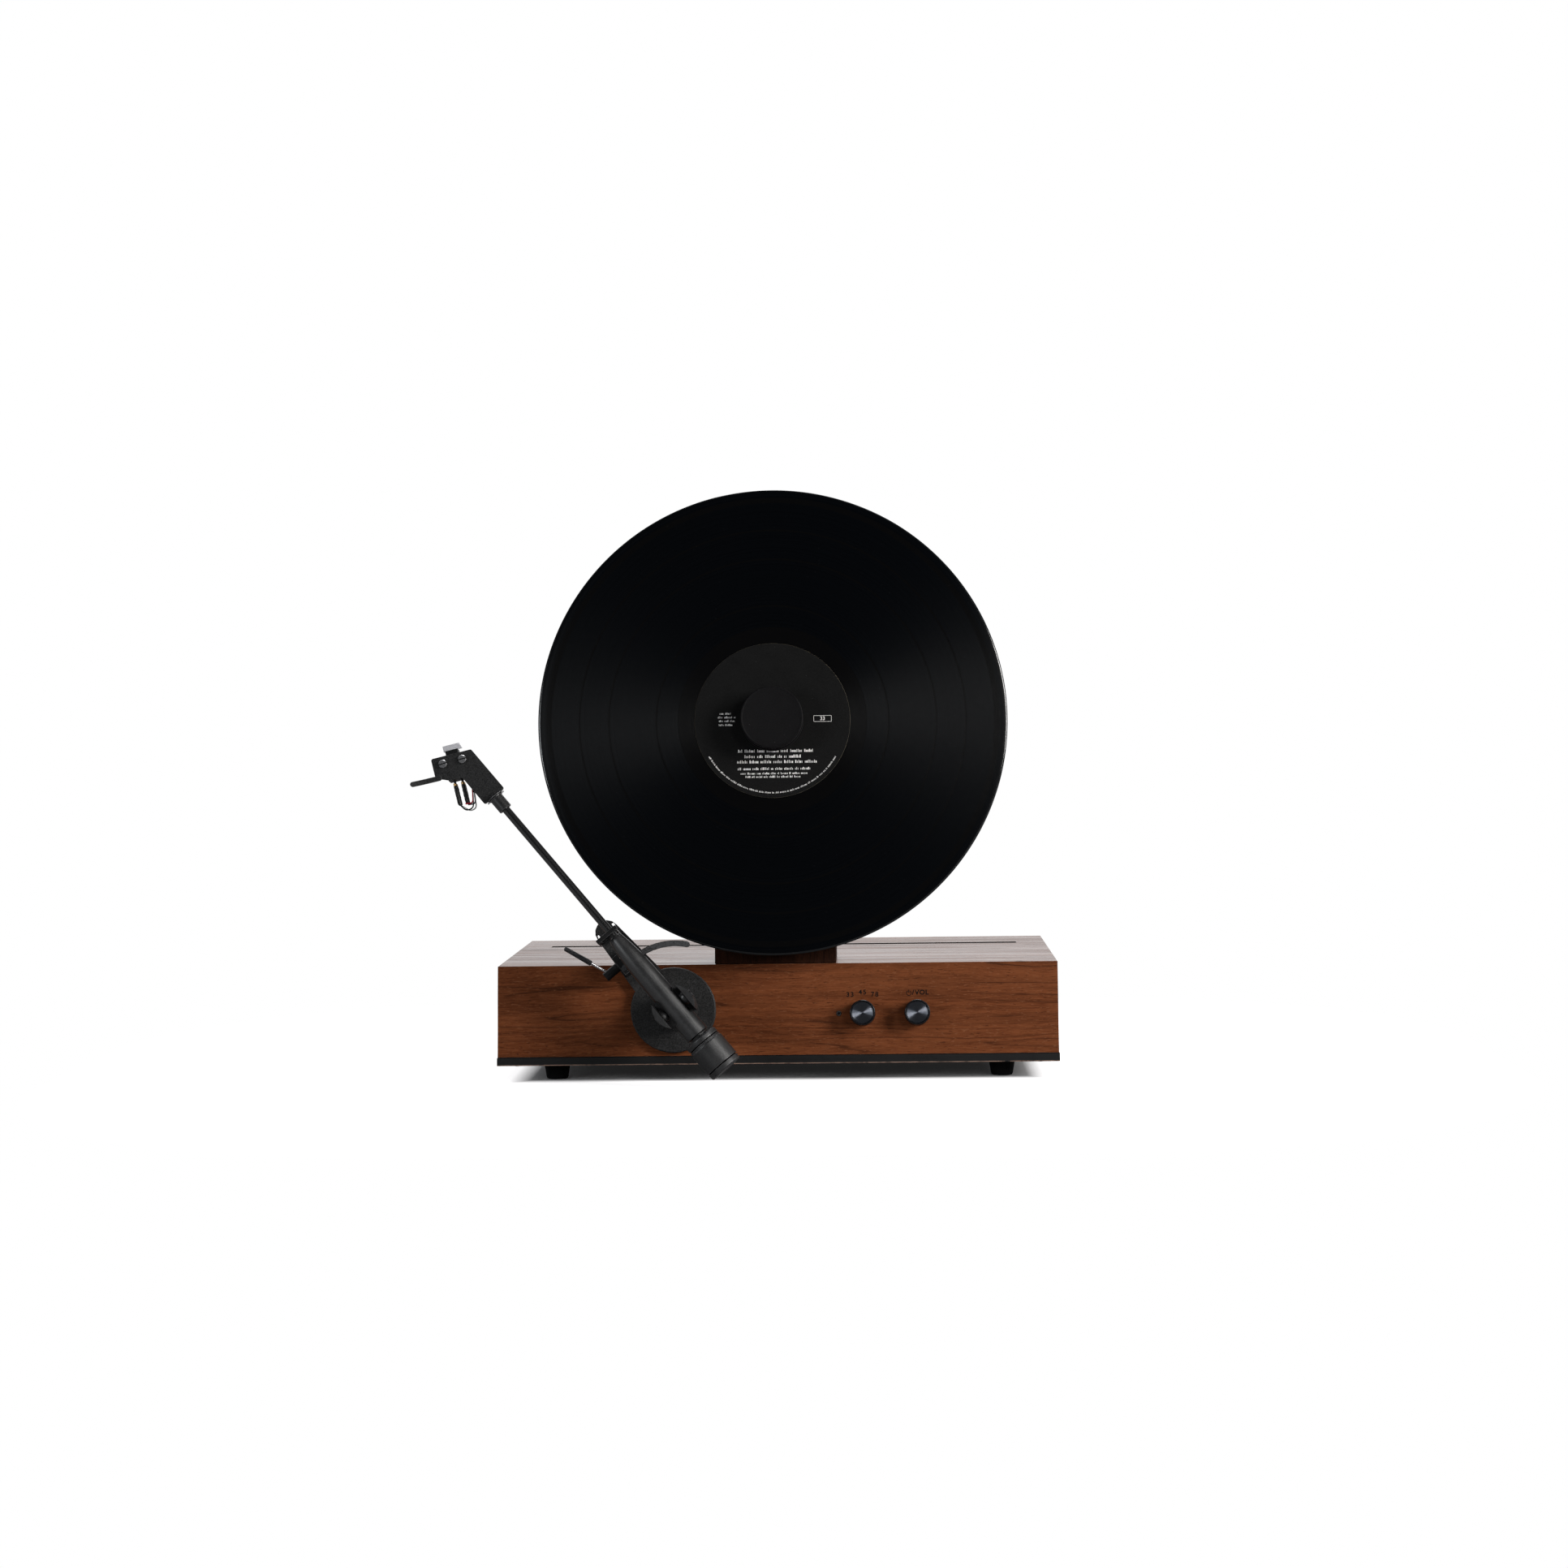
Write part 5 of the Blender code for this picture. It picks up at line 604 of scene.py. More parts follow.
def make_wood_grain():
    """Veneer with its grain along X: broad tone, fibres, wavy dark lines, pores and pale glints of light painted along
    the pores.
    """
    tree, given, result = group(
        "Wood grain",
        [("Vector", "v", (0, 0, 0)), ("Light", "c", (0.2, 0.08, 0.04)), ("Dark", "c", (0.1, 0.04, 0.02)),
         ("Line Colour", "c", (0.03, 0.015, 0.01)), ("Fleck Colour", "c", (0.3, 0.15, 0.1)),
         ("Lines", "f", 0.6), ("Flecks", "f", 0.4), ("Roughness", "f", 0.4), ("Depth", "f", 0.00008)],
        [("Colour", "c"), ("Roughness", "f"), ("Normal", "v"), ("Polish", "f")],
    )

    def stretched(vector, along, across, detail, roughness=0.5):
        return noise(tree, vectors(tree, "MULTIPLY", vector, (along, across, across)), 1.0, detail, roughness)

    sway = maths(tree, "MULTIPLY", maths(tree, "SUBTRACT", stretched(given["Vector"], 9, 20, 3.0), 0.5), 0.010)
    shift = add(tree, "CombineXYZ", None, 0.0, sway, sway).outputs[0]
    bent = vectors(tree, "ADD", given["Vector"], shift)
    quiver = maths(tree, "MULTIPLY", maths(tree, "SUBTRACT", stretched(bent, 60, 160, 2.0), 0.5), 0.0006)
    wavy = vectors(tree, "ADD", bent, add(tree, "CombineXYZ", None, 0.0, quiver, quiver).outputs[0])
    broad = stretched(bent, 3, 42, 3.0)
    fibre = stretched(wavy, 80, 1500, 3.0, 0.7)
    figure = stretched(wavy, 2.0, 70, 1.0)
    strength = stretched(bent, 12, 90, 2.0)
    pore = stretched(wavy, 240, 1300, 2.0)
    speck = stretched(vectors(tree, "ADD", wavy, (0.7, 0.3, 0.2)), 300, 1500, 2.0)
    tone = maths(tree, "ADD", maths(tree, "MULTIPLY", broad, 0.4), maths(tree, "MULTIPLY", fibre, 0.6))
    colour = mixed(tree, ranged(tree, tone, 0.41, 0.59), given["Dark"], given["Light"])
    ridge = maths(tree, "PINGPONG", figure, 0.06)
    lines = maths(tree, "MULTIPLY", ranged(tree, ridge, 0.011, 0.002, 0.0, 0.75), ranged(tree, strength, 0.40, 0.56))
    soft = ranged(tree, ridge, 0.050, 0.004, 0.0, 0.30)
    pores = maths(tree, "MULTIPLY", ranged(tree, pore, 0.60, 0.70), 0.6)
    dark = maths(tree, "MAXIMUM", maths(tree, "MAXIMUM", lines, soft), pores)
    dark = maths(tree, "MULTIPLY", dark, given["Lines"])
    colour = mixed(tree, dark, colour, given["Line Colour"])
    # pale specks painted in as glints of light off the pores
    glints = maths(tree, "MULTIPLY", ranged(tree, speck, 0.61, 0.70), given["Flecks"])
    colour = mixed(tree, glints, colour, given["Fleck Colour"])
    tree.links.new(colour, result["Colour"])
    rough = maths(tree, "ADD", given["Roughness"], ranged(tree, fibre, 0.3, 0.7, -0.08, 0.10))
    tree.links.new(rough, result["Roughness"])
    relief = maths(tree, "SUBTRACT", maths(tree, "MULTIPLY", fibre, 0.6), dark)
    bump = add(tree, "Bump", None, Strength=0.7, Distance=given["Depth"], Height=relief)
    tree.links.new(bump.outputs[0], result["Normal"])
    streak = ranged(tree, stretched(wavy, 4, 130, 3.0, 0.7), 0.38, 0.54, 0.45, 1.0)
    polish = maths(tree, "MULTIPLY", maths(tree, "SUBTRACT", 1.0, dark), streak)
    tree.links.new(polish, result["Polish"])


def start_material(name, **values):
    """Start a Principled material and return it, its tree, its shader and object coordinates."""
    look = bpy.data.materials.new(name)
    look.use_nodes = True
    tree = look.node_tree
    shader = tree.nodes["Principled BSDF"]
    for key, value in values.items():
        shader.inputs[key.replace("_", " ")].default_value = value
    return look, tree, shader, add(tree, "TexCoord").outputs["Object"]


def fine_finish(name, colour, roughness, grain=1500.0, depth=0.00002, speckle=0.2, clouds=0.05, gloss=0.06,
                dust=0.12, spin=False, **values):
    """A blasted, moulded or turned surface: grain, then specks of dust."""
    look, tree, shader, place = start_material(name, **values)
    base = place_group(tree, "Fine grain", Vector=place, Colour=colour, Speckle=speckle, Clouds=clouds,
                       Scale=grain, Depth=depth, Roughness=roughness, Gloss_Spread=gloss)
    tone = base["Colour"]
    if dust:
        tone = place_group(tree, "Dust specks", Vector=place, Colour=tone, Amount=dust)["Colour"]
    tree.links.new(tone, shader.inputs["Base Color"])
    tree.links.new(base["Roughness"], shader.inputs["Roughness"])
    tree.links.new(base["Normal"], shader.inputs["Normal"])
    if spin:
        round_axis = add(tree, "Tangent", {"direction_type": "RADIAL", "axis": "Z"})
        tree.links.new(round_axis.outputs[0], shader.inputs["Tangent"])
        rings = place_group(tree, "Turned rings", Vector=place, Pitch=0.00022, Depth=0.000001)
        tree.links.new(rings["Normal"], shader.inputs["Normal"])
    return look


def edge_wear_and_highlight_finish(name, colour, worn, roughness, worn_roughness, amount=0.8, scale=420.0, **values):
    """The corners of a surface, brighter in patches: partly rubbed wear, partly a painted highlight."""
    look, tree, shader, place = start_material(name, **values)
    base = place_group(tree, "Fine grain", Vector=place, Colour=colour, Speckle=0.3, Depth=0.00002,
                       Roughness=roughness)
    edge = place_group(tree, "Edge wear and painted highlight", Vector=place, Colour=base["Colour"], Worn_Colour=worn,
                       Roughness=base["Roughness"], Worn_Roughness=worn_roughness, Amount=amount, Scale=scale)
    tree.links.new(edge["Colour"], shader.inputs["Base Color"])
    tree.links.new(edge["Roughness"], shader.inputs["Roughness"])
    tree.links.new(base["Normal"], shader.inputs["Normal"])
    return look


def wood_finish(name, colours, turn, lines=0.6, glints=0.35, roughness=0.42, depth=0.00008, shift=(0, 0, 0),
                coat=0.0, **values):
    """Veneer whose grain is turned to run along the piece."""
    look, tree, shader, place = start_material(name, **values)
    laid = add(tree, "Mapping", None, Vector=place, Rotation=turn, Location=shift).outputs[0]
    light, dark, line, glint = colours
    grain = place_group(tree, "Wood grain", Vector=laid, Light=light, Dark=dark, Line_Colour=line,
                        Fleck_Colour=glint, Lines=lines, Flecks=glints, Roughness=roughness, Depth=depth)
    for socket in ("Roughness", "Normal"):
        tree.links.new(grain[socket], shader.inputs[socket])
    tree.links.new(grain["Colour"], shader.inputs["Base Color"])
    if coat:
        tree.links.new(maths(tree, "MULTIPLY", grain["Polish"], coat), shader.inputs["Coat Weight"])
    return look


def record_finish():
    """Pressed vinyl: brushed grooves, smoother track gaps, and a smooth rim and run-out."""
    look, tree, shader, place = start_material(
        "pressed_vinyl", IOR=1.5, Anisotropic=0.8, Anisotropic_Rotation=0.25, Specular_IOR_Level=0.08
    )
    rings = place_group(tree, "Turned rings", Vector=place, Pitch=0.00024, Depth=0.000008)
    radius = rings["Radius"]
    smooth = None
    for middle, half in TRACK_GAPS:
        off = maths(tree, "ABSOLUTE", maths(tree, "SUBTRACT", radius, middle))
        band = ranged(tree, off, half + 0.0002, half - 0.0002)
        smooth = band if smooth is None else maths(tree, "MAXIMUM", smooth, band)
    ring = add(tree, "CombineXYZ", None, maths(tree, "MULTIPLY", radius, 900.0), 0.0, 0.0).outputs[0]
    loudness = noise(tree, ring, 1.0, 4.0, 0.7)
    rough = maths(tree, "ADD", ranged(tree, smooth, 0, 1, 0.40, 0.30), ranged(tree, loudness, 0.3, 0.7, -0.05, 0.07))
    tone = mixed(tree, ranged(tree, loudness, 0.35, 0.65), (0.0007, 0.0010, 0.0015), (0.0014, 0.0019, 0.0027))
    tone = mixed(tree, smooth, tone, (0.0022, 0.0022, 0.0024))
    specks = place_group(tree, "Dust specks", Vector=place, Colour=tone, Dust_Colour=(0.06, 0.06, 0.065),
                         Scale=420.0, Amount=0.30)
    tree.links.new(specks["Colour"], shader.inputs["Base Color"])
    tree.links.new(rough, shader.inputs["Roughness"])
    tree.links.new(rings["Normal"], shader.inputs["Normal"])
    round_axis = add(tree, "Tangent", {"direction_type": "RADIAL", "axis": "Z"})
    tree.links.new(round_axis.outputs[0], shader.inputs["Tangent"])
    return look


def plate_finish():
    """Black painted board with a thin raw line along its lower edge."""
    look, tree, shader, place = start_material("painted_board", Specular_IOR_Level=0.25)
    base = place_group(tree, "Fine grain", Vector=place, Colour=(0.0050, 0.0050, 0.0053), Speckle=0.35,
                       Clouds=0.1, Scale=900.0, Depth=0.00005, Roughness=0.6, Gloss_Spread=0.08)
    height = add(tree, "SeparateXYZ", None, place).outputs[2]
    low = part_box("bottom_plate")[0].z
    edge = ranged(tree, height, low + 0.00075, low + 0.00055)
    worn = noise(tree, vectors(tree, "MULTIPLY", place, (160.0, 60.0, 60.0)), 1.0, 4.0, 0.7)
    share = maths(tree, "MULTIPLY", edge, ranged(tree, worn, 0.34, 0.52))
    facing = add(tree, "SeparateXYZ", None, add(tree, "NewGeometry").outputs["Normal"]).outputs[2]
    side_on = ranged(tree, maths(tree, "ABSOLUTE", facing), 0.9, 0.7)
    tone = mixed(tree, maths(tree, "MULTIPLY", share, side_on), base["Colour"], (0.26, 0.17, 0.13))
    tree.links.new(tone, shader.inputs["Base Color"])
    tree.links.new(base["Roughness"], shader.inputs["Roughness"])
    tree.links.new(base["Normal"], shader.inputs["Normal"])
    return look


looks = {}
# Each finish's corners take a lighter finish: partly rubbed wear, partly a painted highlight along the rims
EDGE_WEAR_AND_HIGHLIGHT = {
    "walnut_front": "walnut_edge", "walnut_side": "walnut_edge", "blasted_metal": "metal_edge",
    "turned_metal": "turned_edge", "satin_black": "turned_edge", "shell_plate": "shell_edge", "knob_side": "knob_edge",
    "moulded_black": "moulded_edge", "disc_black": "disc_edge", "clamp_rubber": "clamp_edge",
    "grey_rubber": "rubber_edge", "label_paper": "label_edge",
}


def finish(name):
    """Return a material by name."""
    return looks[name]


def make_finishes():
    """Build the node groups, then every finish of the object."""
    make_fine_grain()
    make_edge_wear_and_highlight()
    make_dust()
    make_turned_rings()
    make_wood_grain()
    make_wood_finishes()
    make_metal_finishes()
    make_soft_finishes()
    make_small_finishes()
    looks["painted_board"] = plate_finish()
    looks["vinyl"] = record_finish()


def make_wood_finishes():
    """Walnut faces, the pale-lit top and the dark post."""
    colours = bpy.context.scene.player_colours
    light, dark = tuple(colours.walnut_light), tuple(colours.walnut_dark)
    quarter = math.pi / 2
    # The fourth colour of each set paints glints of light along the pores
    walnut = (light, dark, (0.020, 0.0058, 0.0026), (0.26, 0.105, 0.050))
    looks["walnut_front"] = wood_finish("walnut_front", walnut, (0, 0, 0), 0.9, 0.40, 0.5,
                                       Specular_IOR_Level=0.05)
    looks["walnut_side"] = wood_finish("walnut_side", walnut, (0, 0, quarter), 0.9, 0.40, 0.5,
                                       Specular_IOR_Level=0.05)
    # Pale board edges: partly raw chipped edges, partly a painted highlight along them
    looks["walnut_edge"] = edge_wear_and_highlight_finish("walnut_edge", dark, (0.50, 0.34, 0.24), 0.5, 0.6, 1.0, 260.0,
                                         Specular_IOR_Level=0.12)
    top = (tuple(colours.top_light), (0.11, 0.038, 0.018), (0.022, 0.0075, 0.0040), (0.34, 0.19, 0.12))
    looks["walnut_top"] = wood_finish("walnut_top", top, (0, 0, 0), 1.0, 0.4, 0.45, 0.00010, coat=1.0,
                                      Specular_IOR_Level=0.2, Coat_Roughness=0.24, Coat_IOR=1.90)
    post = ((0.035, 0.0130, 0.0070), (0.016, 0.0062, 0.0036), (0.0035, 0.0018, 0.0012), (0.040, 0.017, 0.010))
    looks["post_wood"] = wood_finish("post_wood", post, (0, quarter, 0), 0.8, 0.3, 0.6,
                                     Specular_IOR_Level=0.03)


def make_metal_finishes():
    """Blasted, turned and bright metals."""
    metal = tuple(bpy.context.scene.player_colours.black_metal)
    looks["blasted_metal"] = fine_finish("blasted_metal", metal, 0.39, 1500.0, 0.000010, 0.9, 0.03,
                                         Specular_IOR_Level=1.0)
    # Lighter rims on blasted metal and the lamp's bezel: partly bare worn metal, partly painted highlight and glints
    looks["metal_edge"] = edge_wear_and_highlight_finish("metal_edge", (0.02,) * 3, (0.16, 0.16, 0.165), 0.36, 0.3, 0.7,
                                       Metallic=0.3)
    looks["turned_metal"] = fine_finish("turned_metal", (0.015, 0.015, 0.0155), 0.42, 1700.0, 0.00001, 0.8, 0.02,
                                        Specular_IOR_Level=0.75)
    # Lighter rims on turned and satin metal: partly wear, partly a painted highlight on the rings
    looks["turned_edge"] = edge_wear_and_highlight_finish("turned_edge", (0.016,) * 3, (0.13, 0.13, 0.135), 0.36, 0.3, 0.6,
                                        Metallic=0.2)
    looks["satin_black"] = fine_finish("satin_black", (0.0055, 0.0055, 0.0058), 0.34, 1700.0, 0.000004, 0.5, 0.02,
                                       gloss=0.02, Specular_IOR_Level=0.95)
    looks["shell_plate"] = fine_finish("shell_plate", (0.0165, 0.0165, 0.0168), 0.5, 1400.0, 0.00005, 0.9, 0.04,
                                       Specular_IOR_Level=0.25)
    # Lighter headshell edges: partly wear, partly a painted highlight
    looks["shell_edge"] = edge_wear_and_highlight_finish("shell_edge", (0.012,) * 3, (0.09, 0.09, 0.09), 0.4, 0.32,
                                        Specular_IOR_Level=0.4)
    looks["gloss_black"] = fine_finish("gloss_black", (0.0030, 0.0030, 0.0034), 0.26, 1500.0, 0.000001, 0.1, 0.03,
                                       gloss=0.005, dust=0, Specular_IOR_Level=1.0)
    looks["steel"] = fine_finish("steel", (0.50, 0.50, 0.51), 0.34, 1800.0, 0.000001, 0.08, 0.02, gloss=0.02,
                                 dust=0, Metallic=1.0)
    looks["brass"] = fine_finish("brass", (0.36, 0.22, 0.09), 0.32, 1800.0, 0.000001, 0.08, 0.05, gloss=0.04,
                                 dust=0, Metallic=1.0)
    looks["zinc"] = fine_finish("zinc", (0.40, 0.40, 0.41), 0.42, 900.0, 0.00003, 0.1, 0.2, Metallic=1.0)
    looks["knob_face"] = fine_finish("knob_face", (0.150, 0.162, 0.188), 0.37, 2600.0, speckle=0.05, clouds=0.02,
                                     gloss=0.02, dust=0, spin=True, Metallic=1.0, Anisotropic=1.0,
                                     Anisotropic_Rotation=0.25)
    looks["knob_side"] = fine_finish("knob_side", (0.0028, 0.0028, 0.0036), 0.30, 2600.0, 0.000002, 0.1, dust=0,
                                     Specular_IOR_Level=0.25)
    # Lighter knob rims: partly wear, partly a painted highlight
    looks["knob_edge"] = edge_wear_and_highlight_finish("knob_edge", (0.006, 0.0065, 0.008), (0.05, 0.055, 0.065), 0.25, 0.2, 0.3,
                                       Metallic=0.4)


def make_soft_finishes():
    """Moulded plastic, rubber and paper."""
    plastic = tuple(bpy.context.scene.player_colours.black_plastic)
    looks["moulded_black"] = fine_finish("moulded_black", plastic, 0.48, 1500.0, 0.00006, 0.35,
                                         Specular_IOR_Level=0.2)
    # Lighter moulding edges: partly wear, partly a painted highlight
    looks["moulded_edge"] = edge_wear_and_highlight_finish("moulded_edge", (0.014,) * 3, (0.07, 0.07, 0.072), 0.4, 0.32, 0.7, 160.0,
                                          Specular_IOR_Level=0.4)
    looks["disc_black"] = fine_finish("disc_black", (0.0160, 0.0157, 0.0157), 0.50, 1300.0, 0.00004, 1.5,
                                      Specular_IOR_Level=0.34)
    # Bluish lighter disc rim: a painted rim highlight, with rubbed patches on top
    looks["disc_edge"] = edge_wear_and_highlight_finish("disc_edge", (0.040, 0.043, 0.047), (0.14, 0.15, 0.16), 0.36, 0.3, 0.7, 160.0,
                                     Specular_IOR_Level=0.5)
    looks["rubber"] = fine_finish("rubber", (0.0045, 0.0045, 0.0048), 0.72, 1100.0, 0.00005, 0.3, dust=0.3,
                                  Specular_IOR_Level=0.15)
    looks["clamp_rubber"] = fine_finish("clamp_rubber", (0.0060, 0.0058, 0.0063), 0.55, 1500.0, 0.00008, 0.5,
                                        dust=0.5, Specular_IOR_Level=0.08)
    # Bluish lighter clamp rims: painted ring highlights, with rubbed patches
    looks["clamp_edge"] = edge_wear_and_highlight_finish("clamp_edge", (0.016, 0.017, 0.019), (0.06, 0.063, 0.07), 0.35, 0.3,
                                        Specular_IOR_Level=0.4)
    looks["grey_rubber"] = fine_finish("grey_rubber", (0.038, 0.038, 0.040), 0.6, 1300.0, 0.00020, 1.0, 0.05,
                                       dust=0.2, Specular_IOR_Level=0.4)
    # Lighter rubber edges: partly wear, partly a painted highlight
    looks["rubber_edge"] = edge_wear_and_highlight_finish("rubber_edge", (0.045,) * 3, (0.10, 0.10, 0.103), 0.55, 0.5, 0.6)
    looks["sleeve_grey"] = fine_finish("sleeve_grey", (0.026, 0.026, 0.028), 0.5, 1500.0, 0.00005, 0.3,
                                       Specular_IOR_Level=0.3)
    looks["label_paper"] = fine_finish("label_paper", (0.0062, 0.0062, 0.0062), 0.6, 1800.0, 0.00004, 0.5,
                                       dust=0.3, Specular_IOR_Level=0.08)
    # Warm lighter label rim: a painted rim highlight, with rubbed patches
    looks["label_edge"] = edge_wear_and_highlight_finish("label_edge", (0.03, 0.027, 0.02), (0.14, 0.12, 0.08), 0.5, 0.5)
    looks["print_light"] = fine_finish("print_light", (0.80, 0.79, 0.77), 0.6, 3000.0, 0.000001, 0.1, dust=0)
    looks["print_dark"] = fine_finish("print_dark", (0.006, 0.004, 0.003), 0.6, 3000.0, 0.000001, 0.1, dust=0,
                                      Specular_IOR_Level=0.1)
    # Near-black matte finish painted into slots and grooves as their shade
    looks["painted_recess_shade"] = fine_finish("painted_recess_shade", (0.0020, 0.0016, 0.0013), 0.8, 900.0, 0.00003, 0.4, dust=0,
                                     Specular_IOR_Level=0.02)
    looks["vinyl_rim"] = fine_finish("vinyl_rim", (0.0030, 0.0036, 0.0042), 0.16, 1500.0, 0.000001, 0.1, dust=0.1,
                                     Specular_IOR_Level=0.5)
    looks["nylon"] = fine_finish("nylon", (0.055, 0.055, 0.057), 0.5, 1200.0, 0.00002, 0.15)
    looks["pale_nylon"] = fine_finish("pale_nylon", (0.55, 0.55, 0.56), 0.4, 1500.0, 0.00002, 0.15, dust=0)


def make_small_finishes():
    """Lamp lens, board, wires and the frosted guard."""
    looks["lamp_glass"] = fine_finish("lamp_glass", (0.006, 0.006, 0.008), 0.10, 900.0, 0.000001, 0.1, dust=0,
                                      Coat_Weight=1.0)
    looks["board_green"] = fine_finish("board_green", (0.014, 0.085, 0.035), 0.42, 700.0, 0.00003, 0.2, 0.2)
    for name, colour in (
        ("sleeve_black", (0.0045, 0.0045, 0.0045)), ("wire_red", (0.40, 0.006, 0.022)),
        ("wire_white", (0.62, 0.62, 0.61)), ("wire_green", (0.0045, 0.012, 0.0075)),
        ("wire_blue", (0.0050, 0.0065, 0.016)),
    ):
        looks[name] = fine_finish(name, colour, 0.45, 1800.0, 0.00001, 0.15, dust=0, Specular_IOR_Level=0.25)
    looks["frosted_guard"] = fine_finish("frosted_guard", (0.66, 0.66, 0.69), 0.35, 1100.0, 0.00004, 0.12, dust=0,
                                         Transmission_Weight=0.35)


class PlayerSizes(bpy.types.PropertyGroup):
    """Sizes of the fine pieces."""

    edge_round: FloatProperty(
        name="Edge Round", description="Width of the eased edges of the case", default=0.0004,
        min=0.0, max=0.002, unit="LENGTH", precision=5,
    )
    legend_height: FloatProperty(
        name="Legend Height", description="Height of the figures over the speed knob", default=0.0042,
        min=0.001, max=0.01, unit="LENGTH", precision=5,
    )
    print_thickness: FloatProperty(
        name="Print Thickness", description="Thickness of printed figures", default=0.00004,
        min=0.00001, max=0.0003, unit="LENGTH", precision=6,
    )
    case_screw_radius: FloatProperty(
        name="Case Screw Radius", description="Radius of the case's screw heads", default=0.0028,
        min=0.001, max=0.006, unit="LENGTH", precision=5,
    )
    record_sides: IntProperty(
        name="Record Sides", description="Sides of the record's mesh", default=256, min=64, max=720,
    )
    round_sides: IntProperty(
        name="Round Sides", description="Sides of the other round pieces", default=72, min=24, max=256,
    )


class PlayerColours(bpy.types.PropertyGroup):
    """Colours of the finishes."""

    walnut_light: FloatVectorProperty(
        name="Walnut Light", description="Lighter tone of the walnut", subtype="COLOR", size=3,
        default=(0.186, 0.0565, 0.0205), min=0.0, max=1.0,
    )
    walnut_dark: FloatVectorProperty(
        name="Walnut Dark", description="Darker tone of the walnut", subtype="COLOR", size=3,
        default=(0.104, 0.0290, 0.0100), min=0.0, max=1.0,
    )
    top_light: FloatVectorProperty(
        name="Top Panel", description="Lighter tone of the top panel", subtype="COLOR", size=3,
        default=(0.20, 0.080, 0.040), min=0.0, max=1.0,
    )
    black_metal: FloatVectorProperty(
        name="Black Metal", description="Colour of the tonearm's blasted metal", subtype="COLOR", size=3,
        default=(0.0100, 0.0100, 0.0104), min=0.0, max=1.0,
    )
    black_plastic: FloatVectorProperty(
        name="Black Plastic", description="Colour of the moulded pieces", subtype="COLOR", size=3,
        default=(0.0072, 0.0072, 0.0076), min=0.0, max=1.0,
    )


class PieceOperator:
    """What every operator of the player shares."""

    bl_options = {"REGISTER", "UNDO"}

    def execute(self, context):
        """Build the pieces and report success."""
        self.build(context.scene.player_sizes)
        return {"FINISHED"}


class PLAYER_OT_case(PieceOperator, bpy.types.Operator):
    """Dress the case's panels, plate, trough and bolts"""

    bl_idname = "player.case"
    bl_label = "Case"

    def build(self, sizes):
        """Give the panels their veneer and eased edges."""
        edge = sizes.edge_round
        board_end = ("walnut_side", lambda centre, normal: abs(normal.x) > 0.7)
        dress("front_panel", "walnut_front", edge, plain=lambda normal: abs(normal.z) > 0.35, trims=[board_end])
        low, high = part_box("sleeve_trough")
        middle = (low + high) / 2
        # The slot's walls take the near-black finish: painted shade in the slot
        in_slot = lambda centre, normal: (abs(normal.z) < 0.98 and abs(centre.y - middle.y) < SLOT_WIDTH / 2 + edge
                                          and low.x - edge < centre.x < high.x + edge)
        dress("top_panel", "walnut_top", edge, trims=[board_end, ("painted_recess_shade", in_slot)])
        for side in ("side_panel_left", "side_panel_right"):
            dress(side, "walnut_side", edge, plain=lambda normal: abs(normal.z) > 0.35)
        dress("bottom_plate", "painted_board", edge)
        dress("rear_panel", "moulded_black", edge)
        dress("sleeve_trough", "moulded_black", 0.0002)
        dress("post_bolt_left", "steel", 0.0003)
        dress("post_bolt_right", "steel", 0.0003)
        dress("amplifier_board", "board_green", 0.0001)
        dress("speed_switch", "zinc", 0.0003)
        dress("volume_control", "zinc", 0.0003)


def screw_shape(radius, height, sides=30):
    """Return a domed screw head with a six-sided recess."""

    def hexagon(angle):
        wedge = (angle % (math.pi / 3)) - math.pi / 6
        return radius * 0.42 / math.cos(wedge)

    profile = [(0, height * 0.35), (hexagon, height * 0.35), (hexagon, height * 0.94)]
    profile += [(radius * 0.62, height), (radius * 0.86, height * 0.8), (radius, height * 0.42)]
    profile += [(radius, 0), (0, 0)]
    return turned(profile, sides)


class PLAYER_OT_fasteners(PieceOperator, bpy.types.Operator):
    """Add the screw heads of the rear panel, the plate and the post's cover"""

    bl_idname = "player.fasteners"
    bl_label = "Fasteners"

    def build(self, sizes):
        """Set the screw heads on the outer faces."""
        radius = sizes.case_screw_radius
        low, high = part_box("rear_panel")
        inset = 0.0085
        back = Matrix.Rotation(-math.pi / 2, 4, "X")
        number = 0
        for x in (low.x + inset, (low.x + high.x) / 2, high.x - inset):
            for z in (low.z + inset, high.z - inset):
                number += 1
                place = Matrix.Translation((x, high.y, z)) @ back
                make(f"rear_screw_{number}", screw_shape(radius, 0.0014), place, "steel", "case")
        low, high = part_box("bottom_plate")
        down = Matrix.Rotation(math.pi, 4, "X")
        places = [(low.x + 0.012, low.y + 0.012), (high.x - 0.012, low.y + 0.012),
                  (low.x + 0.012, high.y - 0.012), (high.x - 0.012, high.y - 0.012)]
        for number, (x, y) in enumerate(places, 1):
            place = Matrix.Translation((x, y, low.z)) @ down
            make(f"plate_screw_{number}", screw_shape(radius, 0.0014), place, "steel", "case")
        behind = -0.0533
        turn = deck @ Matrix.Translation((SPINDLE_SIDE, 0, behind)) @ down
        for number, (x, rise) in enumerate(((-0.031, 0.035), (0.031, 0.035), (-0.031, 0.152), (0.031, 0.152)), 1):
            place = turn @ Matrix.Translation((x, -rise, 0))
            make(f"cover_screw_{number}", screw_shape(radius * 0.9, 0.0013), place, "steel", "case")


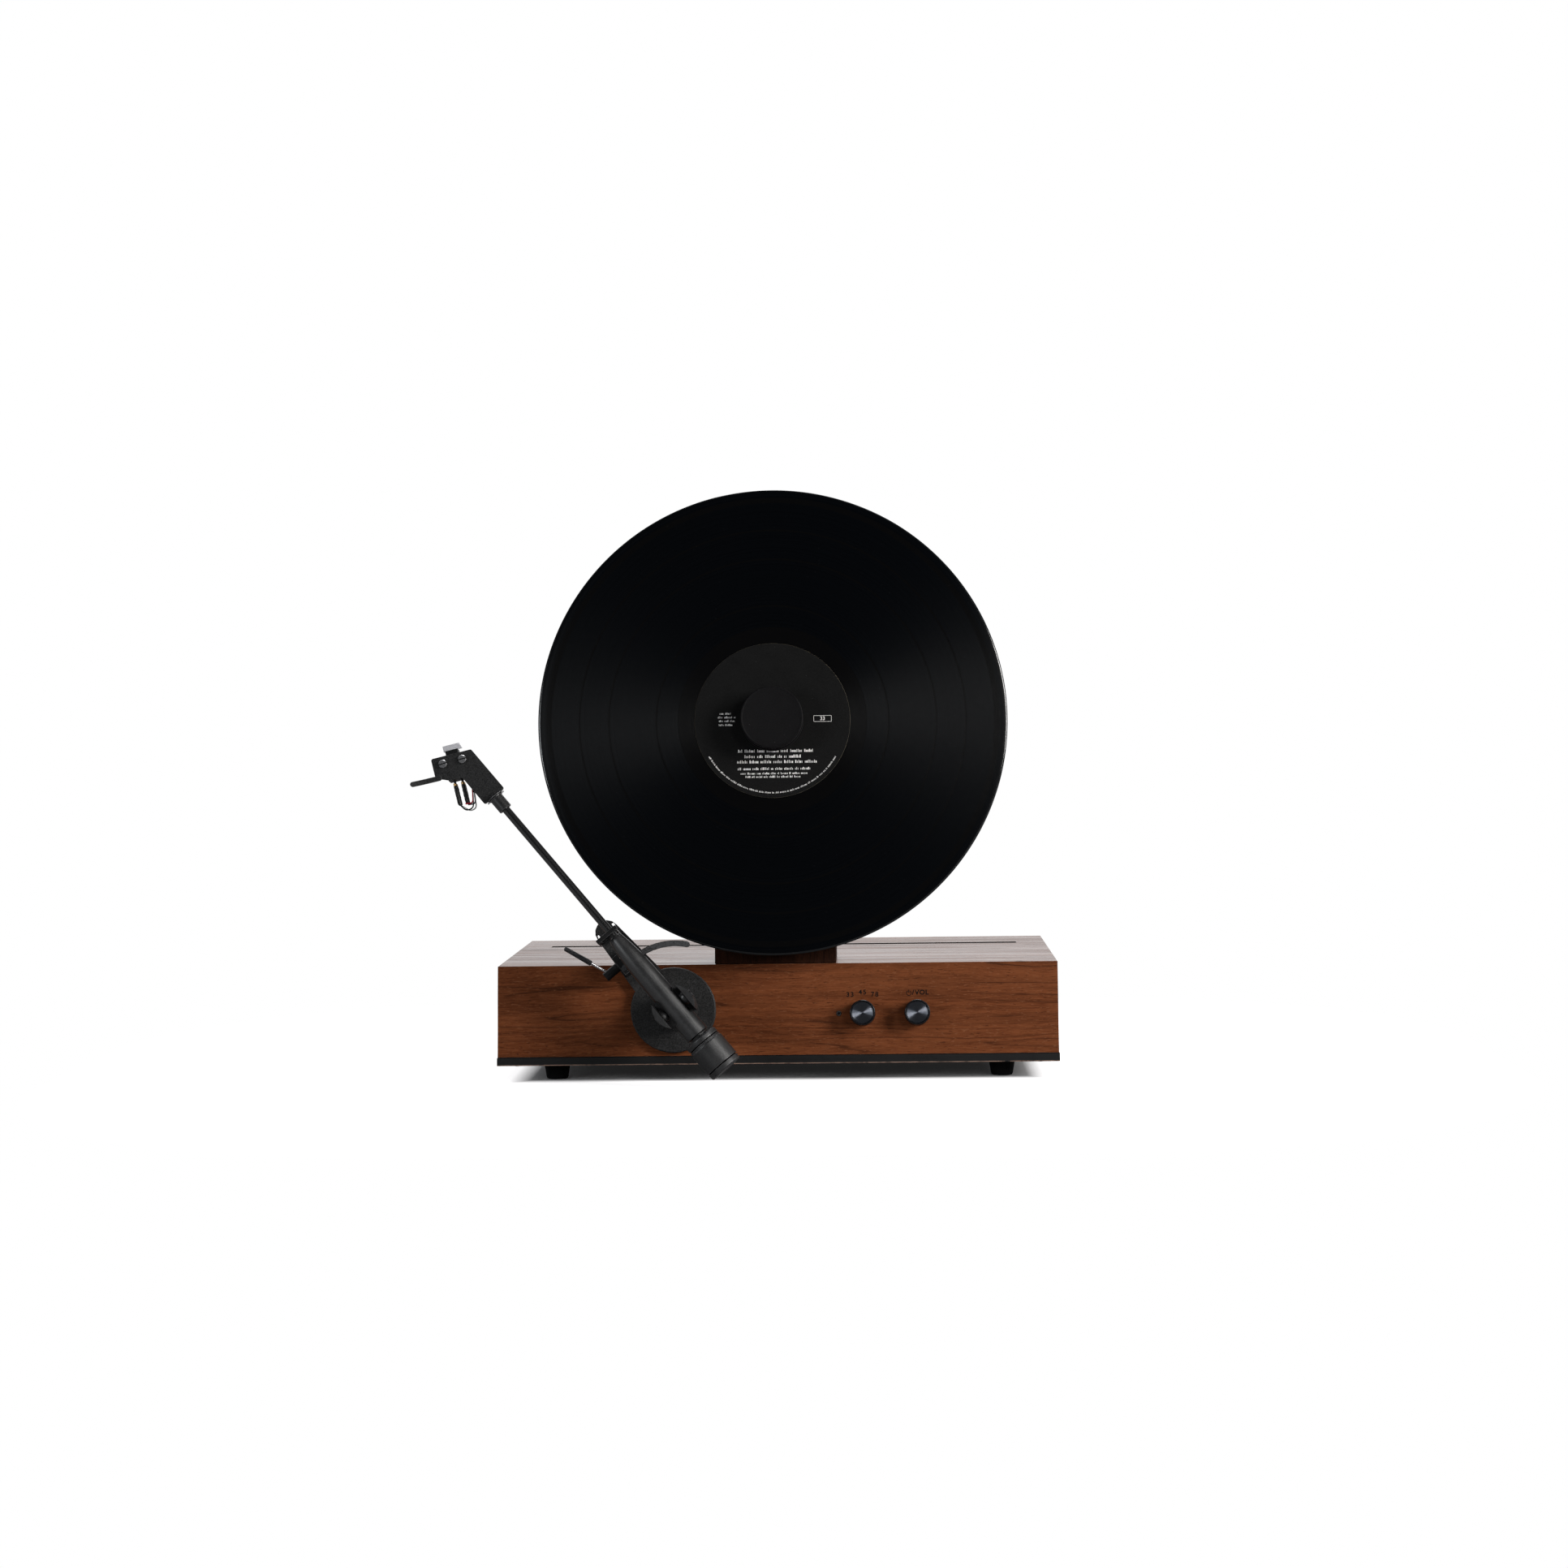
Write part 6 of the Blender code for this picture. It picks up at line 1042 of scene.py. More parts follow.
class PLAYER_OT_feet(PieceOperator, bpy.types.Operator):
    """Build the rubber feet with their fixing screws"""

    bl_idname = "player.feet"
    bl_label = "Feet"

    def build(self, sizes):
        """Turn each foot with soft edges and a stepped recess."""
        for name in ("front_left", "front_right", "rear_left", "rear_right"):
            node = "foot_" + name
            low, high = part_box(node)
            centre = (low + high) / 2
            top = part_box("bottom_plate")[0].z - GAP
            stem = high.z
            wide, narrow = FOOT_RADII
            profile = [
                (0, 0.0025), (0.0046, 0.0025), (0.0046, 0), (narrow - 0.0006, 0), (narrow, 0.0010),
                (wide, top - 0.0008), (wide, top), (0.0032, top), (0.0032, stem), (0, stem),
            ]
            shape = turned(eased(profile, 0.0008), sizes.round_sides)
            place = Matrix.Translation((centre.x, centre.y, 0))
            make(node + "_rubber", shape, place, "rubber", "case", node)
            down = place @ Matrix.Translation((0, 0, 0.0025)) @ Matrix.Rotation(math.pi, 4, "X")
            make(node + "_screw", screw_shape(0.0028, 0.0014), down, "steel", "case")


class PLAYER_OT_post(PieceOperator, bpy.types.Operator):
    """Dress the post and its cover"""

    bl_idname = "player.post"
    bl_label = "Post"

    def build(self, sizes):
        """Give the post its dark vertical grain."""
        dress("post_shell", "post_wood", 0.0006)
        dress("post_cover", "moulded_black", 0.0004)


def ribbed(radius, depth, count):
    """Return a radius that rises and falls round the axis."""
    return lambda angle: radius - depth * (0.5 - 0.5 * math.cos(angle * count)) ** 2


class PLAYER_OT_rear_fittings(PieceOperator, bpy.types.Operator):
    """Build the line jacks, the power inlet and the loudspeaker terminals"""

    bl_idname = "player.rear_fittings"
    bl_label = "Rear Fittings"

    def build(self, sizes):
        """Dress the sockets and add their coloured caps and rings."""
        dress("line_jacks", "brass", 0.0002)
        dress("power_inlet", "moulded_black", 0.0002)
        dress("speaker_terminals", "moulded_black", 0.0003)
        back = Matrix.Rotation(-math.pi / 2, 4, "X")
        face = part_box("rear_panel")[1].y
        height = 0.0400
        for number, (side, look) in enumerate(((-0.0375, "wire_white"), (-0.0225, "wire_red")), 1):
            place = Matrix.Translation((CASE_CENTRE + side, face, height)) @ back
            ring = [(0.0044, 0.0016), (0.0060, 0.0016), (0.0060, 0.0030), (0.0044, 0.0030)]
            make(f"jack_ring_{number}", turned(ring, sizes.round_sides), place, look, "case")
        for number in range(4):
            place = Matrix.Translation((CASE_CENTRE + 0.0500 + 0.0190 * number, face, height)) @ back
            look = "wire_red" if number % 2 else "sleeve_black"
            grip, low, top = ribbed(0.0060, 0.0005, 16), 0.0041, 0.0166
            profile = [(0.0053, low), (grip, low + 0.0004), (grip, top - 0.0008), (0.0053, top)]
            make(f"terminal_cap_{number + 1}", turned(profile, 128), place, look, "case")
        place = Matrix.Translation((CASE_CENTRE - 0.1150, face, height)) @ back
        ring = [(0.0078, 0.0004), (0.0094, 0.0004), (0.0092, 0.0012), (0.0078, 0.0012)]
        make("inlet_ring", turned(ring, sizes.round_sides), place, "zinc", "case")


class PLAYER_OT_marks(PieceOperator, bpy.types.Operator):
    """Print the speed figures and the volume mark on the front panel"""

    bl_idname = "player.marks"
    bl_label = "Front Marks"

    def build(self, sizes):
        """Lay the printed figures on the leaning front."""
        size, thick = sizes.legend_height, sizes.print_thickness
        for name, text, x, y, scale in (
            ("speed_33", "33", 0.0468, -0.0203, 1.0), ("speed_45", "45", 0.0548, -0.0188, 1.0),
            ("speed_78", "78", 0.0626, -0.0203, 1.0), ("volume_stroke", "/", 0.0872, -0.0193, 1.05),
            ("volume_mark", "VOL", 0.0928, -0.0193, 1.0),
        ):
            place = deck @ Matrix.Translation((x, y, 0))
            wide = 1.15 if text == "VOL" else 1.30
            word(name, text, size * scale, place, "print_dark", "case", thick, spread=wide,
                 bold=0.00015 if text == "VOL" else 0.00011)
        radius, stroke = 0.00150, 0.00022
        outer = arc((0, 0), radius + stroke, math.radians(116), math.radians(424), 40)
        inner = arc((0, 0), radius - stroke, math.radians(424), math.radians(116), 40)
        shape = slab(outer + inner, 0, thick)
        bar = [(-stroke, 0.0002), (stroke, 0.0002), (stroke, radius * 1.4), (-stroke, radius * 1.4)]
        place = deck @ Matrix.Translation((0.0845, -0.0196, 0))
        make("power_mark", joined(shape, slab(bar, 0, thick)), place, "print_dark", "case")


class PLAYER_OT_knobs(PieceOperator, bpy.types.Operator):
    """Build the speed and volume knobs and the lamp"""

    bl_idname = "player.knobs"
    bl_label = "Knobs and Lamp"

    def build(self, sizes):
        """Turn the knobs with spun faces and rims lighter with wear and a painted highlight."""
        sides = sizes.round_sides
        face = GAP + KNOB_HEIGHT
        rim = KNOB_RADIUS - 0.0002
        inner = rim - 0.0011
        profile = [
            (0, face - 0.0006), (inner - 0.0003, face - 0.0006), (inner, face - 0.0003), (inner + 0.0001, face),
            (rim - 0.0003, face), (rim, face - 0.0004), (KNOB_RADIUS, GAP), (0.0030, GAP),
            (0.0030, GAP - 0.0190), (0, GAP - 0.0190),
        ]
        for name, side in (("speed", SPEED_KNOB_SIDE), ("volume", VOLUME_KNOB_SIDE)):
            shape = turned([profile[0]] + eased(profile[1:], 0.00012, 2), sides)
            place = deck @ Matrix.Translation((side, -KNOB_DROP, 0))
            flat = lambda centre, normal: normal.z > 0.9 and centre.xy.length < inner - 0.0004
            make(name + "_knob_turned", shape, place, "knob_side", name, name + "_knob",
                 trims=[("knob_face", flat)])
        ring = 0.0008
        lens = [(0, -0.0004), (ring - 0.0002, -0.0003), (ring, 0), (ring + 0.00015, 0.0003),
                (LAMP_RADIUS - 0.0003, 0.0003), (LAMP_RADIUS, 0), (LAMP_RADIUS, -0.0180), (0, -0.0180)]
        place = deck @ Matrix.Translation((LAMP_SIDE, -KNOB_DROP, 0))
        # The bezel takes the lighter metal edge finish: painted glints round the lens
        bezel = lambda centre, normal: centre.z > -0.00001 and centre.xy.length > ring
        make("status_lamp_lens", turned(lens, 40), place, "lamp_glass", "case", "status_lamp",
             trims=[("metal_edge", bezel)])


class PLAYER_OT_record(PieceOperator, bpy.types.Operator):
    """Build the record with its grooves and label"""

    bl_idname = "player.record"
    bl_label = "Record"

    def build(self, sizes):
        """Turn the record, its label and the label's plain print."""
        front, back = RECORD_FRONT, RECORD_LEVEL
        groove = front - 0.0002
        bore = SPINDLE_TIP_RADIUS + GAP
        profile = [(bore, front - 0.0004), (LABEL_RADIUS + GAP, front - 0.0004), (LABEL_RADIUS + GAP, groove)]
        edge = 0.0609
        profile += [(edge - 0.0003, groove), (edge, groove + 0.00006)]
        for middle in (0.0745, 0.1050, 0.1240):
            profile += [(middle - 0.0009, groove + 0.00006), (middle - 0.0006, groove),
                        (middle + 0.0006, groove), (middle + 0.0009, groove + 0.00006)]
        profile += [(0.1413, groove + 0.00006), (0.1416, groove), (0.1463, groove)]
        profile += [(0.1472, front - 0.00005), (0.1485, front), (0.1495, front - 0.0001), (0.1503, front - 0.0005),
                    (RECORD_RADIUS - 0.00015, front - 0.0010), (0.1503, back + 0.0005), (0.1495, back + 0.0001),
                    (0.1480, back)]
        profile += [(0.1463, back + 0.0002), (LABEL_RADIUS, back + 0.0002), (LABEL_RADIUS, back), (bore, back)]
        shape = turned(profile, sizes.record_sides)
        rim = lambda centre, normal: centre.xy.length > 0.1492
        make("record_pressing", shape, spindle, "vinyl", "platter_assembly", "vinyl_record", smooth=50,
             trims=[("vinyl_rim", rim)])
        top = LABEL_TOP
        label = [(bore, top), (LABEL_RADIUS - 0.0001, top), (LABEL_RADIUS, top - 0.0001),
                 (LABEL_RADIUS, top - 0.0002), (bore, top - 0.0002)]
        make("record_label_disc", turned(label, sizes.record_sides), spindle, "label_paper", "platter_assembly",
             "record_label")
        self.print_label(sizes)

    def print_label(self, sizes):
        """Plain figures and rules, in a layout of their own."""
        thick = 0.00003
        body, slot = "platter_assembly", "label_paper"
        top = spindle @ Matrix.Translation((0, 0, LABEL_TOP))
        frame = rounded_box(0.0115, 0.0041, 0.0004)
        hole = inset_outline(frame, 0.00025)
        badge = joined(*(
            slab([frame[step - 1], frame[step], hole[step], hole[step - 1]], 0, thick) for step in range(len(frame))
        ))
        make("label_badge", badge, top @ Matrix.Translation((0.0322, 0.0008, 0)), "print_light", body)
        word("label_speed", "33", 0.0034, top @ Matrix.Translation((0.0322, 0.0008, 0)), "print_light", body,
             thick, bold=0.00006)
        random.seed(3)
        for number, (y, width, height) in enumerate((
                (-0.0197, 0.0435, 0.0019), (-0.0233, 0.0354, 0.0019), (-0.0267, 0.0450, 0.0019),
                (-0.0312, 0.0443, 0.0016), (-0.0342, 0.0407, 0.0013), (-0.0364, 0.0346, 0.0013)), 1):
            strokes = self.dummy_line(width, height, lambda along: Matrix.Translation((along, y, 0)))
            make(f"label_line_{number}", strokes, top, "print_light", body)
        for number, (y, width) in enumerate(((0.0047, 0.0080), (0.0023, 0.0104), (-0.0001, 0.0086),
                                             (-0.0027, 0.0090)), 1):
            strokes = self.dummy_line(width, 0.0013, lambda along: Matrix.Translation((along - 0.0297, y, 0)))
            make(f"label_note_{number}", strokes, top, "print_light", body)
        turn = lambda along: Matrix.Rotation(along / 0.0466, 4, "Z") @ Matrix.Translation((0, -0.0466, 0))
        make("label_arc", self.dummy_line(0.0980, 0.0011, turn), top, "print_light", body)

    def dummy_line(self, width, height, place):
        """Small upright strokes grouped like words, which spell nothing."""
        shapes, along = [], -width / 2
        while along < width / 2:
            for letter in range(random.randint(2, 8)):
                tall = height * random.choice((0.7, 0.7, 1.0))
                wide = height * random.choice((0.10, 0.10, 0.20))
                block = slab([(-wide, -height / 2), (wide, -height / 2), (wide, tall - height / 2),
                              (-wide, tall - height / 2)], 0, 0.00003)
                shapes.append(moved(block, place(along)))
                along += height * 0.52
            along += height * 0.60
        return joined(*shapes)


class PLAYER_OT_clamp(PieceOperator, bpy.types.Operator):
    """Build the record clamp"""

    bl_idname = "player.clamp"
    bl_label = "Clamp"

    def build(self, sizes):
        """Turn the clamp with its dished face and waisted grip."""
        low, top, radius = CLAMP_LOW, CLAMP_LOW + CLAMP_HEIGHT, CLAMP_RADIUS
        inner, waist = radius - 0.0012, radius - 0.0010
        bore = SPINDLE_TIP_RADIUS + GAP
        tip = CLAMP_LOW + 0.0105
        grip = ribbed(waist, 0.00025, 60)
        profile = [
            (0, top - 0.0004), (inner - 0.0006, top - 0.0004), (inner, top - 0.00005), (radius - 0.0006, top),
            (radius - 0.0001, top - 0.0004), (radius, top - 0.0012), (radius - 0.0001, top - 0.0020),
            (grip, top - 0.0030), (grip, low + 0.0030), (radius - 0.0001, low + 0.0020), (radius, low + 0.0012),
            (radius - 0.0003, low), (bore, low), (bore, tip + GAP), (0, tip + GAP),
        ]
        make("clamp_puck", turned(profile, 240), spindle, "clamp_rubber", "clamp", "record_clamp")


class PLAYER_OT_drive(PieceOperator, bpy.types.Operator):
    """Dress the platter and the belt drive inside the post"""

    bl_idname = "player.drive"
    bl_label = "Drive"

    def build(self, sizes):
        """Give the drive's solids their finishes."""
        for name, look, edge in (
            ("bearing_housing", "turned_metal", 0.0003), ("spindle", "steel", 0.0002),
            ("platter", "turned_metal", 0.0004), ("platter_mat", "rubber", 0.0002),
            ("driven_pulley", "nylon", 0.0002), ("drive_motor", "zinc", 0.0003),
            ("motor_pulley", "brass", 0.0001), ("drive_belt", "rubber", 0.0001),
        ):
            dress(name, look, edge)


class PLAYER_OT_arm_base(PieceOperator, bpy.types.Operator):
    """Dress the tonearm's base, rest, clip, pillar and nut"""

    bl_idname = "player.arm_base"
    bl_label = "Tonearm Base"

    def build(self, sizes):
        """Ease the edges of the moulding, the clip, the nut and the pillar."""
        dress("arm_base", "disc_black", 0.0004, segments=4)
        dress("arm_clip", "moulded_black", 0.0003)
        dress("arm_nut", "steel", 0.0004)
        dress("arm_pillar", "blasted_metal", 0.0004)


class PLAYER_OT_yoke(PieceOperator, bpy.types.Operator):
    """Dress the yoke and its pivot screws"""

    bl_idname = "player.yoke"
    bl_label = "Yoke"

    def build(self, sizes):
        """Ease the edges of the ears and of the pivot screws."""
        dress("gimbal_yoke", "blasted_metal", 0.0003, segments=4)
        dress("pivot_screw_left", "turned_metal", 0.0002)
        dress("pivot_screw_right", "turned_metal", 0.0002)


def housing_profile():
    """Return the wand housing's outer profile along the arm, nose first."""
    points = []
    for index in range(25):
        share = index / 24
        growth = 1 - (1 - share) ** HOUSING_NOSE_POWER
        radius = HOUSING_FRONT_RADIUS + (HOUSING_FULL_RADIUS - HOUSING_FRONT_RADIUS) * growth
        points.append((radius, HOUSING_FRONT - HOUSING_NOSE * share))
    slope = (HOUSING_REAR_RADIUS - HOUSING_FULL_RADIUS) / (HOUSING_FRONT - HOUSING_NOSE + HOUSING_REAR)
    start = HOUSING_FRONT - HOUSING_NOSE
    reach = HOUSING_FLAT_REACH
    for place in (0.0150, reach + 0.00005, reach, 0.0050, 0, -0.0050, -reach, -reach - 0.00005, -0.0150):
        points.append((HOUSING_FULL_RADIUS + slope * (start - place), place))
    points.append((HOUSING_REAR_RADIUS, -HOUSING_REAR))
    return points


class PLAYER_OT_wand(PieceOperator, bpy.types.Operator):
    """Build the wand's housing, tube, collar and rear stub"""

    bl_idname = "player.wand"
    bl_label = "Wand"

    def build(self, sizes):
        """Turn the wand's pieces along the arm."""
        sides = sizes.round_sides
        along = lift @ ALONG_ARM
        bore = TUBE_RADIUS + GAP
        outer = housing_profile()
        front, rear = HOUSING_FRONT, -HOUSING_REAR
        profile = [(0, front - 0.0290), (bore, front - 0.0290), (bore, front - 0.0002), (bore + 0.0003, front)]
        profile += [(outer[0][0] - 0.0004, front), (outer[0][0] - 0.0001, front - 0.0002)] + outer[1:-1]
        profile += [(outer[-1][0], rear + 0.0003), (outer[-1][0] - 0.0003, rear), (0.0043, rear),
                    (0.0043, rear + 0.0113), (0, rear + 0.0113)]
        shape = turned(profile, sides)
        for vertex in shape.verts:
            if abs(vertex.co.z) <= HOUSING_FLAT_REACH + 0.00001:
                vertex.co.x = max(-HOUSING_FLAT, min(HOUSING_FLAT, vertex.co.x))
        make("wand_housing", shape, along, "blasted_metal", "wand", "arm_housing")
        start = front - 0.0287
        tube = [(0, start), (TUBE_RADIUS, start), (TUBE_RADIUS, COLLAR_START + 0.0055), (0, COLLAR_START + 0.0055)]
        make("wand_tube", turned(tube, 48), along, "gloss_black", "wand", "arm_tube")
        radius, lip = COLLAR_RADIUS, COLLAR_RADIUS + 0.0005
        collar = [
            (bore, COLLAR_START), (radius - 0.0002, COLLAR_START), (radius, COLLAR_START + 0.0003),
            (radius, COLLAR_END - 0.0010), (lip - 0.0001, COLLAR_END - 0.0008), (lip, COLLAR_END - 0.0006),
            (lip, COLLAR_END - 0.0001), (lip - 0.0001, COLLAR_END), (bore, COLLAR_END),
        ]
        make("collar_turned", turned(collar, sides), along, "satin_black", "wand", "shell_collar")
        dress("rear_stub", "turned_metal", 0.0002)


class PLAYER_OT_headshell(PieceOperator, bpy.types.Operator):
    """Dress the headshell and its finger lift, and build the slotted screws"""

    bl_idname = "player.headshell"
    bl_label = "Headshell"

    def build(self, sizes):
        """Ease the plate's edges and set the two slotted screws."""
        dress("headshell", "shell_plate", 0.0003, angle=50, segments=4)
        self.finger_lift()
        start = (COLLAR_END + SHELL_START) / 2
        washer = [(0.0031, start - 0.0003), (0.0056, start - 0.0003), (0.0057, start - 0.0001),
                  (0.0057, start + 0.0001), (0.0056, start + 0.0003), (0.0031, start + 0.0003)]
        make("shell_washer", turned(washer, 48), lift @ ALONG_ARM, "satin_black", "wand")
        for name, side in (("left", -1), ("right", 1)):
            tab = slab(rounded_box(0.0018, 0.0009, 0.0003), -0.0006, 0.0006, 0.00015)
            place = lift @ Matrix.Translation((side * 0.0057, SHELL_START - 0.0011, 0))
            make("shell_tab_" + name, tab, place, "pale_nylon", "wand")
        seat = SHELL_TOP + GAP
        radius, height = 0.00265, 0.0016
        end = SHELL_LOW - GAP - 0.0014
        for name, side, turn in (("left", -1, 4), ("right", 1, 1)):
            profile = [
                (0, seat + height), (radius - 0.0004, seat + height), (radius, seat + height - 0.0004),
                (radius, seat + 0.0001), (radius - 0.0001, seat), (0.0012, seat), (0.0012, end), (0, end),
            ]
            shape = turned([profile[0]] + eased(profile[1:], 0.0002), 56)
            spin = Matrix.Rotation(math.radians(turn), 4, "Z")
            place = cartridge @ Matrix.Translation((side * SCREW_SPACING / 2, 0, 0)) @ spin
            screw = make("shell_screw_" + name, shape, place, "steel", "wand", "cartridge_screw_" + name)
            slot = slab([(-0.004, -0.0003), (0.004, -0.0003), (0.004, 0.0003), (-0.004, 0.0003)],
                        seat + height * 0.45, seat + height + 0.001)
            carve(screw, slot)
            # The slot's deep faces take the near-black finish: painted shade in the slot
            screw.data.materials.append(finish("painted_recess_shade"))
            for polygon in screw.data.polygons:
                deep = seat + height * 0.4 < polygon.center.z < seat + height - 0.0001
                if deep and abs(polygon.center.y) < 0.00035 and abs(polygon.center.x) < radius:
                    polygon.material_index = len(screw.data.materials) - 1

    def finger_lift(self):
        """A flat bar with round ends, laid over the plate's far corner and bent up at its tip."""
        low, half = SHELL_TOP + GAP, FINGER_WIDTH / 2
        root = -SHELL_FACE_WIDTH / 2 + FINGER_ROOT
        inner, outer = root + 0.0012 - half, root - FINGER_LENGTH + half
        steps = 12
        outline = arc((inner, FINGER_PLACE), half, -math.pi / 2, math.pi / 2, 12)
        outline += [(inner + (outer - inner) * step / steps, FINGER_PLACE + half) for step in range(1, steps)]
        outline += arc((outer, FINGER_PLACE), half, math.pi / 2, math.pi * 1.5, 12)
        outline += [(outer + (inner - outer) * step / steps, FINGER_PLACE - half) for step in range(1, steps)]
        bar = slab(outline, low, low + FINGER_THICKNESS, 0.0002)
        faces = [face for face in bar.faces if len(face.verts) > 4]
        bmesh.ops.triangulate(bar, faces=faces, ngon_method="BEAUTY")
        for vertex in bar.verts:
            share = max(0.0, (root - vertex.co.x) / FINGER_LENGTH)
            vertex.co.z += FINGER_RISE * share * share
        make("finger_lift_bar", moved(bar, cartridge), Matrix(), "shell_plate", "wand", "finger_lift")


def curve_through(knots, steps):
    """Return points on a Catmull-Rom curve through the knots."""
    padded = [knots[0] * 2 - knots[1]] + knots + [knots[-1] * 2 - knots[-2]]
    points = []
    for a, b, c, d in zip(padded, padded[1:], padded[2:], padded[3:]):
        for step in range(steps):
            t = step / steps
            points.append(0.5 * (b * 2 + (c - a) * t + (a * 2 - b * 5 + c * 4 - d) * t * t
                                 + (b * 3 - a - c * 3 + d) * t ** 3))
    points.append(knots[-1])
    return points


def from_arm(point):
    """Turn a point of the arm's frame into the cartridge's frame."""
    middle = shell_middle()
    return Matrix.Rotation(SHELL_OFFSET_ANGLE, 3, "Z") @ (Vector(point) - Vector((middle.x, middle.y, 0)))


class PLAYER_OT_cartridge(PieceOperator, bpy.types.Operator):
    """Dress the cartridge and build its leads"""

    bl_idname = "player.cartridge"
    bl_label = "Cartridge"

    ROUTE = ((-0.0182, 0.0070, -0.0062), (-0.0142, 0.0056, -0.0062), (-0.0108, 0.0094, -0.0058),
             (-0.0076, 0.0133, -0.0052), (-0.0030, 0.0140, -0.0046))
    SPREAD = ((-0.0012, -0.0010, 0.0008), (0.0004, -0.0024, -0.0010), (0.0010, 0.0022, 0.0012),
              (0.0022, 0.0008, -0.0006))

    def build(self, sizes):
        """Four leads with sleeves and terminals run from the pins to the headshell's boss."""
        dress("cartridge_body", "moulded_black", 0.0003)
        dress("stylus_holder", "moulded_black", 0.0002)
        guard = [(-0.0056, 0.0092), (0.0066, 0.0092), (0.0052, 0.0132), (-0.0056, 0.0132)]
        make("stylus_guard", slab(guard, -0.0135, -0.0127, 0.0002), cartridge, "frosted_guard", "wand")
        colours = ("wire_green", "wire_white", "wire_red", "wire_blue")
        number = 0
        for side in (-PIN_SIDE, PIN_SIDE):
            for level in PIN_LEVELS:
                self.lead(number, side, level, colours[number])
                number += 1
        start, end = self.bundle()
        shape = swept([from_arm(start), from_arm(end)], [0.0011, 0.0011], 16)
        make("lead_bundle", shape, cartridge, "sleeve_black", "wand")

    def bundle(self):
        """Return both ends of the bundle that enters the boss, in the arm's frame."""
        level = SHELL_LOW - GAP - 0.0011
        near = Vector((0, SHELL_START + 0.0039, level))
        return near + Vector((0, 0.0045, 0)), near

    def lead(self, number, side, level, colour):
        """One lead: terminal on the pin, shrunk sleeve, then the thin wire."""
        start = -PIN_REAR - GAP
        sleeve_end = start - 0.0125
        knots = [Vector((side, sleeve_end, level))]
        spread = Vector(self.SPREAD[number])
        for place, point in enumerate(self.ROUTE):
            keep = 1 - place / len(self.ROUTE)
            knots.append(from_arm(Vector(point) + Vector((0, SHELL_START, 0)) + spread * keep))
        knots.append(from_arm(self.bundle()[0] - Vector((0, 0.00225, 0)) + spread * 0.2))
        line = curve_through(knots, 8)
        wire = swept(line, [0.00045] * len(line), 12)
        replaced = "cartridge_leads" if number == 0 else ()
        make(f"lead_wire_{number + 1}", wire, cartridge, colour, "wand", replaced)
        backwards = Matrix.Translation((side, start, level)) @ Matrix.Rotation(math.pi / 2, 4, "X")
        random.seed(number + 7)
        sleeve = [(0.0006, 0), (0.0012, 0.0001)]
        for step in range(1, 12):
            sleeve.append((0.00128 + random.uniform(-0.0001, 0.0001), 0.0125 * step / 12))
        sleeve += [(0.0011, 0.0124), (0.0006, 0.0125)]
        make(f"lead_sleeve_{number + 1}", turned(sleeve, 24), cartridge @ backwards, "sleeve_black", "wand")
        clip = [(0.0007, -0.0016), (0.0010, -0.0016), (0.0011, -0.0012), (0.0011, 0.0003), (0.0007, 0.0003)]
        make(f"lead_clip_{number + 1}", turned(clip, 24), cartridge @ backwards, "brass", "wand")


class PLAYER_OT_counterweight(PieceOperator, bpy.types.Operator):
    """Build the counterweight"""

    bl_idname = "player.counterweight"
    bl_label = "Counterweight"

    def build(self, sizes):
        """Turn the weight with its two rings and grooves."""
        front = -HOUSING_REAR - GAP - 0.0016 - GAP
        end = front - 0.0256
        ring, groove, full = 0.0112, 0.0106, 0.01167
        first, second = front - 0.0034, front - 0.0041
        body, rear = front - 0.0057, end + 0.0036
        bore = 0.0047 + GAP + 0.0015 + GAP
        profile = [
            (bore, front), (ring - 0.0008, front), (ring, front - 0.0008), (ring, first), (groove, first),
            (groove, second), (ring, second), (ring, body), (full, body - 0.0005), (full, rear + 0.0007),
            (groove, rear + 0.0007), (groove, rear), (ring, rear), (ring, end + 0.0008), (ring - 0.0008, end),
            (0, end),
        ]
        inside = [(0, end + 0.0040), (bore, end + 0.0040)]
        shape = turned(inside + eased(profile, 0.00025, 2), sizes.round_sides + 24)
        # The grooves' faces take the near-black finish: painted shade in the grooves
        for face in shape.faces:
            middle = face.calc_center_median()
            if 0.0100 < middle.xy.length < 0.0109 and end + 0.001 < middle.z < front - 0.001:
                face.material_index = 2
        keep = [("painted_recess_shade", lambda centre, normal: False)]
        make("weight_turned", moved(shape, lift @ ALONG_ARM), Matrix(), "turned_metal", "weight", "counterweight",
             trims=keep)
        dress("weight_bush", "nylon", 0.0002)


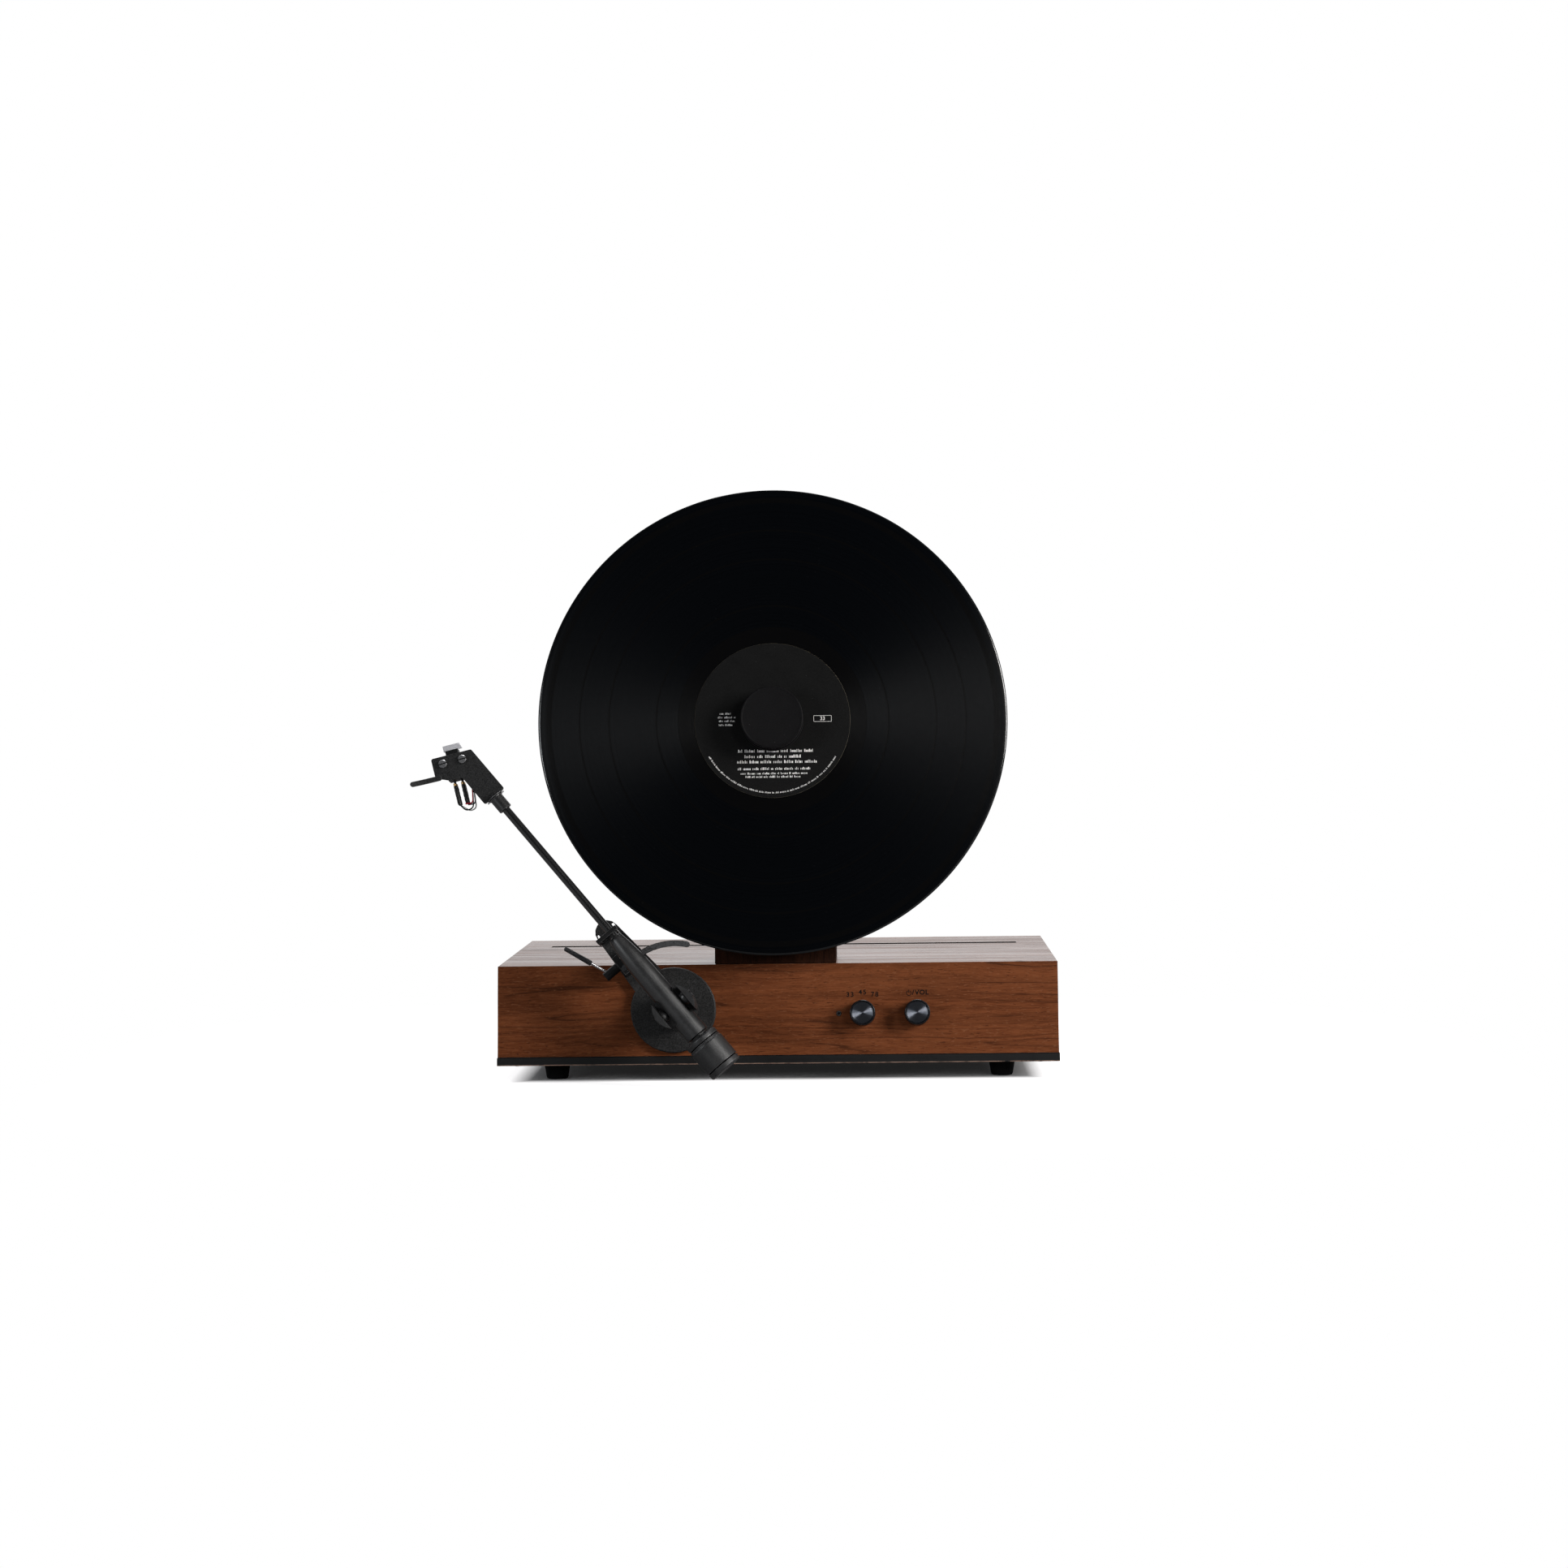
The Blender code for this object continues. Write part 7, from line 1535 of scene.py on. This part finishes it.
class PLAYER_OT_cueing(PieceOperator, bpy.types.Operator):
    """Dress the cueing block and lift bar, and build the lever with its rod and sleeve"""

    bl_idname = "player.cueing"
    bl_label = "Cueing"

    def build(self, sizes):
        """The black shaft carries a bright rod with a dark grey sleeve."""
        dress("cue_block", "moulded_black", 0.0004)
        dress("cue_lift", "grey_rubber", 0.0009, angle=45, segments=5)
        axis = arm @ Matrix.Translation((0, CUE_PLACE, CUE_LEVEL))
        across = axis @ Matrix.Rotation(-math.pi / 2, 4, "Y")
        near = 0.0108
        profile = [(0, near - 0.0060), (0.0015, near - 0.0060), (0.0015, near + GAP), (0.0030, near + GAP),
                   (0.0030, 0.0216), (0, 0.0216)]
        shaft = turned([profile[0]] + eased(profile[1:-1], 0.0003) + [profile[-1]], 48)
        make("cue_shaft", shaft, across, "moulded_black", "lever", "cue_lever")
        sway, rise = math.radians(20), math.radians(24)
        flat = math.cos(rise)
        direction = Vector((-flat * math.sin(sway), flat * math.cos(sway), math.sin(rise)))
        spin = Vector((0, 0, 1)).rotation_difference(direction).to_matrix().to_4x4()
        place = axis @ Matrix.Translation((-0.0182, 0, 0)) @ spin
        rod = [(0, 0.0005), (0.0009, 0.0005), (0.0009, 0.0327), (0.0008, 0.0328), (0, 0.0328)]
        make("cue_rod", turned(rod, 32), place, "steel", "lever")
        low, tip = 0.0328 + GAP * 2 - 0.0189, 0.0328 + GAP + 0.0014
        sleeve = [(0, 0.0328 + GAP), (0.0012, 0.0328 + GAP), (0.0012, low), (0.0015, low), (0.0017, low + 0.0003),
                  (0.0014, tip - 0.0004), (0.0010, tip), (0, tip)]
        make("cue_sleeve", turned(sleeve, 40), place, "sleeve_grey", "lever", "cue_handle")


class PLAYER_OT_stage(bpy.types.Operator):
    """Set the floor, the lamps, the world and the camera"""

    bl_idname = "player.stage"
    bl_label = "Stage"
    bl_options = {"REGISTER", "UNDO"}

    def execute(self, context):
        """Build the stage round the finished object."""
        self.floor()
        self.world(context.scene)
        for name, place, aim, width, height, power, tint in (
            ("key_lamp", (1.77, -1.12, 0.84), (0.02, -0.05, 0.15), 0.55, 0.85, 44.0, (1.0, 0.98, 0.96)),
            ("strip_lamp", (0.95, -1.86, 0.66), (0.0, -0.06, 0.13), 0.30, 0.6, 5.5, (1.0, 1.0, 1.0)),
            ("left_lamp", (-1.60, -1.40, 0.58), (0.02, -0.05, 0.15), 0.36, 0.55, 11.0, (0.93, 0.97, 1.0)),
            ("top_lamp", (0.15, 0.75, 1.80), (0.02, 0.0, 0.1), 1.0, 1.0, 20.0, (1.0, 1.0, 1.0)),
        ):
            self.lamp(name, place, aim, width, height, power, tint)
        self.camera(context.scene)
        return {"FINISHED"}

    def lamp(self, name, place, aim, width, height, power, tint):
        """Hang one soft rectangular lamp."""
        data = bpy.data.lights.new(name, "AREA")
        data.shape, data.size, data.size_y = "RECTANGLE", width, height
        data.energy, data.color = power, tint
        lamp = bpy.data.objects.new(name, data)
        bpy.context.collection.objects.link(lamp)
        lamp.location = place
        lamp.rotation_euler = (Vector(aim) - Vector(place)).to_track_quat("-Z", "Y").to_euler()

    def floor(self):
        """A wide pale floor that shows white and keeps the object's shadow, with painted shade beneath the case."""
        shape = bmesh.new()
        corners = [(-6, -4), (6, -4), (6, 9), (-6, 9)]
        shape.faces.new([shape.verts.new((x, y, 0)) for x, y in corners])
        mesh = bpy.data.meshes.new("floor")
        shape.to_mesh(mesh)
        shape.free()
        floor = bpy.data.objects.new("floor", mesh)
        bpy.context.collection.objects.link(floor)
        mesh.materials.append(self.paper())

    def paper(self):
        """Lit paper with a painted glow that drops to painted shade beneath the case and turns to shadowless white
        away from it.
        """
        look, tree, shader, place = start_material("floor_paper", Specular_IOR_Level=0.0, Roughness=0.9)
        low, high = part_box("bottom_plate")
        middle, half = (low + high) / 2, (high - low) / 2
        off = add(tree, "VectorMath", {"operation": "SUBTRACT"}, place, (middle.x, middle.y, 0)).outputs[0]
        off = add(tree, "VectorMath", {"operation": "ABSOLUTE"}, off).outputs[0]
        off = add(tree, "VectorMath", {"operation": "SUBTRACT"}, off, (half.x, half.y, 0)).outputs[0]
        reach = add(tree, "SeparateXYZ", None, off)
        signed = maths(tree, "MAXIMUM", reach.outputs[0], reach.outputs[1])
        off = add(tree, "VectorMath", {"operation": "MAXIMUM"}, off, (0, 0, 0)).outputs[0]
        away = add(tree, "VectorMath", {"operation": "LENGTH"}, off).outputs["Value"]
        grain = noise(tree, place, 700.0, 2.0)
        tone = mixed(tree, grain, (0.76, 0.755, 0.76), (0.82, 0.815, 0.82))
        tree.links.new(tone, shader.inputs["Base Color"])
        # The glow falls almost to nothing inside the plate's outline: painted shade under the case, painted light just
        # round it
        lift = maths(tree, "ADD", ranged(tree, signed, -0.020, -0.006, 0.012, 0.84),
                     ranged(tree, signed, 0.0, 0.08, 0.0, 0.20))
        painted_glow = add(tree, "Emission", None, (1.0, 0.99, 0.995, 1), lift)
        lit = add(tree, "AddShader", None, shader.outputs[0], painted_glow.outputs[0])
        white = add(tree, "Emission", None, (1, 1, 1, 1), 1.0)
        far = add(tree, "MixShader", None, ranged(tree, away, 0.03, 0.30), lit.outputs[0], white.outputs[0])
        dim = add(tree, "BsdfDiffuse", None, (0.26, 0.26, 0.265, 1))
        path = add(tree, "LightPath")
        seen = add(tree, "MixShader", None, path.outputs["Is Camera Ray"], dim.outputs[0], far.outputs[0])
        tree.links.new(seen.outputs[0], tree.nodes["Material Output"].inputs["Surface"])
        return look

    def world(self, scene):
        """White for the camera, bright behind the object and dark in front of it for reflections."""
        world = bpy.data.worlds.new("studio")
        scene.world = world
        world.use_nodes = True
        tree = world.node_tree
        base = tree.nodes["Background"]
        way = add(tree, "SeparateXYZ", None, add(tree, "TexCoord").outputs["Generated"])
        behind = ranged(tree, way.outputs[1], 0.0, 0.6)
        tone = mixed(tree, behind, (0.035, 0.036, 0.038), (0.95, 0.95, 0.96))
        tree.links.new(tone, base.inputs["Color"])
        base.inputs["Strength"].default_value = 0.9
        white = add(tree, "Background", None, (1, 1, 1, 1), 1.0)
        path = add(tree, "LightPath")
        shown = add(tree, "MixShader", None, path.outputs["Is Camera Ray"], base.outputs[0], white.outputs[0])
        tree.links.new(shown.outputs[0], tree.nodes["World Output"].inputs["Surface"])

    def camera(self, scene):
        """Stand the camera where the photograph was taken from."""
        data = bpy.data.cameras.new("camera")
        data.sensor_width, data.lens = 36.0, 36.0 * 3659.8 / 1932
        data.clip_start, data.clip_end = 0.05, 60
        camera = bpy.data.objects.new("camera", data)
        bpy.context.collection.objects.link(camera)
        yaw, pitch, roll = math.radians(1.71), math.radians(1.88), math.radians(-0.74)
        camera.matrix_world = (
            Matrix.Translation((0.08778, -1.97726, 0.2531))
            @ Matrix.Rotation(yaw, 4, "Z")
            @ Matrix.Rotation(math.pi / 2 - pitch, 4, "X")
            @ Matrix.Rotation(roll, 4, "Z")
        )
        scene.camera = camera
        scene.view_settings.view_transform = "Standard"


class PLAYER_PT_panel(bpy.types.Panel):
    """Lists the player's sizes, colours and build steps."""

    bl_idname = "PLAYER_PT_panel"
    bl_label = "Vertical Record Player"
    bl_space_type = "VIEW_3D"
    bl_region_type = "UI"
    bl_category = "Player"

    def draw(self, context):
        """Show every setting and every operator."""
        for settings in (context.scene.player_sizes, context.scene.player_colours):
            column = self.layout.column(align=True)
            for label in settings.__annotations__:
                column.prop(settings, label)
        column = self.layout.column(align=True)
        for step in STEPS:
            column.operator(step.bl_idname)


STEPS = (
    PLAYER_OT_case, PLAYER_OT_fasteners, PLAYER_OT_feet, PLAYER_OT_post, PLAYER_OT_rear_fittings,
    PLAYER_OT_marks, PLAYER_OT_knobs, PLAYER_OT_record, PLAYER_OT_clamp, PLAYER_OT_drive,
    PLAYER_OT_arm_base, PLAYER_OT_yoke, PLAYER_OT_wand, PLAYER_OT_headshell, PLAYER_OT_cartridge,
    PLAYER_OT_counterweight, PLAYER_OT_cueing, PLAYER_OT_stage,
)
CLASSES = (PlayerSizes, PlayerColours, *STEPS, PLAYER_PT_panel)


def register():
    """Register the classes and hang the settings on the scene."""
    for item in CLASSES:
        bpy.utils.register_class(item)
    bpy.types.Scene.player_sizes = PointerProperty(type=PlayerSizes)
    bpy.types.Scene.player_colours = PointerProperty(type=PlayerColours)


def unregister():
    """Take the settings and the classes away again."""
    del bpy.types.Scene.player_sizes
    del bpy.types.Scene.player_colours
    for item in reversed(CLASSES):
        bpy.utils.unregister_class(item)


def main():
    """Build every piece in order."""
    register()
    make_finishes()
    for step in STEPS:
        area, name = step.bl_idname.split(".")
        getattr(getattr(bpy.ops, area), name)()
    bpy.context.view_layer.update()


if __name__ == "__main__":
    main()
